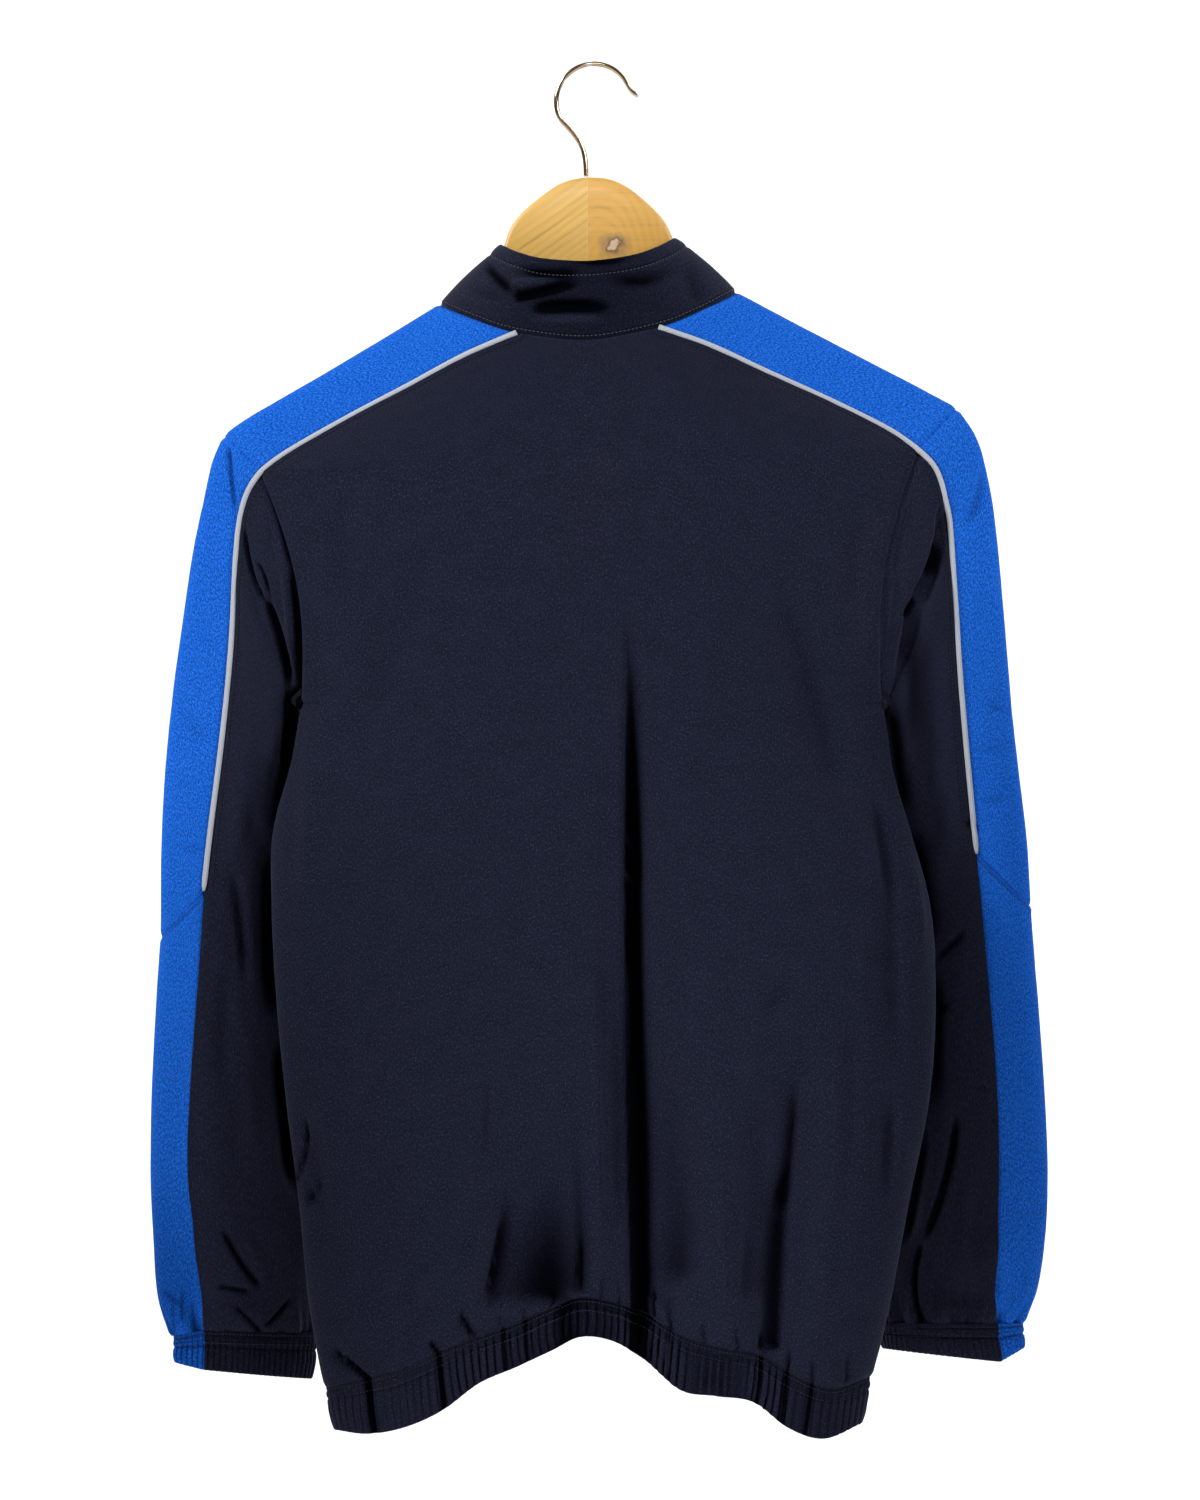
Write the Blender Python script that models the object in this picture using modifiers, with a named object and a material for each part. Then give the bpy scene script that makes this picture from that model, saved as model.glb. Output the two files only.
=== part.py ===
"""Track jacket hanging closed on a wooden hanger: cloth panels, piping, gathered casings, zip and hanger.

Metres, +Z up. The jacket's front faces -Y and its back +Y; the wearer's left is at +X.
The origin is the inside top of the hook, where a rail carries the hanger.
"""

import math

import bmesh
import bpy
import numpy as np

MM = 0.001

# ---------------------------------------------------------------- driving dimensions

WALL = 1.5 * MM  # cloth with its seam allowances
COLLAR_WALL = 2.4 * MM  # two layers of cloth and a stiffener
TAPE_WALL = 1.2 * MM
SEAM = 0.35 * MM  # how far each piece stays back from its seam line
ARMHOLE_SEAM = 1.0 * MM  # the same where body and sleeve meet at an angle
UNDERARM_SEAM = 2.0 * MM  # the same in the armpit, where four pieces meet
SEAM_REACH = 6.0  # how far in the cloth still moves with its edge, as a multiple
PIPING_RADIUS = 2.1 * MM
PIPING_SEAM = PIPING_RADIUS + 1.1 * MM  # the same beside the piping

CENTRE_X = 4.0 * MM  # middle of the neck, beside the rail's plumb line
TILT = math.radians(2.2)  # the shoulders hang a little lower on the left
ZIP_HALF = 6.4 * MM  # centre line to the edge of a front
ZIP_ACROSS = 0.035  # the same as a share of the half front
TAPE_INNER = 0.25 * MM
TAPE_OUTER = 5.6 * MM

JOINT_GAP = 0.15 * MM
HOOK_RADIUS = 23.75 * MM  # centre line of the loop
WIRE_RADIUS = 1.5 * MM

# How many cells each stretch of a panel has.
HEM_TO_UNDERARM = 12
ARMHOLE = 6
SHOULDER = 6
BACK_ACROSS = 26
BACK_SHIFT = 0.05  # sets a column on the deepest fold
FRONT_ACROSS = 9
STRIPE_STEPS = (1.0, 0.72, 0.44, 0.2, 0.0)  # from a piping in to the shoulder ridge
COLLAR_ROWS = (0.0, 0.35, 0.7, 1.0)

NECK_FROM = 1.6  # body row from which the cloth turns to follow the neck
HEM_BACK_WAVES = 34
HEM_FRONT_WAVES = 17
HEM_WAVE = 1.5 * MM
HEM_DROPS = (0.0, 0.5, 1.0)
CUFF_WAVES = 36
CUFF_WAVE = 0.85 * MM
CORNER_STATIONS = 0.18  # neck stations between the shoulder strip's corner and the piping
PIPING_STOP = 0.16  # share of the last stretch left free where the piping meets the collar

STATION_LENGTH = 40 * MM  # along a sleeve, one section to the next
SLEEVE_HALF_WIDTH = 45 * MM
DIAGONAL_STATION = 8  # slanted seam of the sleeve stripe
CUFF_STATION = 14
SLEEVE_END = 15

NAVY = (0.014, 0.018, 0.035, 1)
BLUE = (0.028, 0.155, 0.62, 1)
WHITE = (0.62, 0.64, 0.70, 1)
WOOD = (0.62, 0.36, 0.16, 1)
STEEL = (0.62, 0.61, 0.60, 1)


def table(columns, rows):
    """A dict of arrays, one for each named column, from rows in millimetres.

    Columns whose name ends in across, angle, station or foot aren't lengths.
    """
    found = {}
    for name, column in zip(columns.split(), np.array(rows, float).T):
        plain = name.endswith(("across", "angle", "station", "foot"))
        found[name] = column if plain else column * MM
    return found


# Sides of the body below the armhole, as distances from the rail's plumb line.
BODY_SIDE = table(
    "z left right",
    (
        (-840, 165.0, 166.0),
        (-802, 173.0, 178.0),
        (-771, 178.0, 185.0),
        (-709, 184.0, 196.5),
        (-646, 192.0, 209.0),
        (-584, 198.0, 213.0),
        (-521, 201.0, 209.0),
        (-480, 200.5, 198.0),
        (-434, 189.0, 185.5),
        (-418, 186.0, 183.5),
        (-398, 183.0, 180.0),
    ),
)

# Where the middle of the back, the middle of the fronts and the side seams lie front to back.
BODY_DEPTH = table(
    "z back front side",
    (
        (-826, 44, -45, 5),
        (-695, 49, -50, 10),
        (-525, 52, -53, 12),
        (-398, 52, -53, 6),
        (-310, 50, -53, 2),
        (-240, 46, -52, 0),
        (-166, 38, -51, 0),
    ),
)

# A section across the body is a flattened round low down, and fuller at the middle above.
ROUND_POWER, FLAT_POWER = 0.5, 0.9
SECTION_CHANGE = {1: (-490 * MM, -330 * MM), -1: (-518 * MM, -398 * MM)}  # by face: back, front

# The hem seam and the hem's lower edge, right side seam (-1) to left side seam (1).
HEM_LINE = table(
    "across seam edge",
    (
        (-1.00, -819, -848),
        (-0.85, -826, -857),
        (-0.72, -818, -850),
        (-0.59, -805, -834),
        (-0.45, -800, -830),
        (-0.31, -793, -826),
        (-0.18, -780, -808),
        (-0.06, -772, -796),
        (0.06, -769, -793),
        (0.18, -776, -802),
        (0.31, -786, -812),
        (0.45, -794, -822),
        (0.59, -804, -839),
        (0.74, -815, -850),
        (0.88, -821, -854),
        (1.00, -826, -852),
    ),
)
HEM_EDGE_WIDTH = 0.965  # the lower edge against the seam
HEM_EDGE_DEPTH = 0.93
FRONT_HEM_LIFT = 3.0 * MM

# Neck seam, from the centre back (0) over the shoulder ridge (4) to the centre front (10).
NECK = table(
    "x y z",
    (
        (0, 38, -172.0),
        (45, 34, -165.5),
        (70, 25, -156.5),
        (86, 13, -149.0),
        (92, 0, -145.6),
        (90, -14, -147.5),
        (82, -27, -156.5),
        (68, -38, -172.0),
        (45, -47, -198.0),
        (20, -51, -218.0),
        (0, -52, -225.0),
    ),
)
COLLAR_TOP = table(
    "x y z",
    (
        (0, 33, -122.5),
        (27, 29, -120.2),
        (43, 20, -115.5),
        (51, 10, -111.6),
        (53.7, 0, -110.2),
        (53, -10, -112.0),
        (49, -20, -119.0),
        (41, -30, -131.0),
        (28, -38, -152.0),
        (13, -43, -171.0),
        (0, -44, -179.0),
    ),
)
COLLAR_BULGE = 2.0 * MM
RIDGE_STATION, CENTRE_FRONT_STATION = 4, 10

# Shoulder ridge and the two pipings beside it, armhole (row 0) to neck seam (last row).
SHOULDER_LINES = table(
    "ridge_x ridge_z back_x back_y back_z front_x front_y front_z",
    (
        (227, -223.5, 205, 17.0, -246.5, 205, -17.0, -246.5),
        (213, -213.6, 190, 18.5, -235.4, 190, -20.0, -237.0),
        (196, -203.8, 166, 19.5, -222.2, 168, -22.0, -226.0),
        (172, -190.5, 140, 21.0, -209.0, 144, -25.0, -214.0),
        (146, -176.1, 112, 24.0, -195.5, 120, -29.0, -201.5),
        (119, -161.1, 78, 29.0, -178.5, 94, -34.0, -187.5),
        (92, -145.6, 45, 34.0, -165.5, 68, -38.0, -172.0),
    ),
)
RIDGE_ROUND = 12.0 * MM  # cloth bending over the wood
RIDGE_SHOULDER = 9.5 * MM
RIDGE_SLOPE = 0.33
STRIPE_ANGLE = math.radians(47)

# Sleeve sections: outer fold, stripe seam, underarm seam, then where they lie front to back.
SLEEVE_COLUMNS = "outer_x outer_z stripe_x stripe_z inner_x inner_z outer_y inner_y depth"
SLEEVE_LEFT = table(
    SLEEVE_COLUMNS,
    (
        (230.5, -231.5, 208.5, -253.5, 183, -398, 0, 6, 24),
        (238.0, -250.0, 216.5, -266.0, 187, -411, -1, -6, 26),
        (244.0, -277.0, 221.5, -284.0, 188, -424, -3, -13, 27),
        (250.5, -310.0, 224.2, -311.0, 188, -440, -6, -19, 28),
        (256.5, -350.0, 226.0, -350.0, 187, -462, -11, -26, 28),
        (262.5, -393.0, 229.5, -391.0, 186, -486, -17, -32, 28),
        (267.5, -440.0, 233.8, -430.0, 184, -512, -23, -37, 28),
        (270.3, -495.0, 239.0, -472.0, 181, -536, -29, -41, 28),
        (271.2, -545.0, 243.8, -515.6, 179, -556, -34, -44, 28),
        (274.0, -584.0, 247.5, -566.0, 177, -588, -38, -46, 28),
        (277.0, -640.0, 252.7, -632.0, 175, -640, -42, -48, 28),
        (277.6, -690.0, 255.0, -689.0, 174, -690, -44, -49, 27),
        (276.0, -731.0, 251.5, -731.0, 174, -731, -45, -49, 26),
        (273.0, -770.0, 246.0, -768.0, 174, -766, -46, -48, 25),
        (264.0, -795.0, 244.6, -791.0, 174, -793, -46, -47, 23),
        (262.0, -812.0, 244.6, -816.0, 178, -822, -46, -47, 21),
    ),
)
SLEEVE_RIGHT = table(
    SLEEVE_COLUMNS,
    (
        (226.0, -214.5, 202.5, -239.5, 180, -398, 0, 6, 24),
        (238.0, -233.0, 213.5, -251.0, 184, -411, -1, -6, 26),
        (245.5, -259.0, 219.5, -270.0, 186, -424, -3, -13, 27),
        (251.0, -296.0, 223.0, -297.0, 186, -440, -6, -19, 28),
        (255.0, -336.0, 225.8, -332.0, 186, -461, -11, -26, 28),
        (260.0, -388.0, 228.6, -376.0, 187, -486, -17, -32, 28),
        (265.5, -438.0, 232.3, -420.0, 190, -512, -23, -37, 28),
        (271.0, -484.0, 236.3, -462.0, 193, -536, -29, -41, 28),
        (273.8, -525.6, 239.4, -492.5, 194, -556, -34, -44, 28),
        (277.5, -572.0, 245.0, -552.0, 193, -588, -38, -46, 28),
        (282.5, -636.0, 251.8, -628.0, 190, -640, -42, -48, 28),
        (284.6, -690.0, 254.3, -686.0, 186, -690, -44, -49, 27),
        (283.3, -731.0, 254.4, -730.0, 183, -731, -45, -49, 26),
        (278.0, -767.0, 251.6, -767.0, 180, -765, -46, -48, 25),
        (269.4, -787.0, 253.5, -787.0, 179, -787, -46, -47, 23),
        (269.0, -803.0, 254.5, -811.0, 182, -803, -46, -47, 21),
    ),
)
ARMHOLE_BOW = 10.5 * MM  # the armhole seam bends in from its chord
BACK_ROUNDNESS = 1.15

# Folds of the body: a straight line from top to foot; foot 1 runs on into the hem, foot 0 fades out.
FOLD_COLUMNS = "top_x top_z foot_x foot_z half_width depth foot"
BACK_FOLDS = table(
    FOLD_COLUMNS,
    (
        (-21, -420, -25, -772, 24, -10.0, 1),
        (4, -520, 4, -760, 16, 3.5, 1),
        (-124, -590, -112, -815, 20, -8.0, 1),
        (-80, -620, -80, -795, 24, 4.0, 1),
        (52, -640, 44, -790, 26, -6.0, 1),
        (110, -600, 118, -812, 26, 3.0, 1),
        (-118, -300, -165, -490, 26, -4.0, 0),
        (110, -320, 150, -520, 28, -3.0, 0),
        (-60, -230, 60, -250, 30, -2.0, 0),
    ),
)
FRONT_FOLDS = table(
    FOLD_COLUMNS,
    (
        (70, -430, 62, -790, 26, 8.0, 1),
        (-62, -460, -70, -795, 26, 8.0, 1),
        (128, -600, 120, -815, 22, 6.0, 1),
        (-126, -580, -122, -815, 22, 6.0, 1),
        (116, -300, 158, -480, 26, 4.0, 0),
        (-112, -310, -152, -500, 26, 4.0, 0),
    ),
)

# Folds of a sleeve: from one station and angle (degrees, back positive) to another.
SLEEVE_FOLD_COLUMNS = "top_station top_angle foot_station foot_angle half_width depth"
SLEEVE_FOLDS = table(
    SLEEVE_FOLD_COLUMNS,
    (
        (2.6, 68, 1.1, 150, 12, -4.0),
        (4.2, 120, 6.5, 100, 16, -3.0),
        (2.4, -70, 1.2, -150, 13, -4.0),
        (9.5, 130, 12.0, 70, 16, -3.5),
        (12.0, 140, 13.4, 80, 12, -3.0),
        (6.0, -110, 9.0, -80, 18, -3.5),
        (11.0, -70, 13.0, -120, 15, -3.5),
    ),
)

# Hanger half: its top and lower edge, from the middle joint to the tip.
HANGER_HALF = table(
    "top_x top_z low_x low_z half_y",
    (
        (0.0, -69.4, 0.0, -134.0, 6.0),
        (14.0, -71.3, 12.0, -135.0, 6.0),
        (27.0, -76.8, 24.0, -138.5, 6.0),
        (38.0, -85.5, 36.0, -143.5, 6.0),
        (46.5, -97.0, 46.0, -149.0, 6.0),
        (51.6, -111.6, 55.0, -154.5, 6.0),
        (59.5, -119.0, 62.0, -158.5, 6.0),
        (75.0, -133.1, 76.0, -165.5, 6.0),
        (90.0, -146.9, 90.0, -172.5, 6.0),
        (119.0, -162.5, 117.0, -187.5, 6.0),
        (146.0, -177.5, 142.0, -201.0, 6.0),
        (172.0, -191.9, 168.0, -215.0, 6.0),
        (196.0, -205.2, 191.0, -227.0, 6.0),
        (210.0, -213.2, 204.0, -232.5, 6.0),
        (216.5, -220.0, 212.0, -231.5, 4.6),
    ),
)

# Hook wire between the wood and the loop, then the straightened tip.
HOOK_STEM = ((4.9, -69.0), (5.2, -60.0), (6.6, -52.5), (9.4, -46.8), (13.4, -41.6), (17.6, -37.0))
HOOK_TIP = ((-22.9, -15.3), (-26.9, -18.4))
LOOP_START, LOOP_END, LOOP_STEPS = math.radians(-30), math.radians(152), 18

# Zip slider and its pull, measured along the zip (up) and out from the tape.
SLIDER_WIDTH, SLIDER_LENGTH, SLIDER_THICK = 8.4 * MM, 11.0 * MM, 2.4 * MM
SLIDER_ROUND = 0.8 * MM
SLIDER_BELOW_TOP = 9.0 * MM
SLIDER_CLEAR = 0.3 * MM
BAIL_WIDTH, BAIL_WIRE, BAIL_ROOM = 2.0 * MM, 1.0 * MM, 1.9 * MM
BAIL_LOW, BAIL_HIGH = -2.2 * MM, 4.2 * MM
PULL_AXIS_UP = -0.2 * MM
PULL_WIDTH, PULL_LENGTH, PULL_THICK = 8.0 * MM, 26.0 * MM, 1.0 * MM
PULL_WINDOW_WIDTH, PULL_WINDOW_LENGTH = 3.0 * MM, 5.2 * MM
PULL_CORNER = 2.2 * MM


# ---------------------------------------------------------------- small tools


def through(places, values, at):
    """Smooth curve through (places, values), places rising, read at any array of places."""
    slope = np.gradient(values, places)
    at = np.clip(at, places[0], places[-1])
    low = np.clip(np.searchsorted(places, at) - 1, 0, len(places) - 2)
    width = places[low + 1] - places[low]
    u = (at - places[low]) / width
    start = (1 + 2 * u) * (1 - u) ** 2 * values[low] + u * (1 - u) ** 2 * width * slope[low]
    end = u * u * (3 - 2 * u) * values[low + 1] + u * u * (u - 1) * width * slope[low + 1]
    return start + end


def smooth_step(u):
    u = np.clip(u, 0, 1)
    return u * u * (3 - 2 * u)


def blend(a, b, u):
    return a + (b - a) * u


def stack(x, y, z):
    return np.stack(np.broadcast_arrays(x, y, z), axis=-1)


def hung(x, y, z):
    """A point given from the middle of the neck, turned with the tilted shoulders."""
    return stack(CENTRE_X + x * math.cos(TILT), y, z - x * math.sin(TILT))


def unit(vectors):
    return vectors / np.maximum(np.linalg.norm(vectors, axis=-1, keepdims=True), 1e-9)


def drawn_back(grid, edge, amount):
    """The grid with one border row or column moved into the cloth, square to the seam.

    Points near the border move with it, and less the further in they are.
    """
    grid = grid.copy()
    view = grid if edge in ("first_row", "last_row") else grid.transpose(1, 0, 2)
    if edge.startswith("last"):
        view = view[::-1]
    along = unit(np.gradient(view[0], axis=0))
    inward = view[1] - view[0]
    inward -= (inward * along).sum(axis=-1, keepdims=True) * along
    amount = np.broadcast_to(amount, view.shape[1])[:, None]
    distance = np.linalg.norm(view - view[0], axis=-1)[..., None]
    share = np.clip(1 - distance / np.maximum(SEAM_REACH * amount, 1e-9), 0, 1)
    view += unit(inward) * amount * share
    return grid


def with_seams(grid, **amounts):
    for edge, amount in amounts.items():
        grid = drawn_back(grid, edge, amount)
    return grid


# ---------------------------------------------------------------- sleeves


def sleeve_table(side):
    return SLEEVE_LEFT if side > 0 else SLEEVE_RIGHT


def stripe_share(side, station):
    """How far round from the outer fold to the underarm seam the stripe's seam lies, 0 to 1."""
    rows = sleeve_table(side)
    places = np.arange(len(rows["depth"]))
    at = {name: through(places, column, station) for name, column in rows.items()}
    to_stripe = np.hypot(at["stripe_x"] - at["outer_x"], at["stripe_z"] - at["outer_z"])
    to_inner = np.hypot(at["inner_x"] - at["stripe_x"], at["inner_z"] - at["stripe_z"])
    return at, to_stripe / (to_stripe + to_inner)


def stripe_angle(side, station):
    return np.arccos(1 - 2 * stripe_share(side, station)[1])


def sleeve_fold(station, angle, width=SLEEVE_HALF_WIDTH):
    """Depth of the folds at a place on the sleeve; width turns its angles into lengths."""
    depth = np.zeros(np.broadcast(station, angle).shape)
    for i in range(len(SLEEVE_FOLDS["depth"])):
        row = {name: column[i] for name, column in SLEEVE_FOLDS.items()}
        line = np.array(
            (
                (row["foot_station"] - row["top_station"]) * STATION_LENGTH,
                math.radians(row["foot_angle"] - row["top_angle"]) * width,
            )
        )
        here = np.stack(
            np.broadcast_arrays(
                (station - row["top_station"]) * STATION_LENGTH,
                (angle - math.radians(row["top_angle"])) * width,
            )
        )
        u = np.tensordot(line, here, 1) / (line @ line)
        off = (line[0] * here[1] - line[1] * here[0]) / np.linalg.norm(line)
        ends = smooth_step(u / 0.35 + 0.5) * smooth_step((1 - u) / 0.35 + 0.5)
        depth += row["depth"] * ends * np.exp(-((off / row["half_width"]) ** 2))
    return depth


def sleeve_point(side, station, angle, folds=True):
    """A sleeve's cloth: station 0 at the armhole to 14 at the cuff seam.

    Angle 0 is the outer fold, pi the underarm seam, and the back is positive.
    """
    station, angle = np.broadcast_arrays(np.asarray(station, float), np.asarray(angle, float))
    at, share = stripe_share(side, station)
    round_way = (1 - np.cos(angle)) / 2
    on_stripe = round_way <= share
    u = np.where(on_stripe, round_way / share, (round_way - share) / (1 - share))
    bow = ARMHOLE_BOW * np.sin(np.pi * u) * np.clip(1 - station / 3, 0, 1)
    x = np.where(
        on_stripe,
        blend(at["outer_x"], at["stripe_x"], u),
        blend(at["stripe_x"], at["inner_x"], u) - bow,
    )
    z = np.where(
        on_stripe,
        blend(at["outer_z"], at["stripe_z"], u),
        blend(at["stripe_z"], at["inner_z"], u),
    )
    roundness = np.where(angle > np.pi / 2, BACK_ROUNDNESS, 1.0)
    middle = blend(at["outer_y"], at["inner_y"], round_way)
    y = middle + np.sign(angle) * at["depth"] * np.abs(np.sin(angle)) ** roundness
    point = stack(side * x, y, z)
    if folds:
        centre = stack(side * (at["outer_x"] + at["inner_x"]) / 2, middle, z)
        outward = unit((point - centre) * (1, 1, 0))
        fade = smooth_step(station / 1.0) * smooth_step((CUFF_STATION - station) / 1.0)
        depth = sleeve_fold(station, angle) * fade
        point = point + outward * depth[..., None]
    return point


def stripe_angles(side, stations):
    """Columns of a stripe, back seam to front seam, at each station."""
    steps = np.array(STRIPE_STEPS)
    steps = np.concatenate((steps, -steps[-2::-1]))
    return stripe_angle(side, np.asarray(stations, float))[:, None] * steps


def navy_angles(side, stations, face):
    """Columns of a sleeve half, stripe seam to underarm seam, at each station."""
    start = stripe_angle(side, np.asarray(stations, float))[:, None]
    return face * blend(start, np.pi, np.linspace(0, 1, ARMHOLE + 1))


# ---------------------------------------------------------------- body


def ring_point(rows, side, station):
    """A point on the neck seam or the collar's top edge."""
    places = np.arange(1 - len(rows["x"]), len(rows["x"]))
    at = {}
    for name, column in rows.items():
        mirrored = -column if name == "x" else column
        both = np.concatenate((mirrored[:0:-1], column))
        at[name] = through(places, both, side * np.asarray(station, float))
    return hung(at["x"], at["y"], at["z"])


def shoulder_line(side, name, share):
    """The ridge, back or front piping line; share 0 at the armhole, 1 at the neck seam."""
    place = np.asarray(share, float) * SHOULDER
    places = np.arange(SHOULDER + 1)
    x, z = SHOULDER_LINES[name + "_x"], SHOULDER_LINES[name + "_z"]
    y = SHOULDER_LINES.get(name + "_y", np.zeros(SHOULDER + 1))
    point = hung(side * through(places, x, place), through(places, y, place), through(places, z, place))
    angle = {"ridge": 0.0, "back": 1.0, "front": -1.0}[name] * stripe_angle(side, 0.0)
    armhole = sleeve_point(side, 0.0, angle)
    station = {"ridge": RIDGE_STATION, "back": 1, "front": 7}[name]
    neck = ring_point(NECK, side, station)
    near_armhole = np.clip(1 - place, 0, 1)[..., None]
    near_neck = np.clip(place - SHOULDER + 1, 0, 1)[..., None]
    first, last = (hung(side * x[end], y[end], z[end]) for end in (0, -1))
    return point + (armhole - first) * near_armhole + (neck - last) * near_neck


def body_edge(side, face, row):
    """Outer edge of a body panel: side seam (rows 0 to 1), armhole (to 2), piping (to 3)."""
    row = np.asarray(row, float)
    seam_z = HEM_LINE["seam"][-1 if side > 0 else 0]
    z = blend(seam_z, BODY_SIDE["z"][-1], np.clip(row, 0, 1))
    x = through(BODY_SIDE["z"], BODY_SIDE["left" if side > 0 else "right"], z)
    y = through(BODY_DEPTH["z"], BODY_DEPTH["side"], z)
    side_seam = stack(side * x, y, z)
    angle = face * blend(np.pi, stripe_angle(side, 0.0), np.clip(row - 1, 0, 1))
    armhole = sleeve_point(side, 0.0, angle)
    piping = shoulder_line(side, "back" if face > 0 else "front", np.clip(row - 2, 0, 1))
    row = row[..., None]
    return np.where(row < 1, side_seam, np.where(row < 2, armhole, piping))


def hem_point(face, across, drop):
    """Hem casing without its gathers: drop 0 on the hem seam, 1 on the lower edge."""
    width = 1 + (HEM_EDGE_WIDTH - 1) * drop
    left, right = body_edge(1, face, 0.0), body_edge(-1, face, 0.0)
    x = blend(right[0], left[0], (1 + across * width) / 2)
    lift = FRONT_HEM_LIFT * (1 - across**2) * (face < 0)
    seam = through(HEM_LINE["across"], HEM_LINE["seam"], across)
    z = blend(seam, through(HEM_LINE["across"], HEM_LINE["edge"], across), drop) + lift
    middle = BODY_DEPTH["back" if face > 0 else "front"][0]
    side_y = BODY_DEPTH["side"][0]
    shape = np.sqrt(np.clip(1 - np.abs(across) ** 2.6, 0, 1))
    y = side_y + (middle - side_y) * shape * blend(1, HEM_EDGE_DEPTH, drop)
    return stack(x, y, z)


def fold_depth(face, point, across):
    """How far the folds move the body's cloth along Y at each point."""
    rows = BACK_FOLDS if face > 0 else FRONT_FOLDS
    x, z = point[..., 0], point[..., 2]
    total = np.zeros(x.shape)
    for i in range(len(rows["depth"])):
        row = {name: column[i] for name, column in rows.items()}
        run = np.array((row["foot_x"] - row["top_x"], row["foot_z"] - row["top_z"]))
        u = ((x - row["top_x"]) * run[0] + (z - row["top_z"]) * run[1]) / (run @ run)
        off = ((x - row["top_x"]) * run[1] - (z - row["top_z"]) * run[0]) / np.linalg.norm(run)
        foot = blend(smooth_step((1 - u) / 0.4 + 0.3), 1, row["foot"])
        total += row["depth"] * smooth_step(u / 0.5 + 0.2) * foot * np.exp(-((off / row["half_width"]) ** 2))
    return total * (1 - np.abs(across) ** 8)


def plain_row(face, row, across):
    """The body between its two edges, before the neck and hem lines bend the first and last rows."""
    right, left = body_edge(-1, face, row), body_edge(1, face, row)
    edge = blend(right, left, ((1 + across) / 2)[..., None])
    level = (left[..., 2] + right[..., 2]) / 2
    middle = through(BODY_DEPTH["z"], BODY_DEPTH["back" if face > 0 else "front"], level)
    round_below, flat_above = SECTION_CHANGE[face]
    flat = smooth_step((level - round_below) / (flat_above - round_below))
    shape = np.clip(1 - np.abs(across) ** 2.6, 0, 1) ** blend(ROUND_POWER, FLAT_POWER, flat)
    return stack(edge[..., 0], blend(edge[..., 1], middle, shape), edge[..., 2])


def neck_seam(face, across):
    side = np.where(across < 0, -1.0, 1.0)
    station = np.abs(across) if face > 0 else CENTRE_FRONT_STATION - 3 * np.abs(across)
    return ring_point(NECK, side, station)


def body_point(face, row, across, folds=True):
    """Body cloth: rows as in body_edge, across -1 at the right edge to 1 at the left edge."""
    row, across = np.broadcast_arrays(np.asarray(row, float), np.asarray(across, float))
    point = plain_row(face, row, across)
    to_neck = neck_seam(face, across) - plain_row(face, np.full(row.shape, 3.0), across)
    to_hem = hem_point(face, across, 0.0) - plain_row(face, np.zeros(row.shape), across)
    point = point + to_neck * (np.clip((row - NECK_FROM) / (3 - NECK_FROM), 0, 1) ** 2)[..., None]
    point = point + to_hem * (np.clip(1 - row, 0, 1) ** 1.5)[..., None]
    if folds:
        point = point + stack(0, fold_depth(face, point, across), 0)
    return point


def rows_up():
    """Row numbers of a body panel, hem seam to neck seam."""
    return np.concatenate(
        (
            np.linspace(0, 1, HEM_TO_UNDERARM + 1),
            np.linspace(1, 2, ARMHOLE + 1)[1:],
            np.linspace(2, 3, SHOULDER + 1)[1:],
        )
    )


def evenness(row):
    """How evenly a row's columns are spread: close together at a side seam, even beside the piping."""
    return 0.8 * smooth_step(np.asarray(row, float) - 1)


def back_columns(row):
    """Columns of the back at one row, right edge to left edge."""
    place = np.linspace(0, 1, BACK_ACROSS + 1)
    across = blend(-np.cos(math.pi * place), 2 * place - 1, evenness(row))
    return across + BACK_SHIFT * (1 - across**2)


def front_columns(side, row):
    """Columns of a front at one row, zip edge to side edge."""
    place = np.linspace(0, 1, FRONT_ACROSS + 1)
    return side * blend(ZIP_ACROSS, 1, blend(np.sin(math.pi / 2 * place), place, evenness(row)))


def beside_zip(centre, side, distance=ZIP_HALF):
    """Points beside the centre line of the front, at a fixed distance from it."""
    return centre + side * distance * np.array((math.cos(TILT), 0, -math.sin(TILT)))


def collar_point(side, station, height):
    """Collar cloth: height 0 on the neck seam, 1 on the top edge."""
    low, top = ring_point(NECK, side, station), ring_point(COLLAR_TOP, side, station)
    outward = unit((low - hung(0, -6 * MM, -150 * MM)) * (1, 1, 0))
    return blend(low, top, height) + outward * COLLAR_BULGE * np.sin(np.pi * height)


# ---------------------------------------------------------------- objects


def clear_scene():
    for obj in list(bpy.data.objects):
        bpy.data.objects.remove(obj, do_unlink=True)


def make_material(name, colour, roughness, metallic=0.0):
    material = bpy.data.materials.new(name)
    material.use_nodes = True
    shader = material.node_tree.nodes["Principled BSDF"]
    shader.inputs["Base Color"].default_value = colour
    shader.inputs["Roughness"].default_value = roughness
    shader.inputs["Metallic"].default_value = metallic
    material.diffuse_color = colour
    return material


class Kit:
    """The collection that holds the jacket, and the finish of each kind of piece."""

    def __init__(self):
        self.collection = bpy.data.collections.new("track_jacket")
        bpy.context.scene.collection.children.link(self.collection)

    def add(self, name, data, colour, roughness=0.85, metallic=0.0):
        obj = bpy.data.objects.new(name, data)
        data.materials.append(make_material(name + "_finish", colour, roughness, metallic))
        self.collection.objects.link(obj)
        return obj


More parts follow.
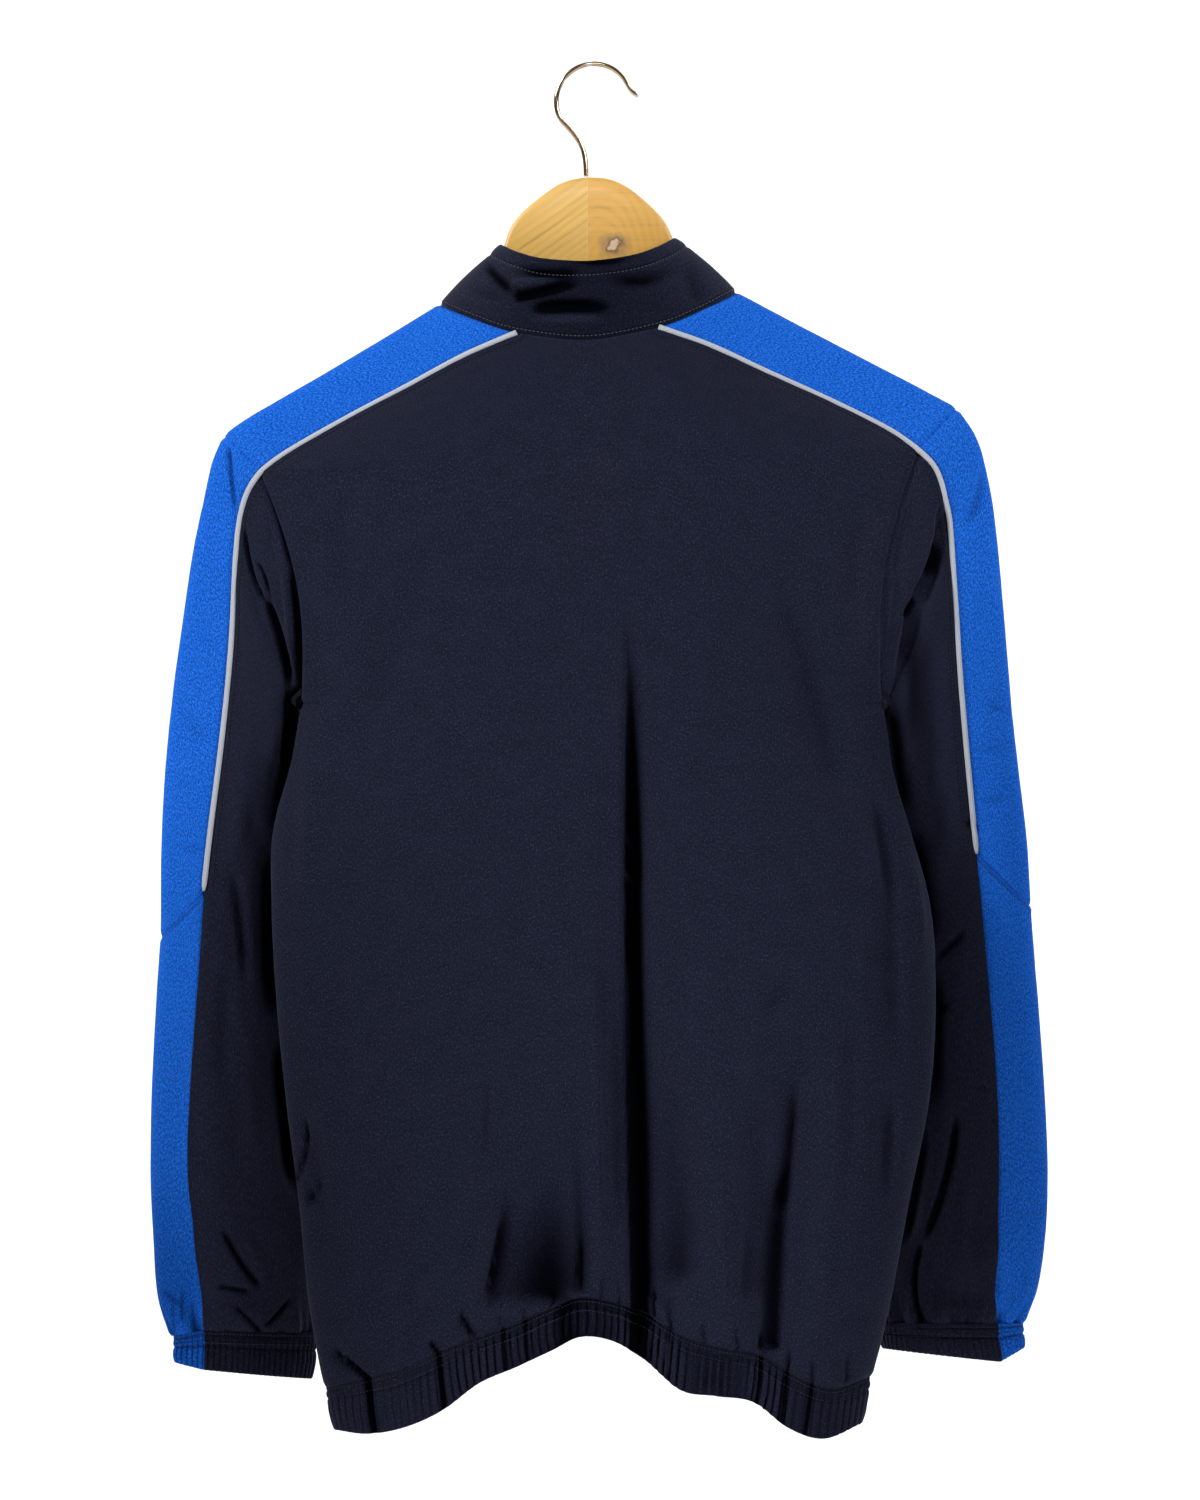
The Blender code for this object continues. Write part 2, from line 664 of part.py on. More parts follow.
def mesh_from_grid(name, grid, closed=False):
    """A sheet through a grid of points; closed joins the last column to the first."""
    rows, columns = grid.shape[:2]
    bm = bmesh.new()
    verts = [[bm.verts.new(grid[i, j]) for j in range(columns)] for i in range(rows)]
    for i in range(rows - 1):
        for j in range(columns if closed else columns - 1):
            k = (j + 1) % columns
            bm.faces.new((verts[i][j], verts[i][k], verts[i + 1][k], verts[i + 1][j]))
    mesh = bpy.data.meshes.new(name)
    bm.to_mesh(mesh)
    bm.free()
    mesh.shade_smooth()
    return mesh


def cloth(kit, name, grid, colour, wall=WALL, closed=False):
    """A wall of cloth whose middle surface is the grid."""
    obj = kit.add(name, mesh_from_grid(name, grid, closed), colour)
    solidify = obj.modifiers.new("wall", "SOLIDIFY")
    solidify.thickness = wall
    solidify.offset = 0
    return obj


def wire(kit, name, points, radius, colour, roughness=0.85, metallic=0.0, resolution=2):
    """A round cord or wire along a polyline, closed at its ends."""
    curve = bpy.data.curves.new(name, "CURVE")
    curve.dimensions = "3D"
    curve.bevel_depth = radius
    curve.bevel_resolution = resolution
    curve.use_fill_caps = True
    spline = curve.splines.new("POLY")
    spline.points.add(len(points) - 1)
    for point, place in zip(spline.points, points):
        point.co = (*place, 1)
    spline.use_smooth = True
    return kit.add(name, curve, colour, roughness, metallic)


# ---------------------------------------------------------------- body pieces


def side_clearance(rows):
    """How far a body panel stays back along its side: side seam, armhole, then piping."""
    places = (0.9, 1.0, 1.35, 2.0 - 1e-3, 2.0)
    return np.interp(rows, places, (SEAM, UNDERARM_SEAM / 2, ARMHOLE_SEAM, ARMHOLE_SEAM, PIPING_SEAM))


def make_back(kit):
    rows = rows_up()
    grid = body_point(1, rows[:, None], np.stack([back_columns(row) for row in rows]))
    side = side_clearance(rows)
    grid = with_seams(grid, first_column=side, last_column=side, first_row=SEAM, last_row=SEAM)
    cloth(kit, "back_panel", grid, NAVY)


def make_front(kit, side, name):
    rows = rows_up()
    grid = body_point(-1, rows[:, None], np.stack([front_columns(side, row) for row in rows]))
    grid[:, 0] = beside_zip(body_point(-1, rows, 0.0, folds=False), side)
    grid = with_seams(grid, last_column=side_clearance(rows), first_row=SEAM, last_row=SEAM)
    cloth(kit, "front_panel_" + name, grid, NAVY)


def shoulder_stations():
    """Neck stations of the shoulder strip's columns, back piping to front piping."""
    steps = np.array(STRIPE_STEPS)
    return RIDGE_STATION + 3 * np.concatenate((-steps, steps[-2::-1]))


def shoulder_cross(side, share):
    """One line over the shoulder, back piping to front piping."""
    steps = np.array(STRIPE_STEPS)
    if share <= 0:
        return sleeve_point(side, 0.0, stripe_angles(side, [0.0])[0])
    if share >= 1:
        stations = shoulder_stations()
        stations[[0, -1]] += (CORNER_STATIONS, -CORNER_STATIONS)
        return ring_point(NECK, side, stations)
    halves = []
    for name, sign in (("back", 1), ("front", -1)):
        ridge, line = shoulder_line(side, "ridge", share), shoulder_line(side, name, share)
        u = (1 - np.cos(steps * STRIPE_ANGLE)) / (1 - math.cos(STRIPE_ANGLE))
        drop = math.hypot(ridge[0] - line[0], ridge[2] - line[2]) * u
        bend = np.sqrt(2 * RIDGE_ROUND * drop)
        depth = RIDGE_SHOULDER * np.tanh(bend / RIDGE_SHOULDER) + RIDGE_SLOPE * drop
        depth += (abs(line[1]) - depth[0]) * u
        halves.append(stack(blend(ridge[0], line[0], u), sign * depth, blend(ridge[2], line[2], u)))
    return np.concatenate((halves[0], halves[1][-2::-1]))


def make_shoulder(kit, side, name):
    grid = np.stack([shoulder_cross(side, share) for share in np.linspace(0, 1, SHOULDER + 1)])
    beside = np.array([PIPING_SEAM] * SHOULDER + [0.0])
    grid = with_seams(grid, first_column=beside, last_column=beside, first_row=ARMHOLE_SEAM, last_row=SEAM)
    cloth(kit, "shoulder_panel_" + name, grid, BLUE)


def hem_columns(face, side=1):
    """Columns of a hem casing (a crest and a trough to each wave) and its panel's own columns."""
    if face > 0:
        return np.linspace(-1, 1, 2 * HEM_BACK_WAVES + 1), back_columns(0.0)
    panel = front_columns(side, 0.0)
    return np.linspace(panel[0], side, 2 * HEM_FRONT_WAVES + 1), panel


def gathered(grid, size, uneven):
    """The grid with its columns moved out and in by turns; uneven gives each wave its own share."""
    along = unit(np.gradient(grid, axis=1))
    outward = np.stack((along[..., 1], -along[..., 0], np.zeros(along.shape[:2])), axis=-1)
    wave = size * uneven * (-1.0) ** np.arange(grid.shape[1])
    return grid + unit(outward) * wave[:, None]


def unevenness(count, seed):
    """A slow, repeatable change between 0.55 and 1.25 from wave to wave."""
    place = np.arange(count)
    return 0.9 + 0.2 * np.sin(0.9 * place + seed) + 0.15 * np.sin(0.37 * place + 2 * seed)


def make_hem(kit, face, side, name):
    across, panel = hem_columns(face, side)
    rows = []
    for drop in HEM_DROPS:
        point = hem_point(face, across, drop)
        if drop == 0:
            seam = body_point(face, 0.0, panel)
            order = np.argsort(panel)
            point[:, 2] = np.interp(across, panel[order], seam[order, 2])
        point[:, 1] += fold_depth(face, point, across) * (1 - 0.35 * drop)
        rows.append(point)
    plain = np.stack(rows)
    grid = gathered(plain, HEM_WAVE, unevenness(len(across), face + side))
    grid[:, [0, -1]] = plain[:, [0, -1]]
    if face > 0:
        grid = with_seams(grid, first_column=SEAM)
    else:
        centre = np.stack([hem_point(face, np.array(0.0), drop) for drop in HEM_DROPS])
        grid[:, 0] = beside_zip(centre, side)
    cloth(kit, name, with_seams(grid, first_row=SEAM, last_column=SEAM), NAVY)


def half_collar_stations():
    """Columns of half the collar, beside those of the panels: centre back to centre front."""
    back = back_columns(3.0)
    front = CENTRE_FRONT_STATION - 3 * front_columns(1, 3.0)[::-1]
    half_back = back[back > 0.02][:-1]
    return np.concatenate((half_back, shoulder_stations(), front[1:-1:2], [CENTRE_FRONT_STATION]))


def make_collar(kit):
    half = half_collar_stations()
    places = [(-1, s) for s in half[::-1]] + [(1, s) for s in half]
    grid = np.stack([[collar_point(side, s, height) for side, s in places] for height in COLLAR_ROWS])
    for column, side in ((0, -1), (-1, 1)):
        grid[:, column] = beside_zip(grid[:, column], side)
    cloth(kit, "collar", with_seams(grid, first_row=3 * SEAM), NAVY, wall=COLLAR_WALL)


# ---------------------------------------------------------------- sleeve pieces


def make_sleeve_half(kit, side, face, name):
    stations = np.arange(CUFF_STATION + 1)
    grid = sleeve_point(side, stations[:, None].astype(float), navy_angles(side, stations, face))
    beside = np.where(stations <= DIAGONAL_STATION, PIPING_SEAM, SEAM)
    armhole = np.linspace(ARMHOLE_SEAM, UNDERARM_SEAM, ARMHOLE + 1)
    grid = with_seams(grid, first_column=beside, last_column=SEAM, first_row=armhole, last_row=SEAM)
    cloth(kit, name, grid, NAVY)


def make_stripe(kit, side, first, last, name):
    stations = np.arange(first, last + 1)
    grid = sleeve_point(side, stations[:, None].astype(float), stripe_angles(side, stations))
    beside, start = (PIPING_SEAM, ARMHOLE_SEAM) if first == 0 else (SEAM, SEAM)
    grid = with_seams(grid, first_column=beside, last_column=beside, first_row=start, last_row=SEAM)
    cloth(kit, name, grid, BLUE)


def make_cuff(kit, side, name):
    stripe = stripe_angles(side, [CUFF_STATION])[0][::-1]
    back = navy_angles(side, [CUFF_STATION], 1)[0][1:]
    front = navy_angles(side, [CUFF_STATION], -1)[0][:0:-1]
    panel = np.concatenate((front[1:], stripe[1:], back))
    seam = sleeve_point(side, float(CUFF_STATION), panel)
    angles = np.linspace(-math.pi, math.pi, 2 * CUFF_WAVES + 1)[:-1]
    rows = []
    for station in (CUFF_STATION, CUFF_STATION + 0.5, SLEEVE_END):
        point = sleeve_point(side, float(station), angles)
        if station == CUFF_STATION:
            point[:, 2] = np.interp(angles, panel, seam[:, 2], period=2 * math.pi)
        rows.append(point)
    grid = np.stack(rows)
    centre = grid.mean(axis=1, keepdims=True)
    outward = unit((grid - centre) * (1, 1, 0))
    wave = CUFF_WAVE * unevenness(len(angles), side) * (-1.0) ** np.arange(len(angles))
    grid = grid + outward * wave[:, None]
    grid[0, :, 2] -= SEAM
    cloth(kit, name, grid, NAVY, closed=True)


def make_piping(kit, side, face, name):
    line = "back" if face > 0 else "front"
    neck = shoulder_line(side, line, np.linspace(1, 0, SHOULDER + 1))
    neck[0] = blend(neck[0], neck[1], PIPING_STOP)
    stations = np.arange(1.0, DIAGONAL_STATION + 1)
    sleeve = sleeve_point(side, stations, face * stripe_angle(side, stations))
    wire(kit, name, np.concatenate((neck, sleeve)), PIPING_RADIUS, WHITE, resolution=1)


# ---------------------------------------------------------------- zip


def tape_line(side, distance):
    """The zip's path, hem edge to collar top, this far from the centre line."""
    body = body_point(-1, rows_up(), 0.0, folds=False)
    top = [collar_point(1, float(CENTRE_FRONT_STATION), height) for height in COLLAR_ROWS[1:]]
    low = [hem_point(-1, np.array(0.0), drop) for drop in HEM_DROPS[:0:-1]]
    return beside_zip(np.stack((*low, *body, *top)), side, distance)


def make_tape(kit, side, name):
    grid = np.stack((tape_line(side, TAPE_INNER), tape_line(side, TAPE_OUTER)), axis=1)
    cloth(kit, name, grid, NAVY, wall=TAPE_WALL)


def zip_frame():
    """Where the slider sits: its centre on the tape, and the zip's upward and outward directions."""
    low, top = tape_line(1, 0.0)[-2:]
    up = unit(top - low)
    out = np.array((0.0, -up[2], up[1]))
    return top - up * SLIDER_BELOW_TOP, up, out


def place_on_zip(obj, along, away):
    """Puts an object built in X (across), Y (up the zip) and Z (away from the tape) on the zip."""
    centre, up, out = zip_frame()
    obj.location = centre + up * along + out * away
    obj.rotation_euler = (math.atan2(up[2], up[1]), 0, 0)


def add_box(bm, low, high):
    made = bmesh.ops.create_cube(bm, size=1.0)["verts"]
    size = np.subtract(high, low)
    middle = np.add(high, low) / 2
    for vert in made:
        vert.co = np.array(vert.co) * size + middle
    return made


def join(obj, other):
    modifier = obj.modifiers.new("join", "BOOLEAN")
    modifier.operation = "UNION"
    modifier.object = other


def box_object(name, low, high, bevel):
    bm = bmesh.new()
    add_box(bm, low, high)
    mesh = bpy.data.meshes.new(name)
    bm.to_mesh(mesh)
    bm.free()
    obj = bpy.data.objects.new(name, mesh)
    if bevel:
        modifier = obj.modifiers.new("round", "BEVEL")
        modifier.width = bevel
        modifier.segments = 2
    return obj


def make_slider(kit, helpers):
    """The slider's face plate, with the bail that the pull hangs in."""
    half_width, half_length = SLIDER_WIDTH / 2, SLIDER_LENGTH / 2
    face = SLIDER_THICK
    low, high = (-half_width, -half_length, 0), (half_width, half_length, face)
    plate = box_object("zip_slider", low, high, SLIDER_ROUND)
    kit.collection.objects.link(plate)
    plate.data.materials.append(make_material("zip_slider_finish", STEEL, 0.35, 1.0))
    sunk = face - 0.4 * MM
    roof = face + BAIL_ROOM
    half = BAIL_WIDTH / 2
    posts = ((BAIL_LOW, BAIL_LOW + BAIL_WIRE), (BAIL_HIGH - BAIL_WIRE, BAIL_HIGH))
    boxes = [((-half, low, sunk), (half, high, roof + BAIL_WIRE)) for low, high in posts]
    boxes.append(((-half, BAIL_LOW + 0.1 * MM, roof), (half, BAIL_HIGH - 0.1 * MM, roof + BAIL_WIRE)))
    away = TAPE_WALL / 2 + SLIDER_CLEAR
    for i, (low, high) in enumerate(boxes):
        bail = box_object(f"bail_box_{i}", low, high, 0)
        bail.hide_render = True
        bail.display_type = "WIRE"
        helpers.objects.link(bail)
        place_on_zip(bail, 0.0, away)
        join(plate, bail)
    place_on_zip(plate, 0.0, away)


def rounded_rectangle(width, low, high, corner, steps=4):
    """Outline of a rectangle with round corners, centred on X."""
    corners = ((1, high, 0), (-1, high, 90), (-1, low, 180), (1, low, 270))
    points = []
    for sign, edge, start in corners:
        middle = (sign * (width / 2 - corner), edge + (corner if edge == low else -corner))
        for step in range(steps + 1):
            angle = math.radians(start + 90 * step / steps)
            points.append((middle[0] + corner * math.cos(angle), middle[1] + corner * math.sin(angle)))
    return points


def pull_axis():
    """The pull's hinge: under the bail's roof, where the pull's top bar lies."""
    centre, up, out = zip_frame()
    away = TAPE_WALL / 2 + SLIDER_CLEAR + SLIDER_THICK + BAIL_ROOM / 2
    return centre + up * PULL_AXIS_UP + out * away


def make_pull(kit):
    curve = bpy.data.curves.new("zip_pull", "CURVE")
    curve.dimensions = "2D"
    curve.fill_mode = "BOTH"
    curve.extrude = PULL_THICK / 2
    bar = PULL_THICK / 2
    outer = rounded_rectangle(PULL_WIDTH, bar - PULL_LENGTH, bar, PULL_CORNER)
    window = rounded_rectangle(PULL_WINDOW_WIDTH, -bar - PULL_WINDOW_LENGTH, -bar, 0.5 * MM, steps=2)
    for points in (outer, window):
        spline = curve.splines.new("POLY")
        spline.points.add(len(points) - 1)
        for point, (x, y) in zip(spline.points, points):
            point.co = (x, y, 0, 1)
        spline.use_cyclic_u = True
    pull = kit.add("zip_pull", curve, STEEL, 0.35, 1.0)
    place_on_zip(pull, 0.0, 0.0)
    pull.location = pull_axis()


# ---------------------------------------------------------------- hanger


def make_hanger_half(kit, side, name):
    """A wooden half: rounded sections lofted from the middle joint to the tip."""
    rows = HANGER_HALF
    sections = []
    for i in range(len(rows["half_y"])):
        top = np.array((rows["top_x"][i], rows["top_z"][i]))
        low = np.array((rows["low_x"][i], rows["low_z"][i]))
        down = (low - top) / np.linalg.norm(low - top)
        half_y = rows["half_y"][i]
        quarter = ((0.25, 0.0), (0.78, 0.22), (1.0, 0.75))
        section = []
        for end, sign_y in ((top, 1), (low, 1), (low, -1), (top, -1)):
            inward = down if end is top else -down
            steps = quarter if (end is top) == (sign_y > 0) else quarter[::-1]
            for across, deep in steps:
                place = end + inward * deep * half_y
                section.append((place[0], sign_y * across * half_y, place[1]))
        sections.append(section)
    points = np.array(sections)
    joint = side * JOINT_GAP * np.clip(1 - points[..., 0] / (5 * MM), 0, 1)
    placed = hung(side * points[..., 0], points[..., 1], points[..., 2])
    placed[..., 0] += joint
    mesh = mesh_from_grid("hanger_arm_" + name, placed, closed=True)
    bm = bmesh.new()
    bm.from_mesh(mesh)
    bmesh.ops.holes_fill(bm, edges=[edge for edge in bm.edges if edge.is_boundary])
    bmesh.ops.recalc_face_normals(bm, faces=bm.faces)
    bm.to_mesh(mesh)
    bm.free()
    mesh.shade_smooth()
    mesh.set_sharp_from_angle(angle=math.radians(50))
    kit.add("hanger_arm_" + name, mesh, WOOD, 0.45)


def hook_path():
    centre_z = WIRE_RADIUS - HOOK_RADIUS
    points = [(x * MM, 0, z * MM) for x, z in HOOK_STEM]
    for angle in np.linspace(LOOP_START, LOOP_END, LOOP_STEPS + 1):
        points.append((HOOK_RADIUS * math.cos(angle), 0, centre_z + HOOK_RADIUS * math.sin(angle)))
    return points + [(x * MM, 0, z * MM) for x, z in HOOK_TIP]


# ---------------------------------------------------------------- the whole jacket


def main():
    clear_scene()
    kit = Kit()
    helpers = bpy.data.collections.new("bail_boxes")
    bpy.context.scene.collection.children.link(helpers)

    make_back(kit)
    make_hem(kit, 1, 0, "hem_casing_back")
    make_collar(kit)
    for side, name in ((1, "left"), (-1, "right")):
        make_front(kit, side, name)
        make_shoulder(kit, side, name)
        make_hem(kit, -1, side, "hem_casing_front_" + name)
        for face, half in ((1, "back"), (-1, "front")):
            make_sleeve_half(kit, side, face, f"sleeve_{half}_{name}")
            make_piping(kit, side, face, f"piping_{half}_{name}")
        make_stripe(kit, side, 0, DIAGONAL_STATION, "sleeve_upper_stripe_" + name)
        make_stripe(kit, side, DIAGONAL_STATION, CUFF_STATION, "sleeve_lower_stripe_" + name)
        make_cuff(kit, side, "cuff_" + name)
        make_tape(kit, side, "zip_tape_" + name)
        make_hanger_half(kit, side, name)
    make_slider(kit, helpers)
    make_pull(kit)
    wire(kit, "hanger_hook", hook_path(), WIRE_RADIUS, STEEL, 0.15, 1.0)


main()
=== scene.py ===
"""Track jacket hanging closed on a wooden hanger: its fine cloth, stitching, zip, wood and chrome.

Metres, +Z up. The jacket's front faces -Y and its back +Y; the wearer's left is at +X.
The origin is the inside top of the hook, where a rail carries the hanger.
Sides are 1 for the wearer's left and -1 for the right; faces are 1 for the back and -1 for the front.
"""

import math

import bpy
import numpy as np
from mathutils import Euler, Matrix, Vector, kdtree


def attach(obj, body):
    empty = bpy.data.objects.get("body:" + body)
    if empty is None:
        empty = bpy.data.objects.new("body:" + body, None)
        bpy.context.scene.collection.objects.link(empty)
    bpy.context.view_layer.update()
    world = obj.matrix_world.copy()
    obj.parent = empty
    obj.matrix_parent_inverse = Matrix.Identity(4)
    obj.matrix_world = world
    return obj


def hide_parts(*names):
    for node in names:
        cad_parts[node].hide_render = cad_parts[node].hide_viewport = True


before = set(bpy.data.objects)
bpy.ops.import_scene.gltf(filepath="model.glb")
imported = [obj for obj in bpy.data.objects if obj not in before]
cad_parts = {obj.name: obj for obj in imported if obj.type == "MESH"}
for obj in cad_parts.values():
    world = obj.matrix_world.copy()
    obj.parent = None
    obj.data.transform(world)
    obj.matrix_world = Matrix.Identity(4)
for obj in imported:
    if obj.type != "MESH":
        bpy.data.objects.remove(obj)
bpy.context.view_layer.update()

MM = 0.001

# ---------------------------------------------------------------- driving dimensions

WALL = 1.5 * MM  # cloth with its seam allowances
COLLAR_WALL = 2.4 * MM  # two layers of cloth and a stiffener
TAPE_WALL = 1.2 * MM

CENTRE_X = 4.0 * MM  # middle of the neck, beside the rail's plumb line
TILT = math.radians(2.2)  # the shoulders hang a little lower on the left
ZIP_HALF = 6.4 * MM  # centre line to the edge of a front
ZIP_ACROSS = 0.035  # the same as a share of the half front
TAPE_INNER = 0.25 * MM
TAPE_OUTER = 5.6 * MM

HOOK_RADIUS = 23.75 * MM  # centre line of the loop
WIRE_RADIUS = 1.5 * MM

SHOULDER = 6  # stretches along the shoulder, armhole to neck seam
NECK_FROM = 1.6  # body row from which the cloth turns to follow the neck
STATION_LENGTH = 40 * MM  # along a sleeve, one section to the next
SLEEVE_HALF_WIDTH = 45 * MM
DIAGONAL_STATION = 8  # slanted seam of the sleeve stripe
CUFF_STATION = 14


def table(columns, lines):
    """A dict of arrays, one for each named column, from lines of numbers in millimetres.

    Columns whose name ends in across, angle, station, foot or share aren't lengths.
    """
    rows = np.array([line.split() for line in lines.split("\n") if line.strip()], float)
    plain = ("across", "angle", "station", "foot", "share")
    found = zip(columns.split(), rows.T)
    return {name: column * (1 if name.endswith(plain) else MM) for name, column in found}


def each(rows):
    """The rows of a table, one dict at a time."""
    for i in range(len(next(iter(rows.values())))):
        yield {name: column[i] for name, column in rows.items()}


# Sides of the body below the armhole, as distances from the rail's plumb line.
BODY_SIDE = table(
    "z left right",
    """
    -840 165 166
    -802 173 178
    -771 178 185
    -709 184 196.5
    -646 192 209
    -584 198 213
    -521 201 209
    -480 200.5 198
    -434 189 185.5
    -418 186 183.5
    -398 183 180
    """,
)

# Where the middle of the back, the middle of the fronts and the side seams lie front to back.
BODY_DEPTH = table(
    "z back front side",
    """
    -826 44 -45 5
    -695 49 -50 10
    -525 52 -53 12
    -398 52 -53 6
    -310 50 -53 2
    -240 46 -52 0
    -166 38 -51 0
    """,
)

# A section across the body is a flattened round low down, and fuller at the middle above.
SECTION_POWER = 2.6
ROUND_POWER, FLAT_POWER = 0.5, 0.9
SECTION_CHANGE = {1: (-490 * MM, -330 * MM), -1: (-518 * MM, -398 * MM)}  # by face: back, front

# The hem seam and the hem's lower edge, right side seam (-1) to left side seam (1).
HEM_LINE = table(
    "across seam edge",
    """
    -1 -819 -848
    -0.85 -826 -857
    -0.72 -818 -850
    -0.59 -805 -834
    -0.45 -800 -830
    -0.31 -793 -826
    -0.18 -780 -808
    -0.06 -772 -796
    0.06 -769 -793
    0.18 -776 -802
    0.31 -786 -812
    0.45 -794 -822
    0.59 -804 -839
    0.74 -815 -850
    0.88 -821 -854
    1 -826 -852
    """,
)
HEM_EDGE_WIDTH = 0.965  # the lower edge against the seam
HEM_EDGE_DEPTH = 0.93
FRONT_HEM_LIFT = 3.0 * MM

# Neck seam, from the centre back (0) over the shoulder ridge (4) to the centre front (10).
NECK = table(
    "x y z",
    """
    0 38 -172
    45 34 -165.5
    70 25 -156.5
    86 13 -149
    92 0 -145.6
    90 -14 -147.5
    82 -27 -156.5
    68 -38 -172
    45 -47 -198
    20 -51 -218
    0 -52 -225
    """,
)
COLLAR_TOP = table(
    "x y z",
    """
    0 33 -122.5
    27 29 -120.2
    43 20 -115.5
    51 10 -111.6
    53.7 0 -110.2
    53 -10 -112
    49 -20 -119
    41 -30 -131
    28 -38 -152
    13 -43 -171
    0 -44 -179
    """,
)
COLLAR_BULGE = 2.0 * MM
RIDGE_STATION, CENTRE_FRONT_STATION = 4, 10

# Shoulder ridge and the two pipings beside it, armhole (row 0) to neck seam (last row).
SHOULDER_LINES = table(
    "ridge_x ridge_z back_x back_y back_z front_x front_y front_z",
    """
    227 -223.5 205 17 -246.5 205 -17 -246.5
    213 -213.6 190 18.5 -235.4 190 -20 -237
    196 -203.8 166 19.5 -222.2 168 -22 -226
    172 -190.5 140 21 -209 144 -25 -214
    146 -176.1 112 24 -195.5 120 -29 -201.5
    119 -161.1 78 29 -178.5 94 -34 -187.5
    92 -145.6 45 34 -165.5 68 -38 -172
    """,
)
RIDGE_ROUND = 12.0 * MM  # cloth bending over the wood
RIDGE_SHOULDER = 9.5 * MM
RIDGE_SLOPE = 0.33
STRIPE_ANGLE = math.radians(47)

# Sleeve sections: outer fold, stripe seam, underarm seam, then where they lie front to back.
SLEEVE_COLUMNS = "outer_x outer_z stripe_x stripe_z inner_x inner_z outer_y inner_y depth"
SLEEVE_LEFT = table(
    SLEEVE_COLUMNS,
    """
    230.5 -231.5 208.5 -253.5 183 -398 0 6 24
    238 -250 216.5 -266 187 -411 -1 -6 26
    244 -277 221.5 -284 188 -424 -3 -13 27
    250.5 -310 224.2 -311 188 -440 -6 -19 28
    256.5 -350 226 -350 187 -462 -11 -26 28
    262.5 -393 229.5 -391 186 -486 -17 -32 28
    267.5 -440 233.8 -430 184 -512 -23 -37 28
    270.3 -495 239 -472 181 -536 -29 -41 28
    271.2 -545 243.8 -515.6 179 -556 -34 -44 28
    274 -584 247.5 -566 177 -588 -38 -46 28
    277 -640 252.7 -632 175 -640 -42 -48 28
    277.6 -690 255 -689 174 -690 -44 -49 27
    276 -731 251.5 -731 174 -731 -45 -49 26
    273 -770 246 -768 174 -766 -46 -48 25
    264 -795 244.6 -791 174 -793 -46 -47 23
    262 -812 244.6 -816 178 -822 -46 -47 21
    """,
)
SLEEVE_RIGHT = table(
    SLEEVE_COLUMNS,
    """
    226 -214.5 202.5 -239.5 180 -398 0 6 24
    238 -233 213.5 -251 184 -411 -1 -6 26
    245.5 -259 219.5 -270 186 -424 -3 -13 27
    251 -296 223 -297 186 -440 -6 -19 28
    255 -336 225.8 -332 186 -461 -11 -26 28
    260 -388 228.6 -376 187 -486 -17 -32 28
    265.5 -438 232.3 -420 190 -512 -23 -37 28
    271 -484 236.3 -462 193 -536 -29 -41 28
    273.8 -525.6 239.4 -492.5 194 -556 -34 -44 28
    277.5 -572 245 -552 193 -588 -38 -46 28
    282.5 -636 251.8 -628 190 -640 -42 -48 28
    284.6 -690 254.3 -686 186 -690 -44 -49 27
    283.3 -731 254.4 -730 183 -731 -45 -49 26
    278 -767 251.6 -767 180 -765 -46 -48 25
    269.4 -787 253.5 -787 179 -787 -46 -47 23
    269 -803 254.5 -811 182 -803 -46 -47 21
    """,
)
ARMHOLE_BOW = 10.5 * MM  # the armhole seam bends in from its chord
ARMHOLE_BOW_STATIONS = 3
BACK_ROUNDNESS = 1.15

# Folds of the body: a straight line from top to foot; foot 1 runs on into the hem, foot 0 fades out.
FOLD_COLUMNS = "top_x top_z foot_x foot_z half_width depth foot"
BACK_FOLDS = table(
    FOLD_COLUMNS,
    """
    -21 -420 -25 -772 24 -10 1
    4 -520 4 -760 16 3.5 1
    -124 -590 -112 -815 20 -8 1
    -80 -620 -80 -795 24 4 1
    52 -640 44 -790 26 -6 1
    110 -600 118 -812 26 3 1
    -118 -300 -165 -490 26 -4 0
    110 -320 150 -520 28 -3 0
    -60 -230 60 -250 30 -2 0
    """,
)
FRONT_FOLDS = table(
    FOLD_COLUMNS,
    """
    70 -430 62 -790 26 8 1
    -62 -460 -70 -795 26 8 1
    128 -600 120 -815 22 6 1
    -126 -580 -122 -815 22 6 1
    116 -300 158 -480 26 4 0
    -112 -310 -152 -500 26 4 0
    """,
)

FOLD_TOP, FOLD_FOOT = (0.5, 0.2), (0.4, 0.3)  # share of a body fold's length over which it fades, head start
FOLD_FADE = 0.35  # the same at both ends of a sleeve's folds

# Folds of a sleeve: from one station and angle (degrees, back positive) to another.
SLEEVE_FOLDS = table(
    "top_station top_angle foot_station foot_angle half_width depth",
    """
    2.6 68 1.1 150 12 -4
    4.2 120 6.5 100 16 -3
    2.4 -70 1.2 -150 13 -4
    9.5 130 12 70 16 -3.5
    12 140 13.4 80 12 -3
    6 -110 9 -80 18 -3.5
    11 -70 13 -120 15 -3.5
    """,
)

# Hanger half: its top and lower edge, from the middle joint to the tip.
HANGER_HALF = table(
    "top_x top_z low_x low_z half_y",
    """
    0 -69.4 0 -134 6
    14 -71.3 12 -135 6
    27 -76.8 24 -138.5 6
    38 -85.5 36 -143.5 6
    46.5 -97 46 -149 6
    51.6 -111.6 55 -154.5 6
    59.5 -119 62 -158.5 6
    75 -133.1 76 -165.5 6
    90 -146.9 90 -172.5 6
    119 -162.5 117 -187.5 6
    146 -177.5 142 -201 6
    172 -191.9 168 -215 6
    196 -205.2 191 -227 6
    210 -213.2 204 -232.5 6
    216.5 -220 212 -231.5 4.6
    """,
)

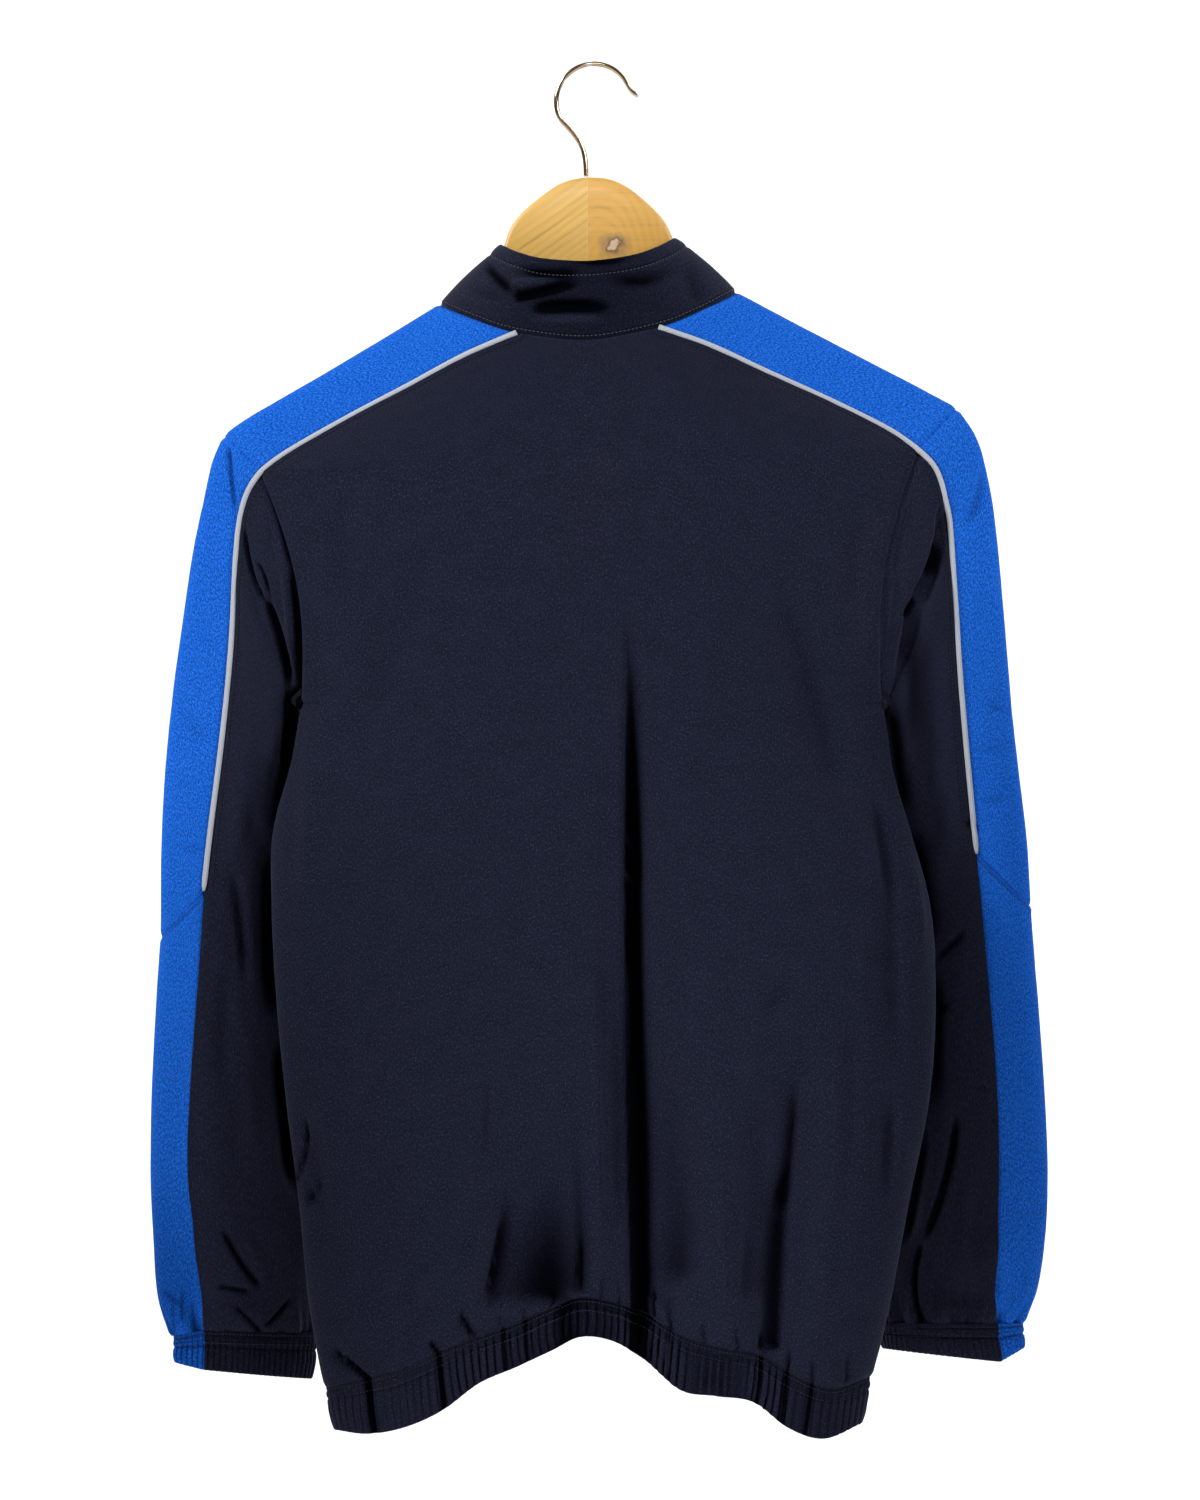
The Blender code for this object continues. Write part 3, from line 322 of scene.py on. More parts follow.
# Hook wire between the wood and the loop, then the straightened tip.
HOOK_STEM = ((4.9, -69.0), (5.2, -60.0), (6.6, -52.5), (9.4, -46.8), (13.4, -41.6), (17.6, -37.0))
HOOK_TIP = ((-22.9, -15.3), (-26.9, -18.4))
LOOP_START, LOOP_END, LOOP_STEPS = math.radians(-30), math.radians(152), 18


# ---------------------------------------------------------------- fine cloth: sizes

CREASE_COLUMNS = "x0 z0 x1 z1 x2 z2 left right depth rise_share fall_share"
CREASE_STEPS = 33
CREASE_FLANK = 0.55  # how much a crease's flanks rise beside it
PAINTED_SHADE_POWER = 1.6  # the shade in a valley is narrower than the valley
FACE_CHANGE = 2.5  # how quickly back creases give way to front creases as cloth turns round the side

BROAD_WAVE, BROAD_SIZE, BROAD_STRETCH = 1.2 * MM, 85 * MM, (1.0, 1.0, 0.45)  # longest down the cloth
MIDDLE_WAVE, MIDDLE_SIZE = 0.22 * MM, 26 * MM
FINE_WAVE, FINE_SIZE = 0.06 * MM, 9 * MM
SHOULDER_WAVES = 0.8
# Creases fade out this close to a side seam, the zip, and the collar's top edge;
# and to a sleeve's underarm seam, its armhole, and the upper seam of a stripe.
EDGE_CALM, ZIP_CALM, COLLAR_CALM = 16 * MM, 12 * MM, 10 * MM
SLEEVE_CALM, ARMHOLE_CALM, STRIPE_CALM = 9 * MM, 6 * MM, 5 * MM
LINE_STEP = 0.4 * MM
SEAM_DIP, SEAM_DIP_WIDTH = 1.1 * MM, 1.9 * MM
ARMHOLE_DIP, ARMHOLE_DIP_WIDTH = 2.2 * MM, 4 * MM
CASING_DIP, CASING_DIP_WIDTH = 0.9 * MM, 1.3 * MM
NECK_DIP = 1.6 * MM
PUCKER, PUCKER_SIZE, PUCKER_START, PUCKER_REACH = 0.22 * MM, 6.5 * MM, 2 * MM, 9 * MM
TURNED_SHARE = 0.8
FRONT_TURN, HEM_TURN, CUFF_TURN = 1.4 * MM, 1.5 * MM, 1.4 * MM  # radius of a folded edge
PIPED_ROW = 1.98  # body row from which the edge is piped
PIPED_END = 0.985  # share of the border where the stitches beside the piping end
NOT_STITCHED = 1.0  # distance from a stitch line where there is none
ZIP_EDGE_REACH = 0.05  # share of the half front that moves with the edge beside the zip
UNDERARM_WINDOW = (-520 * MM, -250 * MM)  # heights between which the underarm's step is spread out
UNDERARM_STEP, UNDERARM_FADE = 1 * MM, 30 * MM
UNDERARM_SPREAD, UNDERARM_REACH = 20 * MM, 24 * MM
ARMPIT_SHIFT = {1: 3.4 * MM, -1: 6.5 * MM}
ARMPIT_RISE, ARMPIT_END, ARMPIT_FADE = 0.7, 6.0, 3.5  # stations
SEAM_CORD, SEAM_CORD_STEP, SEAM_CORD_SUNK = 2.0 * MM, 2.0 * MM, 1.8 * MM

# Painted shade, as the depth of a valley that would hold as much; {1: left, -1: right} where the sides
# differ.
UNDERARM_SHADE, UNDERARM_SHADE_REACH = {1: 8.0 * MM, -1: 2.5 * MM}, 8.0 * MM
UNDERARM_SHADE_END, UNDERARM_SHADE_FADE = 10, 6  # stations
UNDERARM_CORNER = {1: (9 * MM, 6 * MM), -1: (2 * MM, 5 * MM)}  # how dark, how far
CORNER_STATION = 0.12
COLLAR_SHADE, COLLAR_SHADE_REACH = 6.0 * MM, 2.4
STRIPE_SHADE = {1: 5.0 * MM, -1: 1.5 * MM}  # towards the cuff
STRIPE_SHADE_START, STRIPE_SHADE_FADE = 9, 4  # stations

BACK_ROWS, BACK_COLUMNS = 271, 285
FRONT_ROWS, FRONT_COLUMNS = 221, 115
SHOULDER_ROWS, SHOULDER_COLUMNS = 71, 51
SLEEVE_ROWS, SLEEVE_COLUMNS_FINE = 225, 73
STRIPE_COLUMNS = 57
COLLAR_COLUMNS, COLLAR_LINES = 321, 43
HEM_BACK_COLUMNS, HEM_FRONT_COLUMNS, HEM_ROWS = 561, 281, 31
CUFF_COLUMNS, CUFF_ROWS = 380, 29
SIDE_CROWD, PIPING_CROWD = 0.86, 0.2  # how much closer columns lie at the side seam, and above it
# Where rows or columns lie closer: place, reach, how much closer.
BODY_SPOTS = ((0.0, 0.03, 3.0), (1.0, 0.04, 1.0), (1.5, 0.5, 0.9), (2.0, 0.04, 1.0))
CASING_SPOTS = ((0.0, 0.03, 2.0), (1.0, 0.05, 4.0))
COLLAR_SPOTS, COLLAR_LINE_SPOTS = ((0, 3, 0.4),), ((0.0, 0.05, 2.0), (0.8, 0.05, 2.0), (1.0, 0.05, 4.0))
SLEEVE_SPOTS = ((0, 0.3, 2.0), (1, 1.6, 0.8), (14, 0.5, 3.0), (12.5, 1.0, 0.8))
STRIPE_SPOTS = ((0, 0.3, 2.0), (8, 0.2, 2.0), (14, 0.5, 3.0))
# Pieces of a sleeve's stripe: first and last station, rows, flat size, flat area.
STRIPES = {
    "upper": (0, DIAGONAL_STATION, 131, (0.118, 0.32), 0.0238),
    "lower": (DIAGONAL_STATION, CUFF_STATION, 101, (0.118, 0.28), 0.021),
}
# Points inside the body, the left shoulder, the left sleeve and the hem, and one behind the zip's tapes.
BODY_MIDDLE, SHOULDER_MIDDLE = np.array((0, 0, -0.5)), np.array((0.15, 0, -0.4))
SLEEVE_MIDDLE, HEM_MIDDLE = np.array((0.225, -0.03, -0.55)), np.array((0, 0, -0.83))
TAPE_BEHIND = np.array((0, 0.2, -0.5))

GATHER_DRIFT = ((14 * MM, 1.3), (31 * MM, 2.0))  # over what length gathers wander, and how far (radians)
GATHER_VALLEY, GATHER_LEVEL = 0.42, 0.25
GATHER_LEAN, GATHER_LEAN_SIZE, GATHER_LEAN_REACH = 2.2, 24 * MM, 20 * MM
GATHER_LEAST, GATHER_CHANGE, GATHER_CHANGE_SIZE = 0.75, 0.35, 5 * MM
# Painted shade in the gathers' valleys, as a multiple of their depth.
HEM_GATHER_SHADE, CUFF_GATHER_SHADE, SLEEVE_GATHER_SHADE = 4.0, 2.5, 1.5

HEM_DEPTH, HEM_PITCH = 30 * MM, 5.2 * MM
HEM_FINE_GATHER, HEM_FINE_PITCH = PUCKER * 1.2, HEM_PITCH * 0.55
HEM_SEED, HEM_FINE_SEED = 11, 23
HEM_GATHER_LEAST = 0.25  # share of their height that the gathers have at the upper stitches
HEM_GATHER_RISE = 7 * MM  # the gathers reach their full height this far below the upper stitches
HEM_SLACK, HEM_SLACK_PART = 0.35, 0.3  # how much lower they are at the folded edge, over what share
HEM_FOLD_LOSS, HEM_CREASE_LOSS = 0.35, 0.6  # how much of the body's folds and creases ends in the hem
HEM_CROWD = {1: 0.25, -1: 0.12}  # how much closer columns lie at the hem's ends
HEM_END_WIDTH = 2 * MM
# Painted shade over the fronts' hems, as the depth of a valley that would hold as much.
HEM_FRONT_SHADE = 3 * MM
HEM_STITCH = (2.0 * MM, 7.6 * MM)  # its two rows of stitches, down from the seam
CUFF_DEPTH, CUFF_PITCH, CUFF_GATHER = 20 * MM, 3.7 * MM, 0.8 * MM
CUFF_STITCH = (2.2 * MM, 7.8 * MM)
CUFF_DRIFT = ((1.2, 3, 1), (0.9, 7, 0))  # how far the cuff's gathers wander, how often round, lag
CUFF_LEAN, CUFF_LEAN_REACH = 0.9, 12 * MM
CUFF_GATHER_RISE, CUFF_GATHER_LEAST = 5 * MM, 0.35
CUFF_LEAST, CUFF_CHANGE, CUFF_CHANGE_SIZE, CUFF_SEED = 0.8, 0.3, 4 * MM, 31
CASING_PUFF = 0.7 * MM
CHANNEL_DEPTH, CHANNEL_WIDTH = 0.7 * MM, 1.0 * MM
SLEEVE_GATHER, CUFF_GATHER_REACH = 1.2 * MM, 0.62  # height, and reach in stations, above the cuff
HEM_GATHERS = table(
    "x height",
    """
    -182 0.59
    -165 0.68
    -142 0.42
    -126 0.51
    -119 1.61
    -101 1.61
    -95 0.51
    -60 0.48
    -54 1.61
    -24 1.61
    -10 0.77
    5 0.85
    30 0.94
    60 1.02
    90 1.27
    105 0.77
    130 0.37
    150 0.48
    175 0.68
    """,
)

# Painted shade along the back hem by x, as the depth of a valley that would hold as much.
HEM_SHADE = table(
    "x depth",
    """
    -190 4.5
    -141 5.5
    -76 5.8
    0 7.4
    60 6
    134 3
    190 2.5
    """,
)
# Painted shade over each cuff, the same way; {1: left, -1: right}.
CUFF_SHADE = {1: 5.6 * MM, -1: 1.0 * MM}

PIPING_STITCH = 6.2 * MM
ZIP_STITCH = 4.0 * MM
COLLAR_STITCH = 9.4 * MM
NECK_STITCH = 2.6 * MM
COLLAR_PUFF, COLLAR_PUFF_REACH = 0.5 * MM, 3.5 * MM
COLLAR_CREASED = 4.5  # the collar's own creases end this many stations from its middle
COLLAR_EDGE_REACH = 0.25
DIAGONAL_STITCH = 2.0 * MM
TOPSTITCH = {"pitch": 2.7 * MM, "length": 1.8 * MM, "radius": 0.24 * MM}
COLLAR_THREAD = {"pitch": 2.6 * MM, "length": 1.7 * MM, "radius": 0.30 * MM}
COVERSTITCH = {"pitch": 2.4 * MM, "length": 1.7 * MM, "radius": 0.27 * MM}
STITCH_SIDES = 5
STITCH_RINGS = ((-1.0, 0.35), (-0.55, 1.0), (0.55, 1.0), (1.0, 0.35))
STITCH_LIFT, STITCH_BOW, STITCH_FLAT = 0.25, 0.5, 1.15  # raised, bowed and flattened, in radii

PIPING_NECK_STEPS, PIPING_SLEEVE_STEPS = 50, 110
PIPING_STEP, PIPING_SMOOTHING = 3 * MM, 3
PIPING_PROUD = 0.8 * MM
PIPING_SHOWN = 1.75 * MM
PIPING_END = (0.96, 0.82, 0.4)  # shares of the radius at the last points
PIPING_INSIDE = ((0.21, 0.0), (0.235, -0.03))  # x, y of the middle of the shoulder and of the sleeve
PIPING_TURN, PIPING_TURN_REACH = -0.2, 0.06  # height below which the sleeve's middle counts
PIPING_CREASED, PIPING_CREASED_REACH = 0.36, 0.06  # share of its length from which it has creases
# Painted shade of a crease: more for a crease narrower than this, up to this many times as much.
NARROW, MOST_NARROW = 18 * MM, 3.0
PAINTED_SHADE_FROM, PAINTED_SHADE_REACH = 1.0 * MM, 10.0 * MM  # depths at which a crease starts to darken and is darkest
VALLEY_SPOTS = ((-0.12, 0.035, 1.2), (0.12, 0.035, 0.5), (-0.6, 0.05, 0.7))

TOOTH_OFFSET, TOOTH_PROUD = 1.1 * MM, 0.2 * MM
ARM_SECTIONS, ARM_SIDES, ARM_POWER = 90, 48, 5.0
TIP_ROUND = 0.55  # in rows of the hanger's table
HALVES_GAP = 0.02 * MM
WOOD_SHARP = math.radians(50)  # edges that turn further than this stay sharp
HOOK_SMOOTHING = 8
WIRE_END = ((0.5, 0.95), (0.9, 0.78), (1.2, 0.5), (1.35, 0.15))  # millimetres on, share of the radius

TEETH = {"pitch": 1.6 * MM, "length": 1.1 * MM, "radius": 0.45 * MM}

# ---------------------------------------------------------------- studio

VIEW_MIDDLE, VIEW_HEIGHT = (-0.00375, -0.4275), 0.9375
CAMERA_DISTANCE, CAMERA_SENSOR = 11.0, 36.0
FLOOR_Z, STAGE_BACK, STAGE_FRONT, STAGE_CURVE, STAGE_HALF, STAGE_TOP = -1.35, -2.2, 6.0, 1.0, 5.0, 4.0
WORLD_COLOUR, WORLD_LIGHT = (1.0, 1.0, 1.0), 0.06
LIGHTS = (
    ("key", (2.1, 1.5, 0.95), (0.0, 0.0, -0.3), (0.6, 1.0), 56.0),
    ("fill", (-1.9, 1.7, 0.6), (0.0, 0.0, -0.38), (0.6, 1.0), 34.0),
    ("front", (0.0, 2.6, 1.6), (0.0, 0.0, -0.4), (0.8, 0.8), 10.0),
    ("wall_left", (1.9, -0.9, 1.4), (0.9, -2.2, -0.4), (1.2, 1.2), 48.0),
    ("wall_right", (-1.9, -0.9, 1.4), (-0.9, -2.2, -0.4), (1.2, 1.2), 48.0),
)
# Snoot on the hanger's head: place, aim, width of the beam, power.
SNOOT = ((0.1, 3.0, 0.5), (0.004, 0.0, -0.066), math.radians(2.1), 38.0)
# Cards: x, y, z of the middle, width, height, colour.
CARDS = (
    (1.1, 5.6, 0.2, 1.2, 2.6, (0.03, 0.028, 0.025)),
    (-1.1, 5.6, 0.2, 1.2, 2.6, (0.05, 0.035, 0.02)),
    (0.74, 0.35, -0.48, 0.46, 0.5, (0.02, 0.02, 0.02)),
    (-0.74, 0.35, -0.48, 0.46, 0.5, (0.02, 0.02, 0.02)),
)
STAGE_WHITE = (0.9, 0.9, 0.9)
SNOOT_BLEND, SNOOT_SIZE = 0.5, 0.02

# ---------------------------------------------------------------- looks

# The hanger's head: where its top is lower (x, reach, depth) and its side wider (z, reach, width).
HEAD_FLAT = {1: (32 * MM, 13 * MM, 2.4 * MM), -1: (36 * MM, 13 * MM, 2.2 * MM)}
HEAD_WIDE = {1: (-108 * MM, 15 * MM, 1.6 * MM), -1: (-110 * MM, 13 * MM, 2.8 * MM)}
KNOT = (-12.5 * MM, -112.5 * MM)  # x, z
# Painted highlights on the hook: their places, how far each reaches, and their colour.
PAINTED_GLINTS = ((3.1 * MM, 1.6 * MM), (19.4 * MM, -8.6 * MM), (-27.2 * MM, -18.2 * MM))  # x, z on the hook
PAINTED_GLINT_RANGE, PAINTED_GLINT_COLOUR = (0.0016, 0.003), (0.93, 0.93, 0.92)

# Knit: each noise as scale, detail, roughness; ranges are spread to 0 to 1; heights in metres.
NAP, NAP_STRETCH, NAP_RANGE, NAP_HEIGHT = (950.0, 3.0, 0.75), (1.0, 0.7, 1.0), (0.42, 0.78), 0.00022
WALES, WALE_STRETCH, WALE_HEIGHT = (1100.0, 1.0, 0.5), (1.0, 0.35, 1.0), 0.00035
CLOUDS, CLOUD_RANGE, CLOUD_SHARE = (60.0, 3.0, 0.55), (0.3, 0.7), 0.05
KNIT_STOPS = ((0.0, 0.35), (0.38, 0.86))  # place in the nap, share of the colour
KNIT_STRENGTH, GROOVE_STRENGTH = 0.8, 0.9
GROOVE_RANGE, GROOVE_DEPTH = (0.0003, 0.0013), 0.0005
# Painted shade along the topstitching's groove: how much of the colour is replaced, and by what share of it.
GROOVE_SHADE, GROOVE_COLOUR = 0.45, 0.25
# In the deepest painted shade: how much of the colour is replaced, by what share of it, and what shine is
# left.
PAINTED_SHADE_SHARE, PAINTED_SHADE_COLOUR, PAINTED_SHADE_SHINE = 0.97, 0.05, 0.02
STRAND_SCALE, RUB_SCALE = 2500.0, 700.0
PIPING_WEAVE_SCALE, PIPING_WEAVE_HEIGHT = 1300.0, 0.0003
PIPING_STRETCH, PIPING_SLANT = (1.0, 1.6, 1.0), (0, 0, 0.6)
PIPING_DARK, PIPING_LIGHT = (0.39, 0.42, 0.48), (0.58, 0.61, 0.66)

# Wood: how its coordinates are stretched for each part of the grain.
GRAIN_BEND, GRAIN_BANDS = (6.0, 6.0, 14.0), (0.35, 1.0, 1.0)
GRAIN_STREAKS, GRAIN_PORES = (14.0, 60.0, 420.0), (90.0, 300.0, 1900.0)
GRAIN_WAVE = {"Scale": 70.0, "Distortion": 2.5, "Detail": 3.0, "Detail Scale": 1.4}
GRAIN_SHARES, GRAIN_STOPS = (0.12, 0.7, 0.15), (0.28, 0.56, 0.80)  # of rings, streaks, bend
PORE_RANGE, PORE_SHARE = (0.66, 0.78), 0.5
GRAIN_HEIGHT = 0.00012
KNOT_SQUEEZE = (0.62, 0.3, 0.82)
KNOT_RAGGED, KNOT_RAGGED_SCALE = 0.006, 190.0
KNOT_RANGE, KNOT_EDGE = (0.0038, 0.0128), (0.0070, 0.0108)
KNOT_COLOURS = (
    (0.0, (0.78, 0.58, 0.38)),
    (0.20, (0.72, 0.52, 0.32)),
    (0.27, (0.22, 0.12, 0.05)),
    (0.40, (0.46, 0.27, 0.10)),
)

# Knits: name, colour, colour of its fibres, sheen, tint of the sheen, shine.
KNITS = {
    "navy": ("navy_knit", (0.0096, 0.0124, 0.0345), (0.050, 0.057, 0.114), 0.08, (0.5, 0.6, 1.0)),
    "blue": ("blue_knit", (0.0155, 0.184, 0.96), (0.062, 0.30, 0.99), 0.0, (0.3, 0.6, 1.0), 0.03),
    "tape": ("zip_tape_weave", (0.0110, 0.0140, 0.0270), (0.026, 0.032, 0.052), 0.05, (0.6, 0.7, 1.0)),
}
THREADS = {
    "navy_thread": (0.016, 0.020, 0.038),
    "collar_thread": (0.060, 0.064, 0.090),
    "hem_thread": (0.018, 0.022, 0.044),
    "blue_thread": (0.016, 0.11, 0.48),
}
# Name, colour, roughness.
PLAIN = {
    "seam": ("seam_allowance", (0.004, 0.005, 0.010), 0.95),
    "teeth": ("zip_coil", (0.014, 0.018, 0.034), 0.4),
}
# Woods: name, light and dark of the grain, its turn and place, whether it arches, knot.
LEFT_LIGHT, LEFT_DARK = (0.83, 0.50, 0.125), (0.44, 0.215, 0.045)
RIGHT_LIGHT, RIGHT_DARK = (0.80, 0.44, 0.092), (0.46, 0.22, 0.042)
WOODS = {
    "wood_left": ("hanger_wood_left", LEFT_LIGHT, LEFT_DARK, math.radians(-35), (0, 0, 0.02), False),
    "wood_right": ("hanger_wood_right", RIGHT_LIGHT, RIGHT_DARK, 0.0, (0.00375, 0, 0.0735), True, KNOT),
}
# Metals: name, colour, roughness, how much rougher where rubbed, colour at a glancing angle.
METALS = {
    # The chrome's golden colour is a painted warm reflection, and its dark colour at a glancing angle a
    # painted dark reflection round its edges.
    "chrome": ("hook_chrome", (0.78, 0.58, 0.38), 0.12, 0.08, (0.10, 0.10, 0.12)),
    "zip_metal": ("zip_metal", (0.58, 0.57, 0.56), 0.22, 0.16),
}

# ---------------------------------------------------------------- creases placed one by one

# Creases of the back, from top to foot: a line through three places, then its reach to the left and right.
BACK_CREASES = table(
    CREASE_COLUMNS,
    """
    -20.6 -308.8 -21.9 -408.8 -21.9 -521.2 2.6 9 3.4 0.5 0.1
    -21.2 -340 -23.1 -558.8 -26.9 -790 4.6 9 13 0.45 0.02
    -13.8 -540 -14.4 -640 -15.6 -740 7 7 3 0.5 0.2
    1.2 -540 -1.2 -640 -3.8 -730.6 3.6 2.6 -3.6 0.3 0.2
    -38.1 -546.2 -43.8 -677.5 -50 -765 18 22 9 0.6 0.1
    8.8 -724.4 7.5 -743.1 8.8 -765 2 2.4 1.8 0.5 0.05
    28.8 -636.9 29.4 -715 33.8 -774.4 24 24 15 0.85 0.03
    33.1 -674.4 33.1 -733.8 35 -771.2 18 20 7.5 0.85 0.05
    53.8 -665 58.8 -732.5 65 -771.2 6 16 6 0.8 0.03
    5 -671.2 6.9 -733.8 8.8 -766.2 14 10 5 0.85 0.03
    53.1 -696.2 59.4 -732.5 67.5 -767.5 2.4 7 3 0.5 0.1
    71.2 -708.8 73.8 -736.9 78.8 -765 6 5 -1.6 0.4 0.2
    68.8 -626.2 67.5 -661.9 73.1 -708.8 2.8 3.2 1.5 0.3 0.5
    77.5 -621.2 78.8 -677.5 86.9 -740 7 7 -0.9 0.5 0.5
    15 -621.2 10.6 -696.2 8.8 -761.9 6 7 2.4 0.5 0.05
    -126.2 -615 -123.1 -665 -117.5 -718.1 7 4 5 0.5 0.15
    -120 -677.5 -115 -746.2 -111.9 -802.5 11 5 8 0.35 0.02
    -132.5 -590 -132.5 -621.2 -127.5 -646.2 5 5 1 0.5 0.4
    -103.8 -640 -100.6 -708.8 -97.5 -771.2 12 12 3.5 0.4 0.1
    -66.2 -621.2 -73.8 -696.2 -80 -765 9 8 -3 0.4 0.2
    -128.8 -558.8 -113.8 -583.8 -92.5 -596.2 9 7 3 0.4 0.4
    -78.8 -699.4 -80.6 -733.8 -82.5 -774.4 4 4 -1.6 0.4 0.2
    -98.8 -708.8 -96.2 -746.2 -94.4 -777.5 5 5 1.4 0.5 0.1
    -60 -677.5 -50 -740 -38.1 -772.5 15 14 4 0.7 0.05
    -147.5 -583.8 -151.2 -652.5 -145 -746.2 7 7 -3 0.3 0.4
    -160 -618.1 -159.4 -636.9 -158.1 -658.8 1.2 1.2 0.4 0.4 0.4
    -143.1 -696.2 -145 -736.9 -142.5 -790 5 5 -1.2 0.4 0.2
    -128.8 -708.8 -130 -752.5 -126.2 -796.2 6 5 1.2 0.5 0.1
    -182.5 -508.8 -186.9 -571.2 -189.4 -640 12 8 4 0.4 0.4
    -185 -627.5 -183.8 -677.5 -178.8 -733.8 9 6 4.4 0.4 0.5
    -167.5 -521.2 -167.5 -558.8 -161.2 -602.5 6 7 -1.6 0.4 0.5
    -196.2 -695 -190 -700 -182.5 -707.5 3 3 0.9 0.4 0.5
    -73.8 -675 -87.5 -670.6 -98.8 -667.5 1.2 1.2 0.35 0.4 0.4
    -113.1 -296.2 -138.1 -393.8 -164.4 -487.5 12 14 5 0.4 0.4
    -66.2 -296.2 -67.5 -383.8 -56.2 -471.2 14 14 -2.6 0.4 0.4
    -38.1 -308.8 -38.1 -396.2 -35 -496.2 9 9 1.6 0.4 0.4
    102.5 -296.2 127.5 -371.2 151.2 -458.8 14 14 3.6 0.4 0.4
    77.5 -521.2 86.9 -583.8 96.2 -646.2 14 14 2.6 0.4 0.4
    170 -371.2 176.2 -458.8 178.8 -540 8 10 -2.4 0.4 0.4
    46.2 -191.2 2.5 -203.8 -44.4 -192.5 12 10 2 0.4 0.4
    172.5 -252.5 156.2 -308.8 148.8 -358.8 9 9 2.2 0.4 0.4
    -173.8 -258.8 -163.8 -308.8 -157.5 -358.8 9 9 2.2 0.4 0.4
    -171.2 -440 -181.2 -490 -189.4 -552.5 7 8 4.4 0.4 0.4
    -194.4 -483.8 -202.5 -521.2 -205 -571.2 5 4 -2 0.4 0.4
    180.6 -653.8 181.2 -677.5 188.1 -702.5 1.6 2.4 3 0.3 0.05
    170 -695 175.6 -705 183.8 -710.6 2.4 1.8 2.6 0.4 0.2
    183.8 -646.2 172.5 -696.2 163.8 -765 7 9 2.2 0.4 0.4
    165.6 -802.5 151.2 -811.2 138.8 -822.5 2.8 2.2 5 0.3 0.02
    104.4 -794.4 100 -799.4 95.6 -805.6 2 2 4 0.4 0.02
    85 -777.5 80 -785 74.4 -793.8 2.2 2.2 4.6 0.35 0.02
    120 -777.5 118.1 -786.9 115 -796.2 2.4 2.4 0.7 0.5 0.3
    110 -758.8 103.8 -778.8 100.6 -795 6 6 -1.1 0.5 0.1
    91.9 -765 86.9 -778.8 82.5 -790 3 3 -1.2 0.5 0.1
    12.5 -747.5 12.5 -756.2 13.1 -766.2 1.4 1.4 2.6 0.5 0.02
    30.6 -765 29.4 -770 27.5 -775 1.4 1.4 2 0.5 0.02
    46.2 -770 44.4 -777.5 42.5 -783.8 1.6 1.6 2 0.5 0.02
    61.2 -775 58.8 -782.5 56.2 -788.8 1.6 1.6 2 0.5 0.02
    -6.2 -751.2 -5.6 -760 -5 -770 1.5 1.5 2.4 0.5 0.02
    -15.6 -753.8 -15.6 -763.8 -15.6 -772.5 1.4 1.4 2.2 0.5 0.02
    -35.6 -761.2 -36.2 -771.2 -37.5 -781.2 1.6 1.6 2.9 0.5 0.02
    -45 -768.8 -46.2 -778.8 -48.1 -788.8 1.6 1.6 2.9 0.5 0.02
    -66.2 -780 -67.5 -788.8 -68.8 -796.9 2 2 2.2 0.5 0.02
    -88.1 -783.8 -88.8 -792.5 -90 -801.2 2 2 2 0.5 0.02
    -106.2 -787.5 -105 -798.8 -103.8 -808.8 1.6 1.6 3.1 0.5 0.02
    -121.9 -797.5 -121.2 -808.8 -120 -819.4 1.8 1.8 3.1 0.5 0.02
    -136.2 -803.8 -136.2 -813.8 -136.2 -823.8 2.2 2.2 2.2 0.5 0.02
    -157.5 -800 -157.5 -810 -157.5 -821.2 2.2 2.2 2 0.5 0.02
    """,
)

# The same for the fronts.
FRONT_CREASES = table(
    CREASE_COLUMNS,
    """
    -66.2 -252.5 -60 -521.2 -57.5 -783.8 5 9 2.6 0.4 0.02
    55.6 -271.2 58.8 -521.2 63.8 -783.8 9 5 2.6 0.4 0.02
    -116.2 -308.8 -136.2 -396.2 -160 -483.8 9 11 1.6 0.4 0.4
    115 -308.8 132.5 -396.2 152.5 -483.8 11 9 1.6 0.4 0.4
    -128.8 -608.8 -123.8 -696.2 -117.5 -796.2 4 6 2.2 0.4 0.02
    126.2 -615 118.8 -702.5 115 -799.4 6 4 2.2 0.4 0.02
    -91.2 -696.2 -93.8 -740 -96.2 -783.8 5 5 -1.4 0.4 0.1
    90 -696.2 92.5 -740 95 -783.8 5 5 -1.4 0.4 0.1
    -178.8 -558.8 -181.2 -621.2 -178.8 -696.2 5 6 1.8 0.4 0.4
    177.5 -571.2 180 -633.8 173.8 -702.5 6 5 1.8 0.4 0.4
    -28.8 -221.2 -41.2 -283.8 -43.8 -358.8 8 8 1 0.4 0.4
    28.8 -221.2 38.8 -283.8 41.2 -358.8 8 8 1 0.4 0.4
    -46.2 -768.8 -46.9 -778.8 -48.1 -788.8 1.8 1.8 1.1 0.5 0.02
    -81.2 -777.5 -82.5 -787.5 -83.1 -797.5 1.8 1.8 1 0.5 0.02
    48.8 -770 47.5 -778.8 46.2 -787.5 1.8 1.8 1 0.5 0.02
    78.8 -777.5 77.5 -785 75 -795 1.8 1.8 1.1 0.5 0.02
    138.8 -802.5 133.8 -810 127.5 -818.8 2 2 1.2 0.5 0.02
    -141.2 -803.8 -137.5 -812.5 -132.5 -822.5 2 2 1.2 0.5 0.02
    """,
)

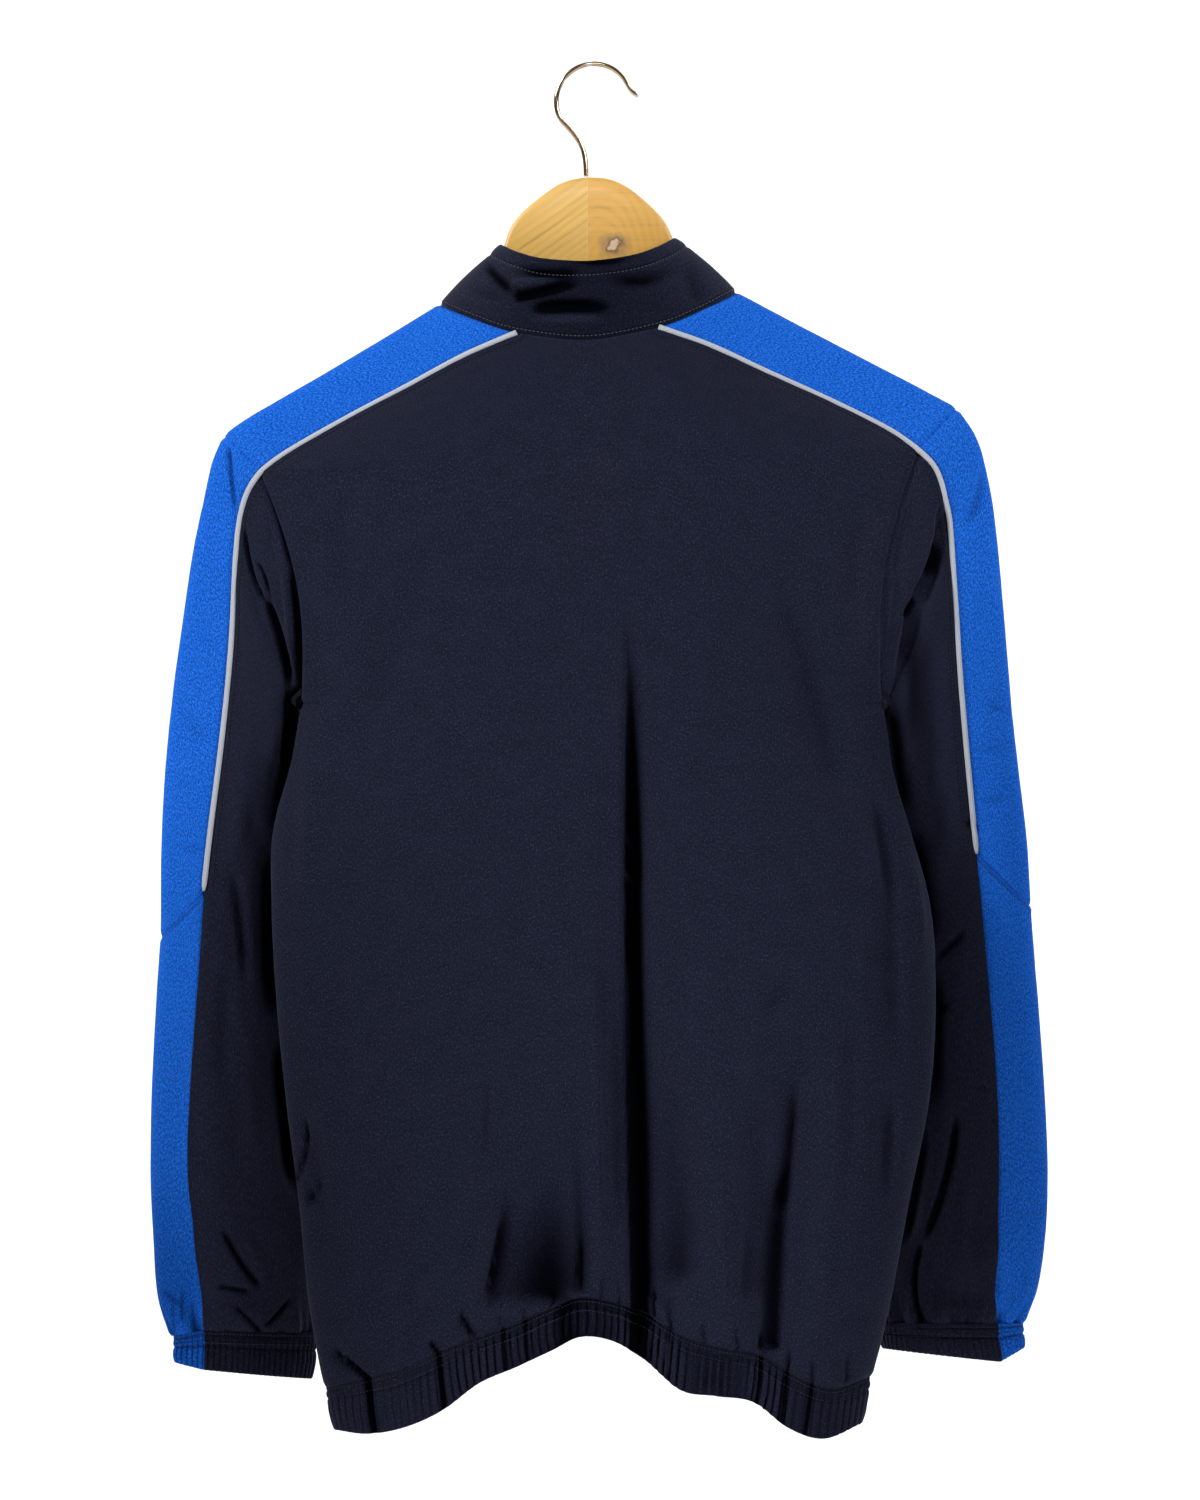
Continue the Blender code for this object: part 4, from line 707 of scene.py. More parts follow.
# The same for the backs of both sleeves; their fronts have the other sleeve's, mirrored.
SLEEVE_CREASES = table(
    CREASE_COLUMNS,
    """
    205 -258.8 194.4 -290 187.5 -322.5 3 1.4 5 0.1 0.3
    218.1 -285 214.4 -313.8 203.8 -337.5 1.4 2 3.8 0.2 0.2
    211.2 -312.5 206.2 -317.5 200.6 -338.8 1.4 1.8 3.2 0.3 0.3
    206.2 -331.2 196.2 -358.8 190 -390 2.6 3.6 6.5 0.2 0.2
    195.6 -303.8 191.2 -336.2 188.8 -368.1 2.6 2.6 -2.2 0.4 0.2
    188.8 -310 184.4 -352.5 182.5 -403.8 3.6 2.4 8 0.2 0.3
    183.8 -381.2 188.8 -433.8 199.4 -496.2 10 4 10 0.2 0.3
    198.1 -477.5 200 -540 195.6 -608.8 11 6 12 0.3 0.3
    195.6 -596.2 191.2 -652.5 185 -715 9 6 10 0.3 0.3
    226.2 -296.2 222.5 -358.8 213.8 -433.8 7 7 1 0.4 0.4
    228.1 -235 226.2 -261.2 223.1 -287.5 1.6 2.4 2.6 0.15 0.4
    216.2 -237.5 211.2 -246.2 207.5 -255 2 2 1.2 0.4 0.4
    215 -396.2 221.2 -458.8 228.8 -521.2 8 8 -2 0.4 0.4
    228.8 -490 221.2 -540 217.5 -590 3 5 3 0.4 0.4
    257.5 -396.2 248.8 -418.1 237.5 -427.5 6 6 1.6 0.4 0.4
    261.2 -483.8 252.5 -490 243.8 -487.5 3 4 1.6 0.4 0.3
    263.8 -433.8 253.8 -443.1 242.5 -446.2 6 6 -1.2 0.4 0.4
    248.8 -333.8 251.2 -396.2 255 -458.8 8 8 0.8 0.4 0.4
    258.8 -558.8 261.2 -621.2 263.8 -683.8 7 7 0.8 0.4 0.4
    230 -552.5 232.5 -608.8 235 -665 8 8 3 0.4 0.4
    212.5 -590 215 -640 212.5 -696.2 7 7 -2.4 0.4 0.4
    235.6 -722.5 223.8 -745 207.5 -766.2 2.2 3 3.8 0.3 0.15
    240 -762.5 227.5 -765 213.8 -766.9 2 2.6 3 0.35 0.2
    228.8 -773.1 218.1 -782.5 208.8 -792.5 1.8 2.2 3 0.3 0.05
    188.1 -768.8 196.2 -778.8 206.2 -788.8 2 2.2 3.4 0.3 0.05
    221.2 -724.4 210 -747.5 202.5 -765 4 4 -1.2 0.4 0.3
    238.8 -772.5 232.5 -782.5 227.5 -792.5 2.4 2.4 -0.9 0.4 0.1
    271.2 -765 265 -770.6 257.5 -776.2 1.4 1.8 1 0.3 0.3
    258.1 -762.5 258.1 -773.8 258.1 -785 1.4 1.6 0.9 0.4 0.05
    263.8 -771.2 263.1 -781.2 261.9 -793.8 1.6 1.6 0.7 0.4 0.05
    251.2 -768.8 251.2 -780 250.6 -792.5 1.6 1.6 0.7 0.4 0.05
    242.5 -777.5 241.9 -785 241.2 -793.8 1.5 1.5 0.8 0.4 0.05
    218.1 -785 217.5 -791.2 216.9 -797.5 1.5 1.5 0.9 0.4 0.05
    193.8 -782.5 195 -791.2 195.6 -800 1.6 1.6 0.9 0.4 0.05
    -213.8 -270 -212.5 -302.5 -196.2 -335.6 2.8 12 4.4 0.25 0.12
    -213.1 -296.2 -211.9 -308.8 -207.5 -321.2 2.4 4 2.6 0.3 0.3
    -201.2 -331.9 -196.9 -338.1 -193.1 -346.2 2 3.6 5 0.3 0.3
    -196.9 -336.2 -193.1 -361.9 -186.9 -390 3 11 4.2 0.15 0.4
    -181.2 -390 -186.2 -433.8 -193.1 -477.5 4 9 7 0.3 0.3
    -194.4 -471.2 -203.8 -508.8 -211.9 -558.8 4 9 7 0.3 0.3
    -212.5 -552.5 -212.5 -608.8 -210 -658.8 4 9 6 0.3 0.3
    -207.5 -652.5 -198.8 -702.5 -190 -746.2 4 8 6 0.3 0.3
    -200.6 -265 -190.6 -296.2 -184.4 -335 2.4 6 1.8 0.3 0.3
    -188.1 -308.8 -183.8 -333.8 -181.2 -358.8 1.6 2 -1.4 0.3 0.3
    -202.5 -358.8 -198.8 -396.2 -200.6 -433.8 7 8 3 0.4 0.4
    -244.4 -396.2 -253.8 -401.2 -262.5 -400 3 3 1.4 0.3 0.4
    -240 -424.4 -250 -427.5 -261.2 -422.5 3.4 3.4 1.4 0.3 0.4
    -241.2 -458.8 -251.2 -458.8 -262.5 -452.5 3.4 3.4 1.6 0.3 0.4
    -243.8 -521.2 -250.6 -530.6 -260 -536.9 3 3 1 0.3 0.4
    -208.8 -340 -207.5 -402.5 -211.2 -483.8 16 12 6.5 0.3 0.4
    -218.8 -268.8 -216.2 -276.2 -212.5 -283.8 1.2 1.4 0.7 0.4 0.4
    -220 -278.8 -216.9 -285.6 -213.8 -291.2 1.2 1.4 0.6 0.4 0.4
    -244.4 -240 -238.8 -271.2 -227.5 -296.2 4 6 2.4 0.3 0.4
    -246.2 -308.8 -243.8 -358.8 -246.2 -408.8 7 7 0.8 0.4 0.4
    -232.5 -471.2 -236.2 -475 -243.8 -480 2 3 2.4 0.3 0.3
    -258.8 -508.8 -260 -571.2 -262.5 -633.8 7 7 0.9 0.4 0.4
    -233.8 -538.8 -223.8 -550 -212.5 -560 2.2 3 3 0.3 0.2
    -238.8 -581.9 -226.2 -587.5 -212.5 -593.1 2.2 3 2.8 0.3 0.2
    -226.9 -649.4 -221.2 -691.2 -205 -737.5 2.8 3.4 5.5 0.3 0.15
    -205.6 -733.8 -200 -760 -204.4 -787.5 2.2 3 4.6 0.2 0.05
    -236.2 -665 -232.5 -715 -227.5 -771.2 5 5 -1.3 0.4 0.3
    -212.5 -747.5 -213.8 -771.2 -215.6 -793.8 1.8 1.8 1.1 0.4 0.05
    -222.5 -752.5 -223.8 -773.8 -225 -795 1.8 1.8 1.1 0.4 0.05
    -230.6 -748.8 -232.5 -771.2 -233.8 -795 1.8 1.8 1 0.4 0.05
    -239.4 -762.5 -241.2 -778.8 -242.5 -795 1.6 1.6 0.9 0.4 0.05
    -189.4 -765 -191.2 -778.8 -192.5 -793.8 1.8 1.8 0.9 0.4 0.05
    -254.4 -743.1 -253.8 -758.8 -253.8 -771.2 1.6 1.6 0.8 0.4 0.3
    -252.5 -753.8 -253.8 -771.2 -255 -787.5 1.2 1.4 0.9 0.4 0.05
    -262.5 -758.8 -262.5 -773.8 -263.1 -787.5 1.6 1.6 0.7 0.4 0.05
    -272.5 -747.5 -268.8 -765 -265 -782.5 1.6 1.6 0.7 0.4 0.05
    -260 -646.2 -263.8 -696.2 -265 -746.2 7 7 0.8 0.4 0.4
    """,
)

# The same for the back of the collar.
COLLAR_CREASES = table(
    CREASE_COLUMNS,
    """
    50 -146.2 32.5 -142.5 5 -135.6 3 5 6.5 0.15 0.4
    53.8 -136.2 36.9 -136.2 15 -132.5 4 3 -2 0.3 0.4
    41.2 -153.1 16.2 -151.2 -15 -152.5 4.4 4.4 6 0.3 0.35
    46.2 -158.8 16.9 -158.8 -13.1 -158.1 2.8 2.8 -2 0.4 0.4
    68.8 -122.5 60 -133.8 46.2 -146.2 3.4 4.4 3.4 0.3 0.4
    52.5 -126.2 27.5 -131.2 5.6 -127.5 4 4 3 0.4 0.4
    78.8 -136.2 67.5 -143.8 53.8 -146.2 3.6 3.6 0.9 0.4 0.3
    -55 -122.5 -62.5 -138.8 -66.2 -156.2 7 7 2.4 0.4 0.4
    -3.8 -128.8 -28.8 -135 -60 -122.5 5 5 2 0.4 0.4
    21.2 -120 -3.8 -123.8 -28.8 -118.8 3 3 1.6 0.4 0.4
    -16.2 -133.8 -28.8 -136.2 -43.8 -136.2 3 3 0.5 0.4 0.4
    86.2 -146.2 80 -150 73.8 -153.8 2.4 2.4 0.7 0.4 0.3
    """,
)


# ---------------------------------------------------------------- small tools


def through(places, values, at):
    """Smooth curve through (places, values), places rising, read at any array of places."""
    slope = np.gradient(values, places)
    at = np.clip(at, places[0], places[-1])
    low = np.clip(np.searchsorted(places, at) - 1, 0, len(places) - 2)
    width = places[low + 1] - places[low]
    u = (at - places[low]) / width
    start = (1 + 2 * u) * (1 - u) ** 2 * values[low] + u * (1 - u) ** 2 * width * slope[low]
    end = u * u * (3 - 2 * u) * values[low + 1] + u * u * (u - 1) * width * slope[low + 1]
    return start + end


def smooth_step(u):
    u = np.clip(u, 0, 1)
    return u * u * (3 - 2 * u)


def blend(a, b, u):
    return a + (b - a) * u


def bell(u):
    """A round bump, 1 at 0 and falling to nothing on both sides."""
    return np.exp(-(u**2))


def stack(x, y, z):
    return np.stack(np.broadcast_arrays(x, y, z), axis=-1)


def hung(x, y, z):
    """A point given from the middle of the neck, turned with the tilted shoulders."""
    return stack(CENTRE_X + x * math.cos(TILT), y, z - x * math.sin(TILT))


def unit(vectors):
    return vectors / np.maximum(np.linalg.norm(vectors, axis=-1, keepdims=True), 1e-9)


def run_along(line):
    """How far along a polyline each of its points lies."""
    return np.concatenate(([0], np.cumsum(np.linalg.norm(np.diff(line, axis=0), axis=1))))


def read_at(places, along, values):
    """Points or directions given at distances along a line, read at other places on it."""
    return np.stack([np.interp(places, along, values[:, k]) for k in range(3)], axis=-1)


def smoothed(line, times):
    """The line with each point but its ends drawn to its neighbours, over and over."""
    for _ in range(times):
        line[1:-1] = (line[:-2] + 2 * line[1:-1] + line[2:]) / 4
    return line


def numbered(grid):
    """The number of every point of a grid."""
    return np.arange(grid.shape[0] * grid.shape[1]).reshape(grid.shape[:2])


def wrapped(index):
    """Point numbers with the first column once more at the end, for a surface that closes round."""
    return np.concatenate((index, index[:, :1]), axis=1)


# ---------------------------------------------------------------- sleeves


def sleeve_table(side):
    return SLEEVE_LEFT if side > 0 else SLEEVE_RIGHT


def stripe_share(side, station):
    """How far round from the outer fold to the underarm seam the stripe's seam lies, 0 to 1."""
    rows = sleeve_table(side)
    places = np.arange(len(rows["depth"]))
    at = {name: through(places, column, station) for name, column in rows.items()}
    to_stripe = np.hypot(at["stripe_x"] - at["outer_x"], at["stripe_z"] - at["outer_z"])
    to_inner = np.hypot(at["inner_x"] - at["stripe_x"], at["inner_z"] - at["stripe_z"])
    return at, to_stripe / (to_stripe + to_inner)


def stripe_angle(side, station):
    return np.arccos(1 - 2 * stripe_share(side, station)[1])


def sleeve_fold(station, angle):
    """Depth of the folds at a place on the sleeve."""
    depth = np.zeros(np.broadcast(station, angle).shape)
    for row in each(SLEEVE_FOLDS):
        first, turn = row["top_station"], math.radians(row["foot_angle"] - row["top_angle"])
        line = np.array(((row["foot_station"] - first) * STATION_LENGTH, turn * SLEEVE_HALF_WIDTH))
        round_way = (angle - math.radians(row["top_angle"])) * SLEEVE_HALF_WIDTH
        here = np.stack(np.broadcast_arrays((station - first) * STATION_LENGTH, round_way))
        u = np.tensordot(line, here, 1) / (line @ line)
        off = (line[0] * here[1] - line[1] * here[0]) / np.linalg.norm(line)
        ends = smooth_step(u / FOLD_FADE + 0.5) * smooth_step((1 - u) / FOLD_FADE + 0.5)
        depth += row["depth"] * ends * bell(off / row["half_width"])
    return depth


def sleeve_point(side, station, angle):
    """A sleeve's cloth: station 0 at the armhole to 14 at the cuff seam.

    Angle 0 is the outer fold, pi the underarm seam, and the back is positive.
    """
    station, angle = np.broadcast_arrays(np.asarray(station, float), np.asarray(angle, float))
    at, share = stripe_share(side, station)
    round_way = (1 - np.cos(angle)) / 2
    on_stripe = round_way <= share
    u = np.where(on_stripe, round_way / share, (round_way - share) / (1 - share))
    bow = ARMHOLE_BOW * np.sin(np.pi * u) * np.clip(1 - station / ARMHOLE_BOW_STATIONS, 0, 1)
    x, z = (
        np.where(
            on_stripe,
            blend(at["outer" + axis], at["stripe" + axis], u),
            blend(at["stripe" + axis], at["inner" + axis], u) - less,
        )
        for axis, less in (("_x", bow), ("_z", 0))
    )
    roundness = np.where(angle > np.pi / 2, BACK_ROUNDNESS, 1.0)
    middle = blend(at["outer_y"], at["inner_y"], round_way)
    y = middle + np.sign(angle) * at["depth"] * np.abs(np.sin(angle)) ** roundness
    point = stack(side * x, y, z)
    centre = stack(side * (at["outer_x"] + at["inner_x"]) / 2, middle, z)
    outward = unit((point - centre) * (1, 1, 0))
    depth = sleeve_fold(station, angle) * smooth_step(station) * smooth_step(CUFF_STATION - station)
    return point + outward * depth[..., None]


# ---------------------------------------------------------------- body


def ring_point(rows, side, station):
    """A point on the neck seam or the collar's top edge."""
    places = np.arange(1 - len(rows["x"]), len(rows["x"]))
    at = {}
    for name, column in rows.items():
        mirrored = -column if name == "x" else column
        both = np.concatenate((mirrored[:0:-1], column))
        at[name] = through(places, both, side * np.asarray(station, float))
    return hung(at["x"], at["y"], at["z"])


def shoulder_line(side, name, share):
    """The ridge, back or front piping line; share 0 at the armhole, 1 at the neck seam."""
    place = np.asarray(share, float) * SHOULDER
    places = np.arange(SHOULDER + 1)
    x, z = SHOULDER_LINES[name + "_x"], SHOULDER_LINES[name + "_z"]
    y = SHOULDER_LINES.get(name + "_y", np.zeros(SHOULDER + 1))
    point = hung(side * through(places, x, place), through(places, y, place), through(places, z, place))
    angle = {"ridge": 0.0, "back": 1.0, "front": -1.0}[name] * stripe_angle(side, 0.0)
    armhole = sleeve_point(side, 0.0, angle)
    station = {"ridge": RIDGE_STATION, "back": 1, "front": 7}[name]
    neck = ring_point(NECK, side, station)
    near_armhole = np.clip(1 - place, 0, 1)[..., None]
    near_neck = np.clip(place - SHOULDER + 1, 0, 1)[..., None]
    first, last = (hung(side * x[end], y[end], z[end]) for end in (0, -1))
    return point + (armhole - first) * near_armhole + (neck - last) * near_neck


def body_edge(side, face, row):
    """Outer edge of a body panel: side seam (rows 0 to 1), armhole (to 2), piping (to 3)."""
    row = np.asarray(row, float)
    seam_z = HEM_LINE["seam"][-1 if side > 0 else 0]
    z = blend(seam_z, BODY_SIDE["z"][-1], np.clip(row, 0, 1))
    x = through(BODY_SIDE["z"], BODY_SIDE["left" if side > 0 else "right"], z)
    y = through(BODY_DEPTH["z"], BODY_DEPTH["side"], z)
    side_seam = stack(side * x, y, z)
    angle = face * blend(np.pi, stripe_angle(side, 0.0), np.clip(row - 1, 0, 1))
    armhole = sleeve_point(side, 0.0, angle)
    piping = shoulder_line(side, "back" if face > 0 else "front", np.clip(row - 2, 0, 1))
    row = row[..., None]
    return np.where(row < 1, side_seam, np.where(row < 2, armhole, piping))


def hem_point(face, across, drop):
    """Hem casing without its gathers: drop 0 on the hem seam, 1 on the lower edge."""
    width = 1 + (HEM_EDGE_WIDTH - 1) * drop
    left, right = body_edge(1, face, 0.0), body_edge(-1, face, 0.0)
    x = blend(right[0], left[0], (1 + across * width) / 2)
    lift = FRONT_HEM_LIFT * (1 - across**2) * (face < 0)
    seam = through(HEM_LINE["across"], HEM_LINE["seam"], across)
    z = blend(seam, through(HEM_LINE["across"], HEM_LINE["edge"], across), drop) + lift
    middle = BODY_DEPTH["back" if face > 0 else "front"][0]
    side_y = BODY_DEPTH["side"][0]
    shape = np.sqrt(np.clip(1 - np.abs(across) ** SECTION_POWER, 0, 1))
    y = side_y + (middle - side_y) * shape * blend(1, HEM_EDGE_DEPTH, drop)
    return stack(x, y, z)


def fold_depth(face, point, across):
    """How far the folds move the body's cloth along Y at each point."""
    rows = BACK_FOLDS if face > 0 else FRONT_FOLDS
    x, z = point[..., 0], point[..., 2]
    total = np.zeros(x.shape)
    for row in each(rows):
        run = np.array((row["foot_x"] - row["top_x"], row["foot_z"] - row["top_z"]))
        u = ((x - row["top_x"]) * run[0] + (z - row["top_z"]) * run[1]) / (run @ run)
        off = ((x - row["top_x"]) * run[1] - (z - row["top_z"]) * run[0]) / np.linalg.norm(run)
        top = smooth_step(u / FOLD_TOP[0] + FOLD_TOP[1])
        foot = blend(smooth_step((1 - u) / FOLD_FOOT[0] + FOLD_FOOT[1]), 1, row["foot"])
        total += row["depth"] * top * foot * bell(off / row["half_width"])
    return total * (1 - np.abs(across) ** 8)


def plain_row(face, row, across):
    """The body between its two edges, before the neck and hem lines bend the first and last rows."""
    right, left = body_edge(-1, face, row), body_edge(1, face, row)
    edge = blend(right, left, ((1 + across) / 2)[..., None])
    level = (left[..., 2] + right[..., 2]) / 2
    middle = through(BODY_DEPTH["z"], BODY_DEPTH["back" if face > 0 else "front"], level)
    round_below, flat_above = SECTION_CHANGE[face]
    flat = smooth_step((level - round_below) / (flat_above - round_below))
    shape = np.clip(1 - np.abs(across) ** SECTION_POWER, 0, 1) ** blend(ROUND_POWER, FLAT_POWER, flat)
    return stack(edge[..., 0], blend(edge[..., 1], middle, shape), edge[..., 2])


def neck_seam(face, across):
    side = np.where(across < 0, -1.0, 1.0)
    station = np.abs(across) if face > 0 else CENTRE_FRONT_STATION - 3 * np.abs(across)
    return ring_point(NECK, side, station)


def body_point(face, row, across, folds=True):
    """Body cloth: rows as in body_edge, across -1 at the right edge to 1 at the left edge."""
    row, across = np.broadcast_arrays(np.asarray(row, float), np.asarray(across, float))
    point = plain_row(face, row, across)
    to_neck = neck_seam(face, across) - plain_row(face, np.full(row.shape, 3.0), across)
    to_hem = hem_point(face, across, 0.0) - plain_row(face, np.zeros(row.shape), across)
    point = point + to_neck * (np.clip((row - NECK_FROM) / (3 - NECK_FROM), 0, 1) ** 2)[..., None]
    point = point + to_hem * (np.clip(1 - row, 0, 1) ** 1.5)[..., None]
    if folds:
        point = point + stack(0, fold_depth(face, point, across), 0)
    return point


def beside_zip(centre, side, distance=ZIP_HALF):
    """Points beside the centre line of the front, at a fixed distance from it."""
    return centre + side * distance * np.array((math.cos(TILT), 0, -math.sin(TILT)))


def collar_middle():
    """A point inside the collar, that its cloth faces away from."""
    return hung(0, -6 * MM, -150 * MM)


def collar_point(side, station, height):
    """Collar cloth: height 0 on the neck seam, 1 on the top edge."""
    low, top = ring_point(NECK, side, station), ring_point(COLLAR_TOP, side, station)
    outward = unit((low - collar_middle()) * (1, 1, 0))
    return blend(low, top, height) + outward * COLLAR_BULGE * np.sin(np.pi * height)


# ---------------------------------------------------------------- fine cloth


def soft_noise(points, size, seed):
    """Smooth irregular height between -1 and 1 over points, with bumps about this size."""
    place = points / size + seed * 17.3
    cell = np.floor(place).astype(np.int64)
    inside = place - cell
    inside = inside * inside * (3 - 2 * inside)
    total = np.zeros(points.shape[:-1])
    for corner in np.ndindex(2, 2, 2):
        at = cell + corner
        mixed = at[..., 0] * 374761393 + at[..., 1] * 668265263 + at[..., 2] * 2147483647
        mixed = (mixed ^ (mixed >> 13)) * 1274126177
        value = ((mixed ^ (mixed >> 16)) & 65535) / 32767.5 - 1
        share = np.where(np.array(corner) == 1, inside, 1 - inside).prod(axis=-1)
        total += value * share
    return total


def crease_height(rows, x, z):
    """Height of the creases over the plane of the back, and how much painted shade each place takes, most in
    deep narrow valleys.
    """
    height, painted_shade = np.zeros(x.shape), np.zeros(x.shape)
    s = np.linspace(0, 1, CREASE_STEPS)[:, None]
    for row in each(rows):
        first, middle, last = (np.array((row[f"x{k}"], row[f"z{k}"])) for k in range(3))
        line = first * (1 - s) * (1 - 2 * s) + middle * 4 * s * (1 - s) + last * s * (2 * s - 1)
        reach = 3 * max(row["left"], row["right"])
        low, high = line.min(axis=0) - reach, line.max(axis=0) + reach
        near = (x > low[0]) & (x < high[0]) & (z > low[1]) & (z < high[1])
        gap_x = x[near][:, None] - line[:, 0]
        gap_z = z[near][:, None] - line[:, 1]
        k = np.argmin(gap_x**2 + gap_z**2, axis=1)
        way = unit(np.gradient(line, axis=0))[k]
        every = np.arange(len(k))
        dx, dz = gap_x[every, k], gap_z[every, k]
        off = way[:, 0] * dz - way[:, 1] * dx
        length = np.linalg.norm(np.diff(line, axis=0), axis=1).sum()
        u = k / (CREASE_STEPS - 1) + (way[:, 0] * dx + way[:, 1] * dz) / length
        ends = smooth_step(u / row["rise_share"]) * smooth_step((1 - u) / row["fall_share"])
        q = off / np.where(off > 0, row["left"], row["right"])
        height[near] -= row["depth"] * ends * (1 - CREASE_FLANK * q * q) * np.exp(-q * q)
        narrow = min(MOST_NARROW, NARROW / (row["left"] + row["right"]))
        painted_shade[near] += row["depth"] * narrow * ends * np.exp(-PAINTED_SHADE_POWER * q * q)
    return height, painted_shade


def slow_waves(points):
    """The gentle unevenness that hanging cloth has everywhere."""
    height = BROAD_WAVE * soft_noise(points * BROAD_STRETCH, BROAD_SIZE, 1)
    height = height + MIDDLE_WAVE * soft_noise(points, MIDDLE_SIZE, 2)
    return height + FINE_WAVE * soft_noise(points, FINE_SIZE, 3)


def relief(points, face, back_rows, front_rows=None, mirrored=False):
    """Height of creases and waves on the cloth, and how much painted shade each place takes, most in deep
    narrow valleys.

    Face is 1 where the cloth faces back, -1 where it faces front, and a share between.
    """
    back = smooth_step(0.5 + FACE_CHANGE * face)
    x, z = points[..., 0], points[..., 2]
    height, painted_shade = crease_height(back_rows, x, z)
    height, painted_shade = height * back, painted_shade * back
    if front_rows is not None:
        front = crease_height(front_rows, -x if mirrored else x, z)
        height, painted_shade = height + front[0] * (1 - back), painted_shade + front[1] * (1 - back)
    return height + slow_waves(points), painted_shade


class Panel:
    """A fine sheet of cloth: its middle surface, and what is laid on it.

    height moves the cloth outwards, hollow is how much painted shade a place takes, and topstitch is how far
    it is from the nearest line of stitches.
    """

    def __init__(self, middle, inside, closed=False, wall=WALL):
        self.middle, self.closed, self.wall = middle, closed, wall
        self.turn = 1.0
        self.turn = np.sign((self.normals(middle) * (middle - inside)).sum())
        self.base = self.normals(middle)
        self.height = np.zeros(middle.shape[:2])
        self.topstitch = np.ones(middle.shape[:2])
        self.painted_shade = np.zeros(middle.shape[:2])
        self.away = {}

    def normals(self, grid):
        if self.closed:
            across = np.roll(grid, -1, axis=1) - np.roll(grid, 1, axis=1)
        else:
            across = np.gradient(grid, axis=1)
        return unit(np.cross(across, np.gradient(grid, axis=0))) * self.turn

    def border(self, edge):
        if edge.endswith("row"):
            return self.middle[0 if edge.startswith("first") else -1]
        return self.middle[:, 0 if edge.startswith("first") else -1]

    def from_line(self, line):
        """Distance of every point from a polyline."""
        fine = resampled(line, LINE_STEP)
        tree = kdtree.KDTree(len(fine))
        for i, point in enumerate(fine):
            tree.insert(point, i)
        tree.balance()
        found = [tree.find(point)[2] for point in self.middle.reshape(-1, 3)]
        return np.array(found).reshape(self.middle.shape[:2])

    def from_edge(self, edge):
        if edge not in self.away:
            self.away[edge] = self.from_line(self.border(edge))
        return self.away[edge]

    def seam(self, *edges, depth=SEAM_DIP, width=SEAM_DIP_WIDTH):
        """Sinks the cloth along borders that are sewn, with small puckers beside them."""
        for edge in edges:
            away = self.from_edge(edge)
            bumps = soft_noise(self.middle, PUCKER_SIZE, 5)
            self.height -= depth * bell(away / width)
            self.height += PUCKER * bumps * bell(away / PUCKER_REACH) * smooth_step(away / PUCKER_START)

    def stitched(self, away):
        """Marks a line of topstitching, given how far each point is from it."""
        self.topstitch = np.where(np.abs(away) < np.abs(self.topstitch), away, self.topstitch)

    def lay(self, creases, share):
        """Adds a share of the creases' height, and all of their painted shade."""
        self.height += creases[0] * share
        self.painted_shade += creases[1]

    def gather(self, height, share):
        """Adds gathers, with painted shade in their valleys in proportion to the height."""
        self.height += height
        self.painted_shade -= share * height

    def paint_shade(self, depth):
        """Adds painted shade, as much as a valley this deep would hold, and leaves the cloth's shape as it
        is.
        """
        self.painted_shade += depth

    def turned_in(self, edge, radius):
        """Rounds a free border over, as a folded edge is."""
        short = np.clip(1 - self.from_edge(edge) / radius, 0, 1)
        self.height -= radius * (1 - np.sqrt(1 - short**2)) * TURNED_SHARE

    def outer(self):
        return self.middle + self.base * (self.height + self.wall / 2)[..., None]

    def line(self, edge, away, first=0.0, last=1.0):
        """Points and outward directions on the cloth along the line this far from a border."""
        distance, outer = self.from_edge(edge), self.outer()
        normal = self.normals(outer)
        if edge.endswith("column"):
            distance, outer, normal = distance.T, outer.swapaxes(0, 1), normal.swapaxes(0, 1)
        if edge.startswith("last"):
            distance, outer, normal = distance[::-1], outer[::-1], normal[::-1]
        count = distance.shape[1]
        j = np.arange(int(first * (count - 1)), int(last * (count - 1)) + 1)
        i = np.argmax(distance[:, j] >= away, axis=0)
        near, far = distance[i - 1, j], distance[i, j]
        u = np.clip((away - near) / np.maximum(far - near, 1e-9), 0, 1)[:, None]
        return blend(outer[i - 1, j], outer[i, j], u), unit(blend(normal[i - 1, j], normal[i, j], u))


def resampled(line, step):
    """Points along a polyline at about this step."""
    line = np.asarray(line, float)
    along = run_along(line)
    count = max(2, int(along[-1] / step) + 1)
    return read_at(np.linspace(0, along[-1], count), along, line)


def graded(count, low, high, spots):
    """Places from low to high that lie closer together near each (place, reach, how much closer)."""
    fine = np.linspace(low, high, 2001)
    density = np.ones(len(fine))
    for place, reach, closer in spots:
        density += closer * bell((fine - place) / reach)
    total = np.concatenate(([0], np.cumsum((density[1:] + density[:-1]) / 2)))
    return np.interp(np.linspace(0, total[-1], count), total, fine)


def add_object(name, vertices, faces, material):
    mesh = bpy.data.meshes.new(name)
    mesh.from_pydata(vertices, [], faces)
    mesh.shade_smooth()
    mesh.materials.append(material)
    obj = bpy.data.objects.new(name, mesh)
    bpy.context.scene.collection.objects.link(obj)
    return obj


def quads(index):
    return np.stack((index[:-1, :-1], index[:-1, 1:], index[1:, 1:], index[1:, :-1]), axis=-1).reshape(-1, 4)


def rim(fine, coarse, forward):
    """Faces that join a fine border to the coarse one behind it."""
    a, b, c = fine[:-2:2], fine[1:-1:2], fine[2::2]
    faces = np.stack((a, b, c, coarse[1:], coarse[:-1]), axis=-1)
    return faces if forward else faces[:, ::-1]


def add_attribute(mesh, name, values, kind="FLOAT"):
    """Stores a value, or with kind FLOAT_VECTOR a place, at every point of a mesh."""
    attribute = mesh.attributes.new(name, kind, "POINT")
    field = "vector" if kind == "FLOAT_VECTOR" else "value"
    attribute.data.foreach_set(field, np.ravel(values).astype(np.float32))


